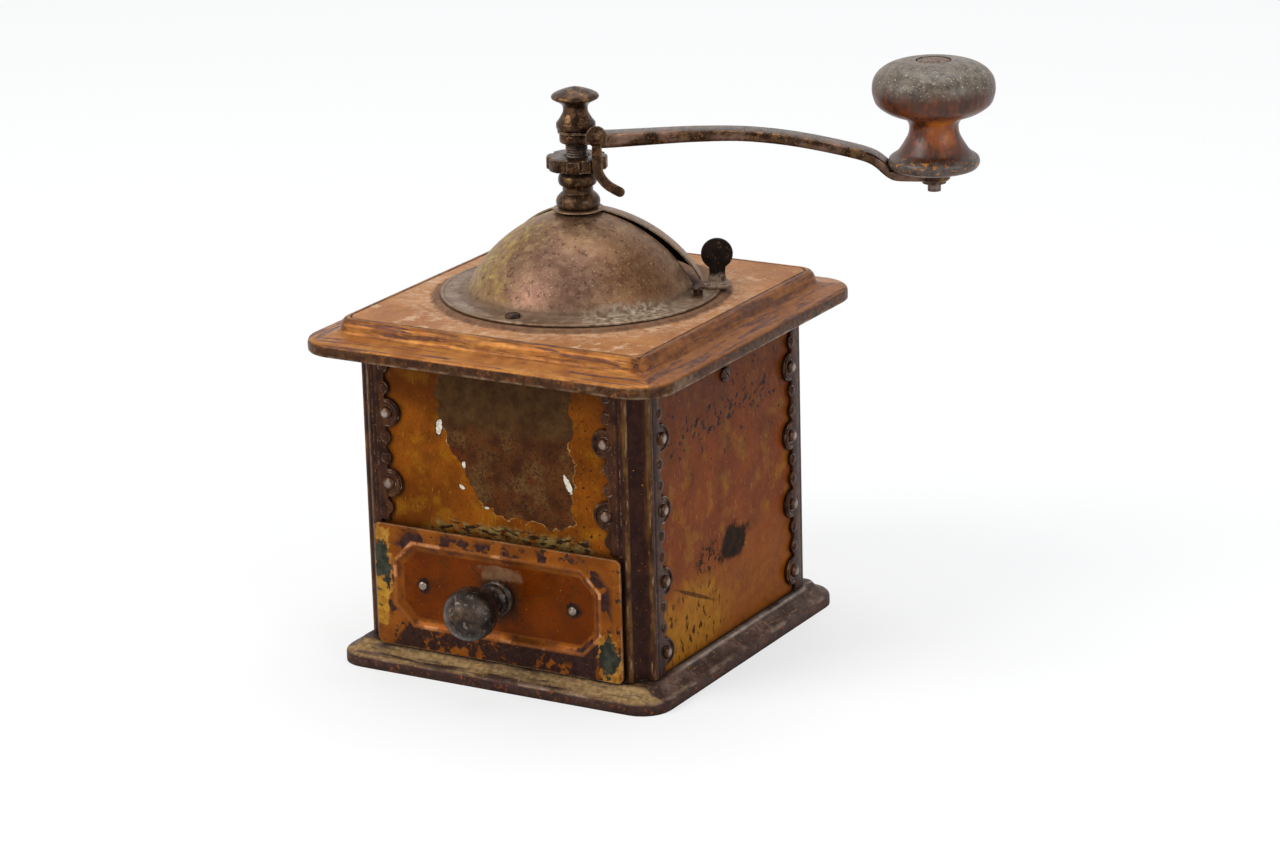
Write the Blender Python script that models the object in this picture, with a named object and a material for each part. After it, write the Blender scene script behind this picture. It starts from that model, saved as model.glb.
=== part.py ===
"""Hand-cranked box coffee mill: pressed-steel body, domed hopper with a turning door, crank and drawer.

Units are metres and +Z is up. The origin is the centre of the underside of the base, and the drawer
faces -Y. Each function makes one piece, or one piece and its like, from the named sizes above it.
"""

import math

import bmesh
import bpy
from mathutils import Matrix, Vector

# Clearances that every piece keeps
GAP = 0.0003
CUT_OVERRUN = 0.002
MERGE_DISTANCE = 0.0000001
UNIT = 1.0

# The box: outside of the corner strips, and the wall seen between base and lid
BODY_WIDTH = 0.110
BODY_DEPTH = 0.116
BODY_HEIGHT = 0.1018
CORNER_CHAMFER = 0.0074

# Where the crank stands in plan, seen from above
CRANK_AZIMUTH = math.radians(22)

HALF_X = BODY_WIDTH / 2
HALF_Y = BODY_DEPTH / 2

IRON = ((0.055, 0.038, 0.030), 0.75, 0.5)
SHEET_BROWN = ((0.075, 0.045, 0.035), 0.45, 0.55)
OCHRE_PAINT = ((0.42, 0.20, 0.03), 0.1, 0.5)
LID_PAINT = ((0.45, 0.20, 0.06), 0.1, 0.55)
DOME_BRONZE = ((0.20, 0.14, 0.10), 0.6, 0.5)
BARE_STEEL = ((0.35, 0.33, 0.31), 0.9, 0.4)
DARK_WOOD = ((0.16, 0.06, 0.02), 0.0, 0.4)


def clear_scene():
    """Removes what the scene holds, so that only the mill is in it."""
    for thing in list(bpy.data.objects):
        bpy.data.objects.remove(thing, do_unlink=True)


def finish_material(name, finish):
    """A Principled material of the piece's own, from its colour, metallic value and roughness."""
    colour, metallic, roughness = finish
    material = bpy.data.materials.new(name)
    material.use_nodes = True
    shader = material.node_tree.nodes["Principled BSDF"]
    shader.inputs["Base Color"].default_value = (*colour, UNIT)
    shader.inputs["Metallic"].default_value = metallic
    shader.inputs["Roughness"].default_value = roughness
    return material


def add_mesh(name, shape, origin):
    """Turns a finished bmesh into an object whose origin is the given point."""
    bmesh.ops.translate(shape, verts=shape.verts, vec=-Vector(origin))
    bmesh.ops.recalc_face_normals(shape, faces=shape.faces)
    mesh = bpy.data.meshes.new(name)
    shape.to_mesh(mesh)
    shape.free()
    piece = bpy.data.objects.new(name, mesh)
    piece.location = origin
    bpy.context.scene.collection.objects.link(piece)
    return piece


def add_piece(name, shape, finish, origin=(0, 0, 0)):
    """One named piece of the mill, with its material and smooth round faces."""
    piece = add_mesh(name, shape, origin)
    piece.data.materials.append(finish_material(name, finish))
    piece.data.shade_smooth()
    piece.data.set_sharp_from_angle(angle=math.radians(35))
    return piece


def apply_tool(piece, shape, operation):
    """Cuts the shape out of the piece, or joins it to the piece, with a hidden tool object."""
    tool = add_mesh(f"{piece.name}_tool", shape, (0, 0, 0))
    tool.hide_render = True
    tool.display_type = "WIRE"
    modifier = piece.modifiers.new(operation.title(), "BOOLEAN")
    modifier.operation = operation
    modifier.solver = "EXACT"
    modifier.object = tool
    tool.parent = piece
    tool.matrix_parent_inverse = Matrix.Translation(-piece.location)


def cut(piece, shape):
    apply_tool(piece, shape, "DIFFERENCE")


def fuse(piece, shape):
    apply_tool(piece, shape, "UNION")


def merged(*shapes):
    """One bmesh that holds several separate shapes."""
    whole = bmesh.new()
    for shape in shapes:
        mesh = bpy.data.meshes.new("merged")
        shape.to_mesh(mesh)
        shape.free()
        whole.from_mesh(mesh)
        bpy.data.meshes.remove(mesh)
    return whole


def turned(profile, segments=32):
    """A round solid from an open profile of (radius, height) points that starts and ends on the axis."""
    shape = bmesh.new()
    points = [shape.verts.new((radius, 0, height)) for radius, height in profile]
    edges = [shape.edges.new(pair) for pair in zip(points, points[1:])]
    spin_profile(shape, points, edges, segments)
    return shape


def turned_ring(profile, segments=32):
    """A round solid with a hole on its axis, from a closed profile of (radius, height) points."""
    shape = bmesh.new()
    points = [shape.verts.new((radius, 0, height)) for radius, height in profile]
    edges = [shape.edges.new(pair) for pair in zip(points, points[1:] + points[:1])]
    spin_profile(shape, points, edges, segments)
    return shape


def spin_profile(shape, points, edges, segments):
    bmesh.ops.spin(shape, geom=points + edges, cent=(0, 0, 0), axis=(0, 0, 1), angle=math.tau,
                   steps=segments, use_merge=True)
    bmesh.ops.remove_doubles(shape, verts=shape.verts, dist=MERGE_DISTANCE)
    bmesh.ops.recalc_face_normals(shape, faces=shape.faces)


def turned_sector(profile, start, sweep, steps):
    """Part of a turned ring, from one azimuth through a sweep, closed at both ends."""
    shape = bmesh.new()
    points = [shape.verts.new((radius, 0, height)) for radius, height in profile]
    edges = [shape.edges.new(pair) for pair in zip(points, points[1:] + points[:1])]
    bmesh.ops.spin(shape, geom=points + edges, cent=(0, 0, 0), axis=(0, 0, 1), angle=sweep, steps=steps)
    open_edges = [edge for edge in shape.edges if edge.is_boundary]
    bmesh.ops.edgeloop_fill(shape, edges=open_edges)
    bmesh.ops.rotate(shape, verts=shape.verts, cent=(0, 0, 0), matrix=Matrix.Rotation(start, 3, "Z"))
    bmesh.ops.recalc_face_normals(shape, faces=shape.faces)
    return shape


def rod(radius, low, high, centre=(0, 0), segments=16):
    """An upright cylinder between two heights."""
    shape = bmesh.new()
    bmesh.ops.create_cone(shape, cap_ends=True, segments=segments, radius1=radius, radius2=radius,
                          depth=high - low)
    bmesh.ops.translate(shape, verts=shape.verts, vec=(centre[0], centre[1], (high + low) / 2))
    return shape


def block(low, high):
    """A box between its lowest and highest corners."""
    low = Vector(low)
    high = Vector(high)
    shape = bmesh.new()
    bmesh.ops.create_cube(shape, size=UNIT)
    bmesh.ops.scale(shape, verts=shape.verts, vec=high - low)
    bmesh.ops.translate(shape, verts=shape.verts, vec=(high + low) / 2)
    return shape


def loft(rings, close=False):
    """A solid through rings of as many points each: capped at both ends, or closed on itself."""
    shape = bmesh.new()
    rows = [[shape.verts.new(point) for point in ring] for ring in rings]
    pairs = list(zip(rows, rows[1:]))
    if close:
        pairs.append((rows[-1], rows[0]))
    for lower, upper in pairs:
        for index in range(len(lower)):
            after = (index + 1) % len(lower)
            shape.faces.new((lower[index], lower[after], upper[after], upper[index]))
    if not close:
        shape.faces.new(rows[0])
        shape.faces.new(rows[-1])
    bmesh.ops.recalc_face_normals(shape, faces=shape.faces)
    return shape


def plate(outline, low, high):
    """An outline of (x, y) points, extruded between two heights."""
    return loft([[(x, y, height) for x, y in outline] for height in (low, high)])


def stood_up(shape, azimuth=0.0, origin=(0, 0, 0)):
    """Stands a flat-lying shape on edge: its Y turns to +Z, its +Z to the direction azimuth - 90 deg."""
    turn = Matrix.Rotation(azimuth, 4, "Z") @ Matrix.Rotation(math.radians(90), 4, "X")
    bmesh.ops.transform(shape, matrix=Matrix.Translation(origin) @ turn, verts=shape.verts)
    return shape


def turned_about_z(shape, azimuth):
    bmesh.ops.rotate(shape, verts=shape.verts, cent=(0, 0, 0), matrix=Matrix.Rotation(azimuth, 3, "Z"))
    return shape


def polar(radius, azimuth):
    return radius * math.cos(azimuth), radius * math.sin(azimuth)


def rounded_outline(half_x, half_y, radius, corner_steps=4, side_steps=4):
    """A rounded rectangle with points along its sides too, so that it can be lofted to a circle."""
    points = []
    quarters = ((UNIT, UNIT), (-UNIT, UNIT), (-UNIT, -UNIT), (UNIT, -UNIT))
    for quarter, (sign_x, sign_y) in enumerate(quarters):
        for step in range(corner_steps + 1):
            angle = (quarter + step / corner_steps) * math.radians(90)
            points.append((sign_x * (half_x - radius) + radius * math.cos(angle),
                           sign_y * (half_y - radius) + radius * math.sin(angle)))
        ahead_x, ahead_y = quarters[(quarter + 1) % len(quarters)]
        angle = (quarter + 1) * math.radians(90)
        next_point = (ahead_x * (half_x - radius) + radius * math.cos(angle),
                      ahead_y * (half_y - radius) + radius * math.sin(angle))
        last = points[-1]
        for step in range(1, side_steps):
            share = step / side_steps
            points.append((last[0] + (next_point[0] - last[0]) * share,
                           last[1] + (next_point[1] - last[1]) * share))
    return points


def at_height(outline, height):
    return [(x, y, height) for x, y in outline]


def circle_like(outline, radius, height):
    """A circle with one point in the direction of each point of an outline."""
    return [(*polar(radius, math.atan2(y, x)), height) for x, y in outline]


# Base plinth: one pressed sheet with a sloping ledge round the body
BASE_HEIGHT = 0.0078
BASE_OVERHANG = 0.0071
BASE_SIDE = 0.0034
BASE_NOSE = 0.0008
BASE_LEDGE_MARGIN = 0.0010
BASE_CORNER_RADIUS = 0.0100
BASE_SHEET = 0.0010
SMALLEST_CORNER = 0.0012
LEDGE_DIP_SHARES = (0.42, 0.62)


def base_outline(margin):
    radius = max(BASE_CORNER_RADIUS - BASE_OVERHANG + margin, SMALLEST_CORNER)
    return rounded_outline(HALF_X + margin, HALF_Y + margin, radius)


def base_levels():
    """Margins over the body and heights, from the foot of the plinth to its flat top."""
    nose_margin = BASE_OVERHANG - BASE_NOSE
    nose_height = BASE_SIDE + BASE_NOSE
    dip_height, dip_margin = LEDGE_DIP_SHARES
    return [
        (BASE_OVERHANG, 0),
        (BASE_OVERHANG, BASE_SIDE),
        (nose_margin, nose_height),
        (nose_margin + (BASE_LEDGE_MARGIN - nose_margin) * dip_margin,
         nose_height + (BASE_HEIGHT - nose_height) * dip_height),
        (BASE_LEDGE_MARGIN, BASE_HEIGHT),
    ]


def make_base_plinth():
    levels = base_levels()
    inner = [(margin - BASE_SHEET, height - BASE_SHEET) for margin, height in reversed(levels[2:])]
    inner.append((BASE_OVERHANG - BASE_SHEET, BASE_SIDE - BASE_SHEET))
    inner.append((BASE_OVERHANG - BASE_SHEET, 0))
    rings = [at_height(base_outline(margin), height) for margin, height in inner + levels]
    add_piece("base_plinth", loft(rings), SHEET_BROWN)


# Bottom plate: closes the plinth from below and is what the mill stands on
BOTTOM_SHEET = 0.0008


def make_bottom_plate():
    outline = base_outline(BASE_OVERHANG - BASE_SHEET - GAP)
    add_piece("bottom_plate", plate(outline, 0, BOTTOM_SHEET), SHEET_BROWN)


# Corner strips: pressed steel over the chamfered corners, fluted, with scalloped edges and bosses
STRIP_SHEET = 0.0008
STRIP_LEG = 0.0020
STRIP_START = 0.0005
STRIP_PROUD = 0.00012
STRIP_WIDTH = 0.0052
CHAMFER_SHEET = 0.0013
BEAD_HEIGHT = 0.0008
SCALLOP_RADIUS = 0.0049
SCALLOP_INSET = 0.0060
NUB_RADIUS = 0.0026
NUB_INSET = 0.0044
NUB_SPACING = 0.0036
BOSS_RADIUS = 0.0023
BOSS_SINK = 0.0008
BOSS_FIRST_HEIGHT = 0.0075
BOSS_PITCH = 0.0244
RELIEF_SHARES = (
    (0.04, 0.5), (0.13, 1.0), (0.22, 0.5), (0.28, -0.1), (0.36, -0.45), (0.5, -0.6),
    (0.64, -0.45), (0.72, -0.1), (0.78, 0.5), (0.87, 1.0), (0.96, 0.5),
)

# Levels that the corner strips, panels, lid and drawer share
LID_SHEET = 0.0008
LID_RIM = 0.0033
LID_RIM_ROUND = 0.0009
LID_FLANGE_RISE = 0.0015
LID_STEP_RISE = 0.0047
RIM_Z = BASE_HEIGHT + BODY_HEIGHT
FLANGE_Z = RIM_Z + LID_RIM + LID_RIM_ROUND
STEP_FOOT_Z = FLANGE_Z + LID_FLANGE_RISE
LID_TOP_Z = STEP_FOOT_Z + LID_STEP_RISE
WALL_FOOT_Z = BASE_HEIGHT + GAP
WALL_TOP_Z = LID_TOP_Z - LID_SHEET - GAP

DRAWER_FRONT_HEIGHT = 0.0426
DRAWER_LIFT = 0.0006
DRAWER_FRONT_TOP_Z = WALL_FOOT_Z + DRAWER_FRONT_HEIGHT


def corner_plan():
    """Plan of a corner strip without its scalloped flats: two short legs and the fluted chamfer."""
    inner_sum = HALF_X + HALF_Y - CORNER_CHAMFER - CHAMFER_SHEET * math.sqrt(2)
    points = [(HALF_X, HALF_Y - CORNER_CHAMFER - STRIP_LEG), (HALF_X, HALF_Y - CORNER_CHAMFER)]
    for along, out in RELIEF_SHARES:
        step = out * BEAD_HEIGHT / math.sqrt(2)
        points.append((HALF_X - along * CORNER_CHAMFER + step,
                       HALF_Y - (1 - along) * CORNER_CHAMFER + step))
    points += [
        (HALF_X - CORNER_CHAMFER, HALF_Y),
        (HALF_X - CORNER_CHAMFER - STRIP_LEG, HALF_Y),
        (HALF_X - CORNER_CHAMFER - STRIP_LEG, HALF_Y - STRIP_SHEET),
        (inner_sum - HALF_Y + STRIP_SHEET, HALF_Y - STRIP_SHEET),
        (HALF_X - STRIP_SHEET, inner_sum - HALF_X + STRIP_SHEET),
        (HALF_X - STRIP_SHEET, HALF_Y - CORNER_CHAMFER - STRIP_LEG),
    ]
    return points


def boss_heights(low, high):
    """Heights of the bosses that fit between two levels."""
    first = WALL_FOOT_Z + BOSS_FIRST_HEIGHT
    count = 1 + int((RIM_Z - first) / BOSS_PITCH)
    heights = [first + index * BOSS_PITCH for index in range(count)]
    return [height for height in heights if low < height - SCALLOP_RADIUS and height + SCALLOP_RADIUS < high]


def lobe(centre_height, inset, radius, steps):
    """Points of one round lobe of a scalloped edge, as (distance from the chamfer, height)."""
    reach = math.acos((STRIP_WIDTH - inset) / radius)
    angles = [reach * (2 * step / steps - 1) for step in range(steps + 1)]
    return [(inset + radius * math.cos(angle), centre_height + radius * math.sin(angle)) for angle in angles]


def scalloped_outline(low, high):
    """Outline of a flat strip: straight along the chamfer, scalloped along the panel."""
    points = [(STRIP_START, low), (STRIP_WIDTH, low)]
    for height in boss_heights(low, high):
        points += lobe(height, SCALLOP_INSET, SCALLOP_RADIUS, 6)
        for offset in (-NUB_SPACING, NUB_SPACING):
            nub = height + BOSS_PITCH / 2 + offset
            if nub + NUB_RADIUS < high:
                points += lobe(nub, NUB_INSET, NUB_RADIUS, 3)
    points += [(STRIP_WIDTH, high), (STRIP_START, high)]
    return points


def boss(across, height, steps=3):
    """A low round dome on a strip, in the strip's own plane, rooted in the strip's thickness."""
    start = math.asin(BOSS_SINK / BOSS_RADIUS)
    root = BOSS_RADIUS * math.cos(start)
    profile = [(0, -STRIP_SHEET / 2), (root, -STRIP_SHEET / 2)]
    for step in range(steps + 1):
        angle = start + (math.radians(90) - start) * step / steps
        reach = BOSS_RADIUS * math.cos(angle) if step < steps else 0
        profile.append((reach, STRIP_PROUD - BOSS_SINK + BOSS_RADIUS * math.sin(angle)))
    shape = turned(profile, 8)
    bmesh.ops.translate(shape, verts=shape.verts, vec=(across, height, 0))
    return shape


def to_wall(shape, on_side):
    """Carries a strip drawn flat onto the side wall, or onto the wall that faces Y."""
    if on_side:
        columns = ((0, 0, 1, HALF_X), (-1, 0, 0, HALF_Y - CORNER_CHAMFER), (0, 1, 0, 0), (0, 0, 0, 1))
    else:
        columns = ((-1, 0, 0, HALF_X - CORNER_CHAMFER), (0, 0, 1, HALF_Y), (0, 1, 0, 0), (0, 0, 0, 1))
    bmesh.ops.transform(shape, matrix=Matrix(columns), verts=shape.verts)
    return shape


def to_corner(shape, sign_x, sign_y):
    bmesh.ops.scale(shape, verts=shape.verts, vec=(sign_x, sign_y, UNIT))
    bmesh.ops.recalc_face_normals(shape, faces=shape.faces)
    return shape


def make_corner_strip(name, sign_x, sign_y, front_low):
    """One corner strip; front_low is where its Y-facing flat starts, above the drawer at the front."""
    column = to_corner(plate(corner_plan(), WALL_FOOT_Z, WALL_TOP_Z), sign_x, sign_y)
    strip = add_piece(name, column, SHEET_BROWN)
    for on_side, low in ((True, WALL_FOOT_Z), (False, front_low)):
        flat = plate(scalloped_outline(low, WALL_TOP_Z), -STRIP_SHEET, STRIP_PROUD)
        fuse(strip, to_corner(to_wall(flat, on_side), sign_x, sign_y))
        bosses = merged(*[boss(SCALLOP_INSET, height) for height in boss_heights(low, WALL_TOP_Z)])
        fuse(strip, to_corner(to_wall(bosses, on_side), sign_x, sign_y))


def make_corner_strips():
    above_drawer = DRAWER_FRONT_TOP_Z + DRAWER_LIFT
    make_corner_strip("corner_strip_front_right", UNIT, -UNIT, above_drawer)
    make_corner_strip("corner_strip_front_left", -UNIT, -UNIT, above_drawer)
    make_corner_strip("corner_strip_back_right", UNIT, UNIT, WALL_FOOT_Z)
    make_corner_strip("corner_strip_back_left", -UNIT, UNIT, WALL_FOOT_Z)


# Body panels: four sheets behind the corner strips, and the screws through the side ones
PANEL_SHEET = 0.0010
SIDE_SCREW_DROP = 0.0113
SIDE_SCREW_RADIUS = 0.0012
SIDE_SCREW_HEAD_RADIUS = 0.0026
SIDE_SCREW_HEAD = 0.0012
ANCHOR_SHEET = 0.0012
ANCHOR_WIDTH = 0.0140
ANCHOR_BELOW_SCREW = 0.0050
ANCHOR_REACH = 0.0064

SIDE_FACE_X = HALF_X - STRIP_SHEET - GAP
FRONT_FACE_Y = HALF_Y - STRIP_SHEET - GAP
INSIDE_SUM = HALF_X + HALF_Y - CORNER_CHAMFER - (CHAMFER_SHEET + GAP) * math.sqrt(2)
SIDE_INNER_X = SIDE_FACE_X - PANEL_SHEET
FRONT_INNER_Y = FRONT_FACE_Y - PANEL_SHEET
SIDE_SCREW_Z = RIM_Z - SIDE_SCREW_DROP
ANCHOR_FACE_X = SIDE_INNER_X - GAP

TRAY_HEIGHT = 0.0404
TRAY_TOP_Z = WALL_FOOT_Z + TRAY_HEIGHT
TRAY_CLEARANCE = 0.0008


def lying_rod(radius, near, far, height, segments=12):
    """A cylinder along X between two distances, at one height."""
    shape = rod(radius, near, far, segments=segments)
    turn = Matrix.Rotation(math.radians(90), 4, "Y")
    bmesh.ops.transform(shape, matrix=Matrix.Translation((0, 0, height)) @ turn, verts=shape.verts)
    return shape


def make_side_panel(name, sign):
    end = INSIDE_SUM - SIDE_FACE_X
    low = (SIDE_INNER_X, -end, WALL_FOOT_Z)
    sheet = to_corner(block(low, (SIDE_FACE_X, end, WALL_TOP_Z)), sign, UNIT)
    panel = add_piece(name, sheet, OCHRE_PAINT)
    hole = lying_rod(SIDE_SCREW_RADIUS + GAP, SIDE_INNER_X - CUT_OVERRUN, SIDE_FACE_X + CUT_OVERRUN,
                     SIDE_SCREW_Z)
    cut(panel, to_corner(hole, sign, UNIT))


def make_panels():
    make_side_panel("body_right", UNIT)
    make_side_panel("body_left", -UNIT)
    end = INSIDE_SUM - FRONT_FACE_Y
    add_piece("body_back", block((-end, FRONT_INNER_Y, WALL_FOOT_Z), (end, FRONT_FACE_Y, WALL_TOP_Z)),
              OCHRE_PAINT)
    low = (-end, -FRONT_FACE_Y, TRAY_TOP_Z + TRAY_CLEARANCE)
    add_piece("body_front", block(low, (end, -FRONT_INNER_Y, WALL_TOP_Z)), OCHRE_PAINT)


def make_side_screw(name, sign):
    head_low = SIDE_FACE_X + GAP
    head_high = head_low + SIDE_SCREW_HEAD
    tip = ANCHOR_FACE_X - ANCHOR_SHEET - CUT_OVERRUN
    profile = [
        (0, tip), (SIDE_SCREW_RADIUS, tip), (SIDE_SCREW_RADIUS, head_low), (SIDE_SCREW_HEAD_RADIUS, head_low),
        (SIDE_SCREW_HEAD_RADIUS, head_low + SIDE_SCREW_HEAD / 3),
        (SIDE_SCREW_HEAD_RADIUS * 2 / 3, head_low + SIDE_SCREW_HEAD * 4 / 5), (0, head_high),
    ]
    screw = turned(profile, 12)
    turn = Matrix.Rotation(math.radians(90), 4, "Y")
    bmesh.ops.transform(screw, matrix=Matrix.Translation((0, 0, SIDE_SCREW_Z)) @ turn, verts=screw.verts)
    add_piece(name, to_corner(screw, sign, UNIT), IRON)


def make_lid_anchor(name, sign):
    """Angle bracket inside the wall: its leg takes the side screw, its top lies under the lid."""
    leg = block((ANCHOR_FACE_X - ANCHOR_SHEET, -ANCHOR_WIDTH / 2, SIDE_SCREW_Z - ANCHOR_BELOW_SCREW),
                (ANCHOR_FACE_X, ANCHOR_WIDTH / 2, WALL_TOP_Z))
    anchor = add_piece(name, to_corner(leg, sign, UNIT), IRON)
    top = block((ANCHOR_FACE_X - ANCHOR_REACH, -ANCHOR_WIDTH / 2 + GAP, WALL_TOP_Z - ANCHOR_SHEET - GAP),
                (ANCHOR_FACE_X - GAP, ANCHOR_WIDTH / 2 - GAP, WALL_TOP_Z - GAP))
    fuse(anchor, to_corner(top, sign, UNIT))
    hole = lying_rod(SIDE_SCREW_RADIUS + GAP, ANCHOR_FACE_X - ANCHOR_SHEET - CUT_OVERRUN,
                     ANCHOR_FACE_X + CUT_OVERRUN, SIDE_SCREW_Z)
    cut(anchor, to_corner(hole, sign, UNIT))


def make_side_fixings():
    for name, sign in (("right", UNIT), ("left", -UNIT)):
        make_side_screw(f"side_screw_{name}", sign)
        make_lid_anchor(f"lid_anchor_{name}", sign)


# Lid: one pressed sheet from the rolled rim to the raised seat round the hopper's mouth
LID_OVERHANG = 0.0136
LID_CORNER_RADIUS = 0.0132
LID_FOOT_MARGIN = 0.0046
LID_TOP_MARGIN = 0.0026
LID_STEP_ROUND = 0.0007
GROOVE_MARGIN = 0.0010
GROOVE_WIDTH = 0.0008
GROOVE_DEPTH = 0.0003
SEAT_RISE = 0.0010
SEAT_SLOPE = 0.0010
SEAT_MARGIN = 0.0016
MOUTH_LEDGE = 0.0025

# Dome: the fixed shell on the lid, its flange and its screws
DOME_SHEET = 0.0007
DOME_SIDE_MARGIN = 0.0080
DOME_FLANGE_WIDTH = 0.0073
DOME_FLANGE_RADIUS = HALF_X - DOME_SIDE_MARGIN
DOME_RADIUS = DOME_FLANGE_RADIUS - DOME_FLANGE_WIDTH
DOME_RISE = 0.03395
DOME_CENTRE_SINK = 0.0068
DOME_ROUNDNESS = 1.72
DOME_FILLET = 0.0012
DOME_STEPS = 8
DOOR_OPENING_CENTRE = math.radians(90)
DOOR_OPENING_HALF = math.radians(68)
SCREW_INSET = 0.0055
SCREW_CIRCLE_RADIUS = DOME_FLANGE_RADIUS - SCREW_INSET
SCREW_RADIUS = 0.0016
SCREW_HEAD_RADIUS = 0.0026
SCREW_HEAD = 0.0012
STOP_SCREW_LIFT = 0.0020
SCREW_TAIL = 0.0008
SCREW_AZIMUTHS = {
    "front": math.radians(-92),
    "right": math.radians(10),
    "left": math.radians(170),
}

SEAT_Z = LID_TOP_Z + SEAT_RISE
DOME_FLANGE_Z = SEAT_Z + GAP + DOME_SHEET
DOME_CENTRE_Z = DOME_FLANGE_Z - DOME_CENTRE_SINK


def lid_outline(margin):
    radius = max(LID_CORNER_RADIUS - (LID_OVERHANG - margin) * 2 / 3, SMALLEST_CORNER)
    return rounded_outline(HALF_X + margin, HALF_Y + margin, radius)


def lid_levels():
    """Margins over the body and heights, from the rim's lower edge to the flat panel."""
    step_run = LID_FOOT_MARGIN - LID_TOP_MARGIN
    return [
        (LID_OVERHANG, RIM_Z),
        (LID_OVERHANG, RIM_Z + LID_RIM),
        (LID_OVERHANG - LID_RIM_ROUND, FLANGE_Z),
        (LID_FOOT_MARGIN, STEP_FOOT_Z),
        (LID_FOOT_MARGIN - step_run / 3, STEP_FOOT_Z + LID_STEP_RISE / 5),
        (LID_TOP_MARGIN, LID_TOP_Z - LID_STEP_ROUND),
        (LID_TOP_MARGIN - LID_STEP_ROUND, LID_TOP_Z),
    ]


def make_lid():
    levels = lid_levels()
    rings = [at_height(lid_outline(margin), height) for margin, height in levels]
    groove = ((GROOVE_MARGIN, 0), (GROOVE_MARGIN - GROOVE_WIDTH / 2, GROOVE_DEPTH), (GROOVE_MARGIN - GROOVE_WIDTH, 0))
    rings += [at_height(lid_outline(margin), LID_TOP_Z - depth) for margin, depth in groove]
    plan = lid_outline(0)
    foot_radius = DOME_FLANGE_RADIUS + SEAT_MARGIN + SEAT_SLOPE
    circles = [
        (foot_radius, LID_TOP_Z), (foot_radius - SEAT_SLOPE, SEAT_Z), (MOUTH_RADIUS, SEAT_Z),
        (MOUTH_RADIUS, SEAT_Z - LID_SHEET), (foot_radius - SEAT_SLOPE - LID_SHEET, SEAT_Z - LID_SHEET),
        (foot_radius - LID_SHEET, LID_TOP_Z - LID_SHEET),
    ]
    rings += [circle_like(plan, radius, height) for radius, height in circles]
    under = [(margin - LID_SHEET, height - LID_SHEET) for margin, height in reversed(levels[2:])]
    under.append((LID_OVERHANG - LID_SHEET, RIM_Z))
    rings += [at_height(lid_outline(margin), height) for margin, height in under]
    lid = add_piece("lid", loft(rings, close=True), LID_PAINT)
    cut_screw_holes(lid, SEAT_Z - LID_SHEET, SEAT_Z)


def screw_places():
    return {name: polar(SCREW_CIRCLE_RADIUS, azimuth) for name, azimuth in SCREW_AZIMUTHS.items()}


def cut_screw_holes(piece, low, high):
    holes = [rod(SCREW_RADIUS + GAP, low - CUT_OVERRUN, high + CUT_OVERRUN, place, 12)
             for place in screw_places().values()]
    cut(piece, merged(*holes))


def dome_curve(radius, rise, low_z, inner_radius, steps=DOME_STEPS):
    """Points of a dome's profile, from a low height up to the rim of the hole at its top."""
    power = 2 / DOME_ROUNDNESS
    start = math.asin(((low_z - DOME_CENTRE_Z) / rise) ** (1 / power))
    end = math.acos((inner_radius / radius) ** (1 / power))
    angles = [start + (end - start) * step / steps for step in range(steps + 1)]
    return [(radius * math.cos(angle) ** power, DOME_CENTRE_Z + rise * math.sin(angle) ** power)
            for angle in angles]


def make_dome_shell():
    outer = dome_curve(DOME_RADIUS, DOME_RISE, DOME_FLANGE_Z + DOME_FILLET, NECK_HOLE_RADIUS)
    inner = dome_curve(DOME_RADIUS - DOME_SHEET, DOME_RISE - DOME_SHEET, DOME_FLANGE_Z, NECK_HOLE_RADIUS)
    profile = [(DOME_FLANGE_RADIUS, SEAT_Z + GAP), (DOME_FLANGE_RADIUS, DOME_FLANGE_Z),
               (outer[0][0] + DOME_FILLET, DOME_FLANGE_Z)]
    profile += outer + list(reversed(inner))
    profile.append((inner[0][0] + GAP, SEAT_Z + GAP))
    start = DOOR_OPENING_CENTRE + DOOR_OPENING_HALF
    dome = add_piece("dome_shell", turned_sector(profile, start, math.tau - 2 * DOOR_OPENING_HALF, 24),
                     DOME_BRONZE)
    cut_screw_holes(dome, SEAT_Z + GAP, DOME_FLANGE_Z)


# Hopper bowl: hangs under the lid from the dome's screws and leads the beans to the burrs
BOWL_SHEET = 0.0010
BOWL_FLANGE_INSET = 0.0020
BOWL_WALL_INSET = 0.0067
BOWL_WALL_SLOPE = 0.0030
BOWL_FLANGE_RADIUS = DOME_FLANGE_RADIUS - BOWL_FLANGE_INSET
BOWL_TOP_RADIUS = DOME_RADIUS - BOWL_WALL_INSET
BOWL_FLOOR_RADIUS = BOWL_TOP_RADIUS - BOWL_WALL_SLOPE
MOUTH_RADIUS = BOWL_TOP_RADIUS - MOUTH_LEDGE
BOWL_DEPTH = 0.0230
BOWL_THROAT_RADIUS = 0.0176
BOWL_TOP_Z = SEAT_Z - LID_SHEET - GAP
BOWL_FLOOR_Z = BOWL_TOP_Z - BOWL_DEPTH

# Nuts under the hopper bowl's flange
SCREW_NUT_RADIUS = 0.0034
SCREW_NUT_HEIGHT = 0.0020


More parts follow.
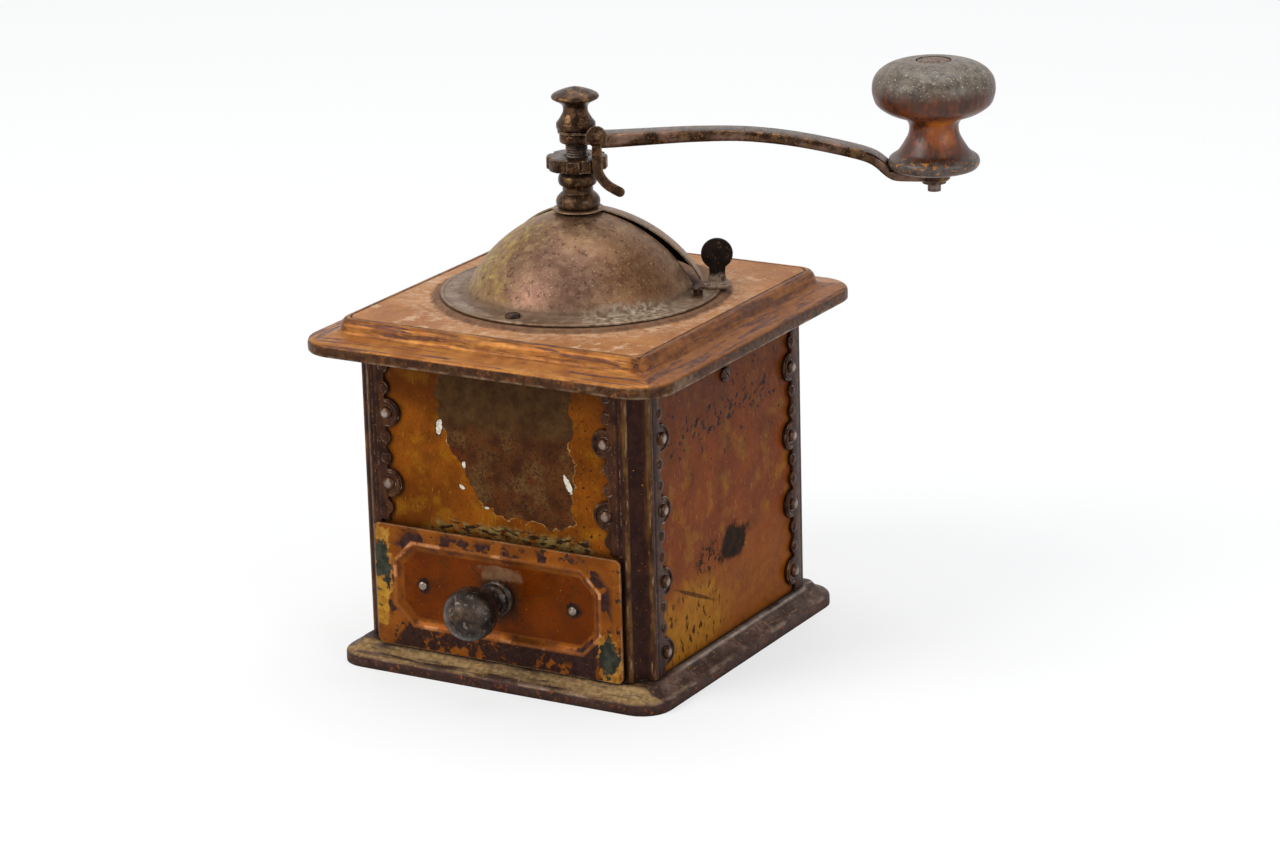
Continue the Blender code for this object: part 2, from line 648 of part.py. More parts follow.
def make_dome_fixings():
    """The screws through dome, lid and bowl, one of them standing proud as the door's stop."""
    nut_top = BOWL_TOP_Z - BOWL_SHEET - GAP
    nut_low = nut_top - SCREW_NUT_HEIGHT
    for name, place in screw_places().items():
        head_low = DOME_FLANGE_Z + GAP
        if name == "right":
            head_low += STOP_SCREW_LIFT
        tail = nut_low - SCREW_TAIL
        profile = [
            (0, tail), (SCREW_RADIUS, tail), (SCREW_RADIUS, head_low), (SCREW_HEAD_RADIUS, head_low),
            (SCREW_HEAD_RADIUS, head_low + SCREW_HEAD / 3), (SCREW_HEAD_RADIUS * 2 / 3, head_low + SCREW_HEAD * 4 / 5),
            (0, head_low + SCREW_HEAD),
        ]
        screw = turned(profile, 12)
        bmesh.ops.translate(screw, verts=screw.verts, vec=(*place, 0))
        add_piece(f"dome_screw_{name}", screw, IRON)
        nut = rod(SCREW_NUT_RADIUS, nut_low, nut_top, place, 6)
        nut_piece = add_piece(f"dome_nut_{name}", nut, IRON)
        cut(nut_piece, rod(SCREW_RADIUS + GAP, nut_low - CUT_OVERRUN, nut_top + CUT_OVERRUN, place, 12))


def make_hopper_bowl():
    profile = [
        (BOWL_FLANGE_RADIUS, BOWL_TOP_Z), (BOWL_TOP_RADIUS, BOWL_TOP_Z), (BOWL_FLOOR_RADIUS, BOWL_FLOOR_Z),
        (BOWL_THROAT_RADIUS, BOWL_FLOOR_Z), (BOWL_THROAT_RADIUS, BOWL_FLOOR_Z - BOWL_SHEET),
        (BOWL_FLOOR_RADIUS + BOWL_SHEET, BOWL_FLOOR_Z - BOWL_SHEET),
        (BOWL_TOP_RADIUS + BOWL_SHEET, BOWL_TOP_Z - BOWL_SHEET), (BOWL_FLANGE_RADIUS, BOWL_TOP_Z - BOWL_SHEET),
    ]
    bowl = add_piece("hopper_bowl", turned_ring(profile, 28), IRON)
    cut_screw_holes(bowl, BOWL_TOP_Z - BOWL_SHEET, BOWL_TOP_Z)
    cut_bridge_holes(bowl, BOWL_FLOOR_Z - BOWL_SHEET, BOWL_FLOOR_Z)


# Neck bearing: a turned iron bush that stands on the upper bridge and shows above the dome
SPINDLE_RADIUS = 0.0035
NECK_SPIGOT_RADIUS = 0.0050
NECK_HOLE_RADIUS = NECK_SPIGOT_RADIUS + GAP
NECK_FOOT_RADIUS = 0.0074
NECK_FOOT_HEIGHT = 0.0054
NECK_WAIST_RADIUS = 0.0051
NECK_WAIST_HEIGHT = 0.0022
NECK_HEAD_RADIUS = 0.0065
NECK_HEAD_HEIGHT = 0.0053
BULB_SHARES = ((0.88, 0.0), (0.97, 0.14), (1.0, 0.34), (0.94, 0.62), (0.8, 0.86))

# Door: turns round the neck, outside the fixed shell
DOOR_SHEET = 0.0008
DOOR_SPREAD = 0.0027
DOOR_EYE_SHEET = 0.0006
DOOR_EYE_RADIUS = 0.0086
DOOR_FOOT_LIFT = 0.0020
DOOR_EDGE = math.radians(25)
DOOR_SWEEP = math.radians(138)
DOME_EYE_Z = dome_curve(DOME_RADIUS, DOME_RISE, DOME_FLANGE_Z, NECK_HOLE_RADIUS)[-1][1]
DOOR_EYE_Z = DOME_EYE_Z + GAP
DOOR_FOOT_Z = DOME_FLANGE_Z + DOOR_FOOT_LIFT
NECK_Z = DOOR_EYE_Z + DOOR_EYE_SHEET + GAP
NECK_WAIST_Z = NECK_Z + NECK_FOOT_HEIGHT
NECK_HEAD_Z = NECK_WAIST_Z + NECK_WAIST_HEIGHT
NECK_TOP_Z = NECK_HEAD_Z + NECK_HEAD_HEIGHT

# Upper bridge: a bar across the hopper that holds the neck
UPPER_BAR_DROP = 0.0200
UPPER_BAR_THICKNESS = 0.0020
UPPER_BAR_WIDTH = 0.0090
UPPER_BAR_INSET = 0.0075
UPPER_FOOT_LENGTH = 0.0040
UPPER_BAR_SPAN = DOME_RADIUS - UPPER_BAR_INSET
UPPER_FOOT_SPAN = UPPER_BAR_SPAN + UPPER_FOOT_LENGTH
UPPER_BAR_TOP_Z = NECK_Z - UPPER_BAR_DROP


def bulb(radius, height, low_z):
    """Points of a turned bulb."""
    return [(radius * across, low_z + height * up) for across, up in BULB_SHARES]


def make_neck_bearing():
    bore = SPINDLE_RADIUS + GAP
    foot_z = UPPER_BAR_TOP_Z + GAP
    profile = [(bore, foot_z), (NECK_SPIGOT_RADIUS, foot_z), (NECK_SPIGOT_RADIUS, NECK_Z)]
    profile += bulb(NECK_FOOT_RADIUS, NECK_FOOT_HEIGHT, NECK_Z)
    profile += [(NECK_WAIST_RADIUS, NECK_WAIST_Z), (NECK_WAIST_RADIUS, NECK_HEAD_Z)]
    profile += bulb(NECK_HEAD_RADIUS, NECK_HEAD_HEIGHT, NECK_HEAD_Z)
    profile += [(NECK_HEAD_RADIUS * BULB_SHARES[-1][0], NECK_TOP_Z), (bore, NECK_TOP_Z)]
    add_piece("neck_bearing", turned_ring(profile, 20), IRON)


def make_upper_bridge():
    """Flat bar with a leg and a foot at each end; its feet stand on the lid inside the dome."""
    half = UPPER_BAR_WIDTH / 2
    low = UPPER_BAR_TOP_Z - UPPER_BAR_THICKNESS
    foot_z = SEAT_Z + GAP
    bar = block((-UPPER_BAR_SPAN, -half, low), (UPPER_BAR_SPAN, half, UPPER_BAR_TOP_Z))
    bridge = add_piece("upper_bridge", bar, IRON)
    lap = GAP
    for sign in (UNIT, -UNIT):
        leg = block((UPPER_BAR_SPAN - UPPER_BAR_THICKNESS, -half + lap, foot_z),
                    (UPPER_BAR_SPAN - lap, half - lap, UPPER_BAR_TOP_Z - lap))
        fuse(bridge, to_corner(leg, sign, UNIT))
        foot = block((UPPER_BAR_SPAN - UPPER_BAR_THICKNESS + lap, -half + 2 * lap, foot_z - lap / 2),
                     (UPPER_FOOT_SPAN, half - 2 * lap, foot_z + UPPER_BAR_THICKNESS * 3 / 4))
        fuse(bridge, to_corner(foot, sign, UNIT))
    cut(bridge, rod(SPINDLE_RADIUS + GAP, low - CUT_OVERRUN, UPPER_BAR_TOP_Z + CUT_OVERRUN))


# Thumb bracket of the door
THUMB_RADIUS = 0.00535
THUMB_SHEET = 0.0012
THUMB_STAND_OFF = 0.0060
THUMB_RISE = 0.0100
THUMB_STEM = 0.0056
THUMB_FOOT_LENGTH = 0.0072
THUMB_FOOT_DEPTH = 0.0091
THUMB_FOOT_STAND_OFF = 0.0015
THUMB_CIRCLE_RADIUS = DOME_RADIUS + THUMB_STAND_OFF
THUMB_FOOT_INNER = DOME_RADIUS + THUMB_FOOT_STAND_OFF
THUMB_FOOT_OUTER = THUMB_FOOT_INNER + THUMB_FOOT_DEPTH
THUMB_FOOT_SHEET = 0.0008
THUMB_SET_BACK = math.radians(4)


def make_door():
    """The turning shell: a spherical sector, with an eye at its top that sits round the neck."""
    inner_radius = DOME_RADIUS + DOOR_SPREAD
    eye_share = (NECK_HOLE_RADIUS / inner_radius) ** DOME_ROUNDNESS
    inner_rise = (DOOR_EYE_Z - DOME_CENTRE_Z) / (1 - eye_share) ** (1 / DOME_ROUNDNESS)
    inner = dome_curve(inner_radius, inner_rise, DOOR_FOOT_Z, DOOR_EYE_RADIUS * 2 / 3, 7)
    outer = dome_curve(inner_radius + DOOR_SHEET, inner_rise + DOOR_EYE_SHEET * 5 / 6, DOOR_FOOT_Z,
                       DOOR_EYE_RADIUS * 2 / 3, 7)
    shell = turned_sector(outer + list(reversed(inner)), DOOR_EDGE, DOOR_SWEEP, 14)
    door = add_piece("door_shell", shell, DOME_BRONZE)
    eye_top = DOOR_EYE_Z + DOOR_EYE_SHEET
    eye = turned_ring([(NECK_HOLE_RADIUS, DOOR_EYE_Z), (DOOR_EYE_RADIUS, DOOR_EYE_Z),
                       (DOOR_EYE_RADIUS, eye_top), (NECK_HOLE_RADIUS, eye_top)], 20)
    fuse(door, eye)


def thumb_outline(steps=14):
    """Outline of the thumb plate in (radius, height) over its foot: a disc on a short stem."""
    centre_z = THUMB_RISE
    reach = math.acos(-(THUMB_STEM / 2) / THUMB_RADIUS) - math.radians(90)
    points = []
    for step in range(steps + 1):
        angle = -math.radians(90) + reach + (math.tau - 2 * reach) * step / steps
        points.append((THUMB_CIRCLE_RADIUS + THUMB_RADIUS * math.cos(angle),
                       centre_z + THUMB_RADIUS * math.sin(angle)))
    points += [(THUMB_CIRCLE_RADIUS - THUMB_STEM / 2, 0), (THUMB_CIRCLE_RADIUS + THUMB_STEM / 2, 0)]
    return points


def make_door_thumb():
    """Folded bracket at the door's leading edge: an upright round plate on a flat foot."""
    azimuth = DOOR_EDGE + THUMB_SET_BACK
    foot_z = DOME_FLANGE_Z + GAP
    upright = plate(thumb_outline(), -THUMB_SHEET, 0)
    thumb_shape = stood_up(upright, azimuth, (0, 0, foot_z))
    thumb = add_piece("door_thumb", thumb_shape, DOME_BRONZE)
    lap = GAP
    foot = block((THUMB_FOOT_INNER, -THUMB_FOOT_LENGTH, foot_z - lap / 2),
                 (THUMB_FOOT_OUTER, THUMB_SHEET - lap, foot_z + THUMB_FOOT_SHEET))
    fuse(thumb, turned_about_z(foot, azimuth))


# Burr ring: cast iron, hangs under the bowl's floor, with teeth in its bore
RING_FLANGE_RADIUS = 0.0270
RING_FLANGE_HEIGHT = 0.0030
RING_BODY_RADIUS = 0.0200
RING_HEIGHT = 0.0197
RING_TOP_BORE = 0.0176
RING_LOW_BORE = 0.0163
RING_TOOTH_DEPTH = 0.0009
RING_TEETH = 20
RING_TOP_Z = BOWL_FLOOR_Z - BOWL_SHEET - GAP
RING_LOW_Z = RING_TOP_Z - RING_HEIGHT
BRIDGE_SCREW_X = 0.0238
BRIDGE_SCREW_RADIUS = 0.0015
BRIDGE_SCREW_HEAD_RADIUS = 0.0027
BRIDGE_SCREW_HEAD = 0.0018
BRIDGE_SCREW_GRIP = 0.0080
TOOTH_SHARES = ((0.0, 0.0), (0.8, 1.0))


def toothed_ring(radius, depth, count, height, twist=0.0, sign=UNIT):
    """A circle of saw teeth; the teeth stand out by sign times their depth."""
    points = []
    for tooth in range(count):
        for along, out in TOOTH_SHARES:
            angle = (tooth + along) / count * math.tau + twist
            points.append((*polar(radius + sign * depth * out, angle), height))
    return points


def plain_ring(radius, count, height, twist=0.0):
    """A circle whose points lie at the angles of a toothed ring's points."""
    return toothed_ring(radius, 0, count, height, twist)


def cut_bridge_holes(piece, low, high):
    holes = [rod(BRIDGE_SCREW_RADIUS + GAP, low - CUT_OVERRUN, high + CUT_OVERRUN,
                 (sign * BRIDGE_SCREW_X, 0), 12) for sign in (UNIT, -UNIT)]
    cut(piece, merged(*holes))


def make_burr_ring():
    flange_z = RING_TOP_Z - RING_FLANGE_HEIGHT
    rings = [
        plain_ring(RING_BODY_RADIUS, RING_TEETH, RING_LOW_Z),
        plain_ring(RING_BODY_RADIUS, RING_TEETH, flange_z),
        plain_ring(RING_FLANGE_RADIUS, RING_TEETH, flange_z),
        plain_ring(RING_FLANGE_RADIUS, RING_TEETH, RING_TOP_Z),
        toothed_ring(RING_TOP_BORE, RING_TOOTH_DEPTH, RING_TEETH, RING_TOP_Z),
        toothed_ring(RING_LOW_BORE, RING_TOOTH_DEPTH, RING_TEETH, RING_LOW_Z),
    ]
    ring = add_piece("burr_ring", loft(rings, close=True), IRON)
    cut_bridge_holes(ring, flange_z, RING_TOP_Z)


# Lower bridge: a bar under the burrs with the spindle's lower bearing, hung by two long screws
BRIDGE_BAR_THICKNESS = 0.0040
BRIDGE_BAR_WIDTH = 0.0100
BRIDGE_LEG_THICKNESS = 0.0060
BRIDGE_BOSS_RADIUS = 0.0070
BRIDGE_BOSS_HEIGHT = 0.0045
BRIDGE_CLEARANCE = 0.0140
BRIDGE_BAR_TOP_Z = RING_LOW_Z - BRIDGE_CLEARANCE
BRIDGE_BAR_LOW_Z = BRIDGE_BAR_TOP_Z - BRIDGE_BAR_THICKNESS
BRIDGE_BOSS_TOP_Z = BRIDGE_BAR_LOW_Z + BRIDGE_BOSS_HEIGHT
JOURNAL_RADIUS = 0.0030


def make_burr_bridge():
    half = BRIDGE_BAR_WIDTH / 2
    inner_x = BRIDGE_SCREW_X - BRIDGE_LEG_THICKNESS / 2
    outer_x = BRIDGE_SCREW_X + BRIDGE_LEG_THICKNESS / 2
    leg_top = RING_TOP_Z - RING_FLANGE_HEIGHT - GAP
    bar = block((-outer_x, -half, BRIDGE_BAR_LOW_Z), (outer_x, half, BRIDGE_BAR_TOP_Z))
    bridge = add_piece("burr_bridge", bar, IRON)
    lap = GAP
    legs = []
    screw_holes = []
    for sign in (UNIT, -UNIT):
        leg = block((inner_x, -half + lap, BRIDGE_BAR_LOW_Z + lap), (outer_x - lap, half - lap, leg_top))
        legs.append(to_corner(leg, sign, UNIT))
        screw_holes.append(rod(BRIDGE_SCREW_RADIUS + GAP, leg_top - BRIDGE_SCREW_GRIP - CUT_OVERRUN,
                               leg_top + CUT_OVERRUN, (sign * BRIDGE_SCREW_X, 0), 12))
    fuse(bridge, merged(*legs))
    fuse(bridge, rod(BRIDGE_BOSS_RADIUS, BRIDGE_BAR_LOW_Z + lap, BRIDGE_BOSS_TOP_Z, segments=20))
    cut(bridge, merged(*screw_holes))
    cut(bridge, rod(JOURNAL_RADIUS + GAP, BRIDGE_BAR_LOW_Z - CUT_OVERRUN, BRIDGE_BOSS_TOP_Z + CUT_OVERRUN))


def make_bridge_screws():
    head_low = BOWL_FLOOR_Z + GAP
    tip = RING_TOP_Z - RING_FLANGE_HEIGHT - GAP - BRIDGE_SCREW_GRIP
    head_high = head_low + BRIDGE_SCREW_HEAD
    profile = [
        (0, tip), (BRIDGE_SCREW_RADIUS, tip), (BRIDGE_SCREW_RADIUS, head_low), (BRIDGE_SCREW_HEAD_RADIUS, head_low),
        (BRIDGE_SCREW_HEAD_RADIUS, head_low + BRIDGE_SCREW_HEAD / 2), (BRIDGE_SCREW_HEAD_RADIUS * 2 / 3, head_high),
        (0, head_high),
    ]
    for name, sign in (("right", UNIT), ("left", -UNIT)):
        screw = turned(profile, 12)
        bmesh.ops.translate(screw, verts=screw.verts, vec=(sign * BRIDGE_SCREW_X, 0, 0))
        add_piece(f"bridge_screw_{name}", screw, IRON)


# Inner burr, its nut, the thrust spring and washer round the spindle's lower end
BURR_HEIGHT = 0.0185
BURR_RUN_OUT = 0.0006
BURR_TOP_RADIUS = 0.0095
BURR_LOW_RADIUS = 0.0146
BURR_TOOTH_DEPTH = 0.0010
BURR_TEETH = 16
BURR_TWIST = math.radians(26)
BURR_NUT_RADIUS = 0.0062
BURR_NUT_HEIGHT = 0.0032
WASHER_RADIUS = 0.0068
WASHER_HEIGHT = 0.0008
SPRING_WIRE_RADIUS = 0.00045
SPRING_RADIUS = 0.0052
SPRING_TURNS = 4
SPRING_TURN_POINTS = 10
BURR_LOW_Z = RING_LOW_Z + BURR_RUN_OUT
BURR_TOP_Z = BURR_LOW_Z + BURR_HEIGHT
BURR_NUT_LOW_Z = BURR_LOW_Z - GAP - BURR_NUT_HEIGHT
WASHER_TOP_Z = BURR_NUT_LOW_Z - GAP
SPRING_TOP_Z = WASHER_TOP_Z - WASHER_HEIGHT - GAP
SPRING_FOOT_Z = BRIDGE_BOSS_TOP_Z + GAP


def make_inner_burr():
    bore = SPINDLE_RADIUS + GAP
    rings = [
        plain_ring(bore, BURR_TEETH, BURR_LOW_Z),
        toothed_ring(BURR_LOW_RADIUS, BURR_TOOTH_DEPTH, BURR_TEETH, BURR_LOW_Z),
        toothed_ring(BURR_LOW_RADIUS, BURR_TOOTH_DEPTH, BURR_TEETH, BURR_LOW_Z + BURR_HEIGHT / 5, BURR_TWIST / 5),
        toothed_ring(BURR_TOP_RADIUS, BURR_TOOTH_DEPTH, BURR_TEETH, BURR_TOP_Z, BURR_TWIST),
        plain_ring(bore, BURR_TEETH, BURR_TOP_Z, BURR_TWIST),
    ]
    add_piece("inner_burr", loft(rings, close=True), IRON, (0, 0, BURR_LOW_Z))


def make_burr_nut():
    nut = add_piece("burr_nut", rod(BURR_NUT_RADIUS, BURR_NUT_LOW_Z, BURR_LOW_Z - GAP, segments=6), IRON,
                    (0, 0, BURR_NUT_LOW_Z))
    cut(nut, rod(SPINDLE_RADIUS + GAP, BURR_NUT_LOW_Z - CUT_OVERRUN, BURR_LOW_Z + CUT_OVERRUN))


def make_spring_washer():
    profile = [(SPINDLE_RADIUS + GAP, WASHER_TOP_Z - WASHER_HEIGHT), (WASHER_RADIUS, WASHER_TOP_Z - WASHER_HEIGHT),
               (WASHER_RADIUS, WASHER_TOP_Z), (SPINDLE_RADIUS + GAP, WASHER_TOP_Z)]
    add_piece("spring_washer", turned_ring(profile, 20), BARE_STEEL)


def make_thrust_spring():
    """Round wire in one unbroken helix between the bridge's boss and the washer."""
    low = SPRING_FOOT_Z + SPRING_WIRE_RADIUS
    high = SPRING_TOP_Z - SPRING_WIRE_RADIUS
    count = SPRING_TURNS * SPRING_TURN_POINTS
    curve = bpy.data.curves.new("thrust_spring", "CURVE")
    curve.dimensions = "3D"
    curve.bevel_depth = SPRING_WIRE_RADIUS
    curve.bevel_resolution = 1
    curve.use_fill_caps = True
    curve.render_resolution_u = 0
    line = curve.splines.new("POLY")
    line.points.add(count)
    for index in range(count + 1):
        angle = index / SPRING_TURN_POINTS * math.tau
        height = low + (high - low) * index / count
        line.points[index].co = (*polar(SPRING_RADIUS, angle), height, UNIT)
    spring = bpy.data.objects.new("thrust_spring", curve)
    spring.data.materials.append(finish_material("thrust_spring", BARE_STEEL))
    bpy.context.scene.collection.objects.link(spring)
    least_gap = (high - low) / SPRING_TURNS - 2 * SPRING_WIRE_RADIUS
    print(f"thrust_spring: least gap between turns {least_gap * 1000:.2f} mm")


# Spindle, adjusting nut, crank, pawl and finial, from the neck upwards
THREAD_RADIUS = 0.0038
THREAD_DEPTH = 0.0004
THREAD_PITCH = 0.00085
THREAD_TURNS_SHOWN = 5
STUD_RADIUS = 0.0028
STUD_RISE = 0.0062
NUT_RADIUS = 0.0102
NUT_HEIGHT = 0.0043
NUT_ROUND = 0.0006
NUT_NOTCHES = 8
NUT_NOTCH_RADIUS = 0.0019
NUT_NOTCH_SINK = 0.0004
ARM_EYE_RADIUS = 0.0056
ARM_EYE_HEIGHT = 0.0031
PAWL_SHEET = 0.0009
NUT_LOW_Z = NECK_TOP_Z + GAP
NUT_TOP_Z = NUT_LOW_Z + NUT_HEIGHT
SHOULDER_Z = NUT_TOP_Z + THREAD_PITCH * THREAD_TURNS_SHOWN
ARM_EYE_LOW_Z = SHOULDER_Z + GAP
ARM_EYE_TOP_Z = ARM_EYE_LOW_Z + ARM_EYE_HEIGHT
PAWL_RING_LOW_Z = ARM_EYE_TOP_Z + GAP
PAWL_RING_TOP_Z = PAWL_RING_LOW_Z + PAWL_SHEET
FINIAL_LOW_Z = PAWL_RING_TOP_Z + GAP
SPINDLE_LOW_Z = BRIDGE_BAR_LOW_Z - GAP


def make_spindle():
    """Turned steel: journal, plain shaft, thread under the nut and crank, stud for the finial."""
    collar_z = SPRING_FOOT_Z + SPRING_WIRE_RADIUS
    thread_low = NECK_TOP_Z + GAP / 2
    root = THREAD_RADIUS - THREAD_DEPTH
    profile = [(0, SPINDLE_LOW_Z), (JOURNAL_RADIUS, SPINDLE_LOW_Z), (JOURNAL_RADIUS, collar_z),
               (SPINDLE_RADIUS, collar_z), (SPINDLE_RADIUS, thread_low), (THREAD_RADIUS, thread_low),
               (THREAD_RADIUS, NUT_TOP_Z)]
    for turn in range(THREAD_TURNS_SHOWN):
        profile.append((root, NUT_TOP_Z + THREAD_PITCH * (turn + 1 / 2)))
        profile.append((THREAD_RADIUS, NUT_TOP_Z + THREAD_PITCH * (turn + 1)))
    profile += [(STUD_RADIUS, SHOULDER_Z), (STUD_RADIUS, FINIAL_LOW_Z + STUD_RISE), (0, FINIAL_LOW_Z + STUD_RISE)]
    add_piece("spindle", turned(profile, 16), BARE_STEEL, (0, 0, SPINDLE_LOW_Z))


def notched_ring(radius, height):
    """The adjusting nut's edge: round lobes with a round notch between each pair."""
    points = []
    pitch = math.tau / NUT_NOTCHES
    notch_centre = radius + NUT_NOTCH_SINK
    half_notch = math.asin(NUT_NOTCH_RADIUS / radius)
    for index in range(NUT_NOTCHES):
        start = index * pitch
        for step in range(4):
            angle = start + half_notch + (pitch - 2 * half_notch) * step / 3
            points.append((*polar(radius, angle), height))
        notch = start + pitch
        for step in (1, 2, 3):
            turn = math.radians(180) * step / 4
            along = NUT_NOTCH_RADIUS * math.cos(turn)
            inward = NUT_NOTCH_RADIUS * math.sin(turn)
            points.append((*polar(notch_centre - inward, notch - along / radius), height))
    return points


def make_adjusting_nut():
    outline = notched_ring(NUT_RADIUS, NUT_LOW_Z)
    bore = THREAD_RADIUS + GAP
    rings = [
        [(*polar(bore, math.atan2(y, x)), NUT_LOW_Z) for x, y, _ in outline],
        outline,
        notched_ring(NUT_RADIUS, NUT_TOP_Z - NUT_ROUND),
        notched_ring(NUT_RADIUS - NUT_ROUND, NUT_TOP_Z),
        [(*polar(bore, math.atan2(y, x)), NUT_TOP_Z) for x, y, _ in outline],
    ]
    add_piece("adjusting_nut", loft(rings, close=True), IRON, (0, 0, NUT_LOW_Z))


# Crank arm: a forged bar, level at the hub and drooping to the knob
CRANK_RADIUS = 0.1184
ARM_DROP = 0.0118
ARM_WIDTH = 0.0092
ARM_THICKNESS = 0.0038
ARM_END_THICKNESS = 0.0033
ARM_CORNER_SHARE = 0.3
ARM_END_RADIUS = 0.0053
PIN_RADIUS = 0.0022
ARM_LINE_SHARES = (
    (0.0344, 0.0), (0.0973, 0.0), (0.1947, -0.045), (0.3389, -0.115), (0.426, -0.136), (0.497, -0.14),
    (0.5725, -0.115), (0.6573, -0.045), (0.7351, 0.055), (0.8153, 0.19), (0.8702, 0.297), (0.9206, 0.41),
    (0.9527, 0.52), (0.9767, 0.665), (0.9962, 0.826), (1.108, 0.945), (1.274, 0.995), (1.882, 1.0),
)
ARM_CENTRE_Z = (ARM_EYE_LOW_Z + ARM_EYE_TOP_Z) / 2
ARM_END_Z = ARM_CENTRE_Z - ARM_DROP
ARM_END_TOP_Z = ARM_END_Z + ARM_END_THICKNESS / 2
ARM_END_LOW_Z = ARM_END_Z - ARM_END_THICKNESS / 2


def arm_section(along, height, slope, width, thickness):
    """One section of the bar, square to its line: a rectangle with cut corners."""
    half_width = width / 2
    half_thick = thickness / 2
    corner = ARM_CORNER_SHARE * thickness
    flat = [
        (half_width, half_thick - corner), (half_width - corner, half_thick),
        (-half_width + corner, half_thick), (-half_width, half_thick - corner),
        (-half_width, -half_thick + corner), (-half_width + corner, -half_thick),
        (half_width - corner, -half_thick), (half_width, -half_thick + corner),
    ]
    return [(along - up * math.sin(slope), across, height + up * math.cos(slope)) for across, up in flat]


def make_crank_arm():
    reach = CRANK_RADIUS - KNOB_FOOT_RADIUS
    line = []
    for share, drop in ARM_LINE_SHARES:
        along = reach * min(share, UNIT) + KNOB_FOOT_RADIUS * max(share - UNIT, 0)
        line.append((along, ARM_CENTRE_Z - drop * ARM_DROP))
    sections = []
    for index, (along, height) in enumerate(line):
        before = line[max(index - 1, 0)]
        after = line[min(index + 1, len(line) - 1)]
        slope = math.atan2(after[1] - before[1], after[0] - before[0])
        share = along / CRANK_RADIUS
        thickness = ARM_THICKNESS + (ARM_END_THICKNESS - ARM_THICKNESS) * share
        sections.append(arm_section(along, height, slope, ARM_WIDTH, thickness))
    arm = add_piece("crank_arm", turned_about_z(loft(sections), CRANK_AZIMUTH), IRON, (0, 0, ARM_EYE_LOW_Z))
    end = polar(CRANK_RADIUS, CRANK_AZIMUTH)
    clear_hub = rod(ARM_WIDTH, ARM_EYE_TOP_Z, ARM_EYE_TOP_Z + CUT_OVERRUN, segments=24)
    cut(arm, merged(clear_hub, rod(ARM_WIDTH, ARM_EYE_LOW_Z - CUT_OVERRUN, ARM_EYE_LOW_Z, segments=24)))
    fuse(arm, rod(ARM_EYE_RADIUS, ARM_EYE_LOW_Z + GAP / 10, ARM_EYE_TOP_Z - GAP / 10, segments=24))
    fuse(arm, rod(ARM_END_RADIUS, ARM_END_LOW_Z, ARM_END_TOP_Z, end, 24))
    clear_end = rod(KNOB_FOOT_RADIUS + GAP, ARM_END_TOP_Z, ARM_END_TOP_Z + ARM_DROP / 2, end, 32)
    cut(arm, clear_end)
    cut(arm, rod(STUD_RADIUS + GAP, ARM_EYE_LOW_Z - CUT_OVERRUN, ARM_EYE_TOP_Z + CUT_OVERRUN))
    cut(arm, rod(PIN_RADIUS + GAP, ARM_END_LOW_Z - CUT_OVERRUN, ARM_END_TOP_Z + CUT_OVERRUN, end))


# Pawl: a sheet ring under the finial, and a finger that hangs beside the adjusting nut
PAWL_RING_RADIUS = 0.0062
PAWL_AZIMUTH = math.radians(30)
PAWL_FACING = PAWL_AZIMUTH - math.radians(90)
PAWL_OFFSET = 0.0068
PAWL_HEAD_RADIUS = 0.0035
PAWL_WIDTH = 0.0033
PAWL_TONGUE_WIDTH = 0.0050
PAWL_HANG = 0.0190
PAWL_SWEEP = 0.0072
PAWL_LINE_SHARES = ((0.0, 0.1), (0.0, 0.5), (0.05, 0.64), (0.22, 0.77), (0.52, 0.89), (1.0, 1.0))
PAWL_FACE = math.sqrt((NUT_RADIUS + GAP) ** 2 - (PAWL_OFFSET - PAWL_WIDTH / 2) ** 2)
PAWL_HINGE_Z = (PAWL_RING_LOW_Z + PAWL_RING_TOP_Z) / 2


def pawl_place(across, out):
    """A point beside the spindle: across in the finger's plane, out towards the side that the pawl faces."""
    along_x, along_y = polar(across, PAWL_AZIMUTH)
    out_x, out_y = polar(out, PAWL_FACING)
    return along_x + out_x, along_y + out_y


def finger_outline():
    """Outline of the finger in its own plane: a strip with an even width and a round tip."""
    line = [Vector((PAWL_OFFSET + across * PAWL_SWEEP, -down * PAWL_HANG)) for across, down in PAWL_LINE_SHARES]
    left = []
    right = []
    for index, point in enumerate(line):
        ahead = (line[min(index + 1, len(line) - 1)] - line[max(index - 1, 0)]).normalized()
        side = Vector((-ahead.y, ahead.x)) * PAWL_WIDTH / 2
        left.append(point + side)
        right.append(point - side)
    end = line[-1]
    heading = (line[-1] - line[-2]).normalized()
    tip = []
    for step in range(1, 5):
        turn = math.radians(180) * step / 5
        radial = Vector((-heading.y, heading.x)) * math.cos(turn) + heading * math.sin(turn)
        tip.append(end + radial * PAWL_WIDTH / 2)
    return left + tip + list(reversed(right))


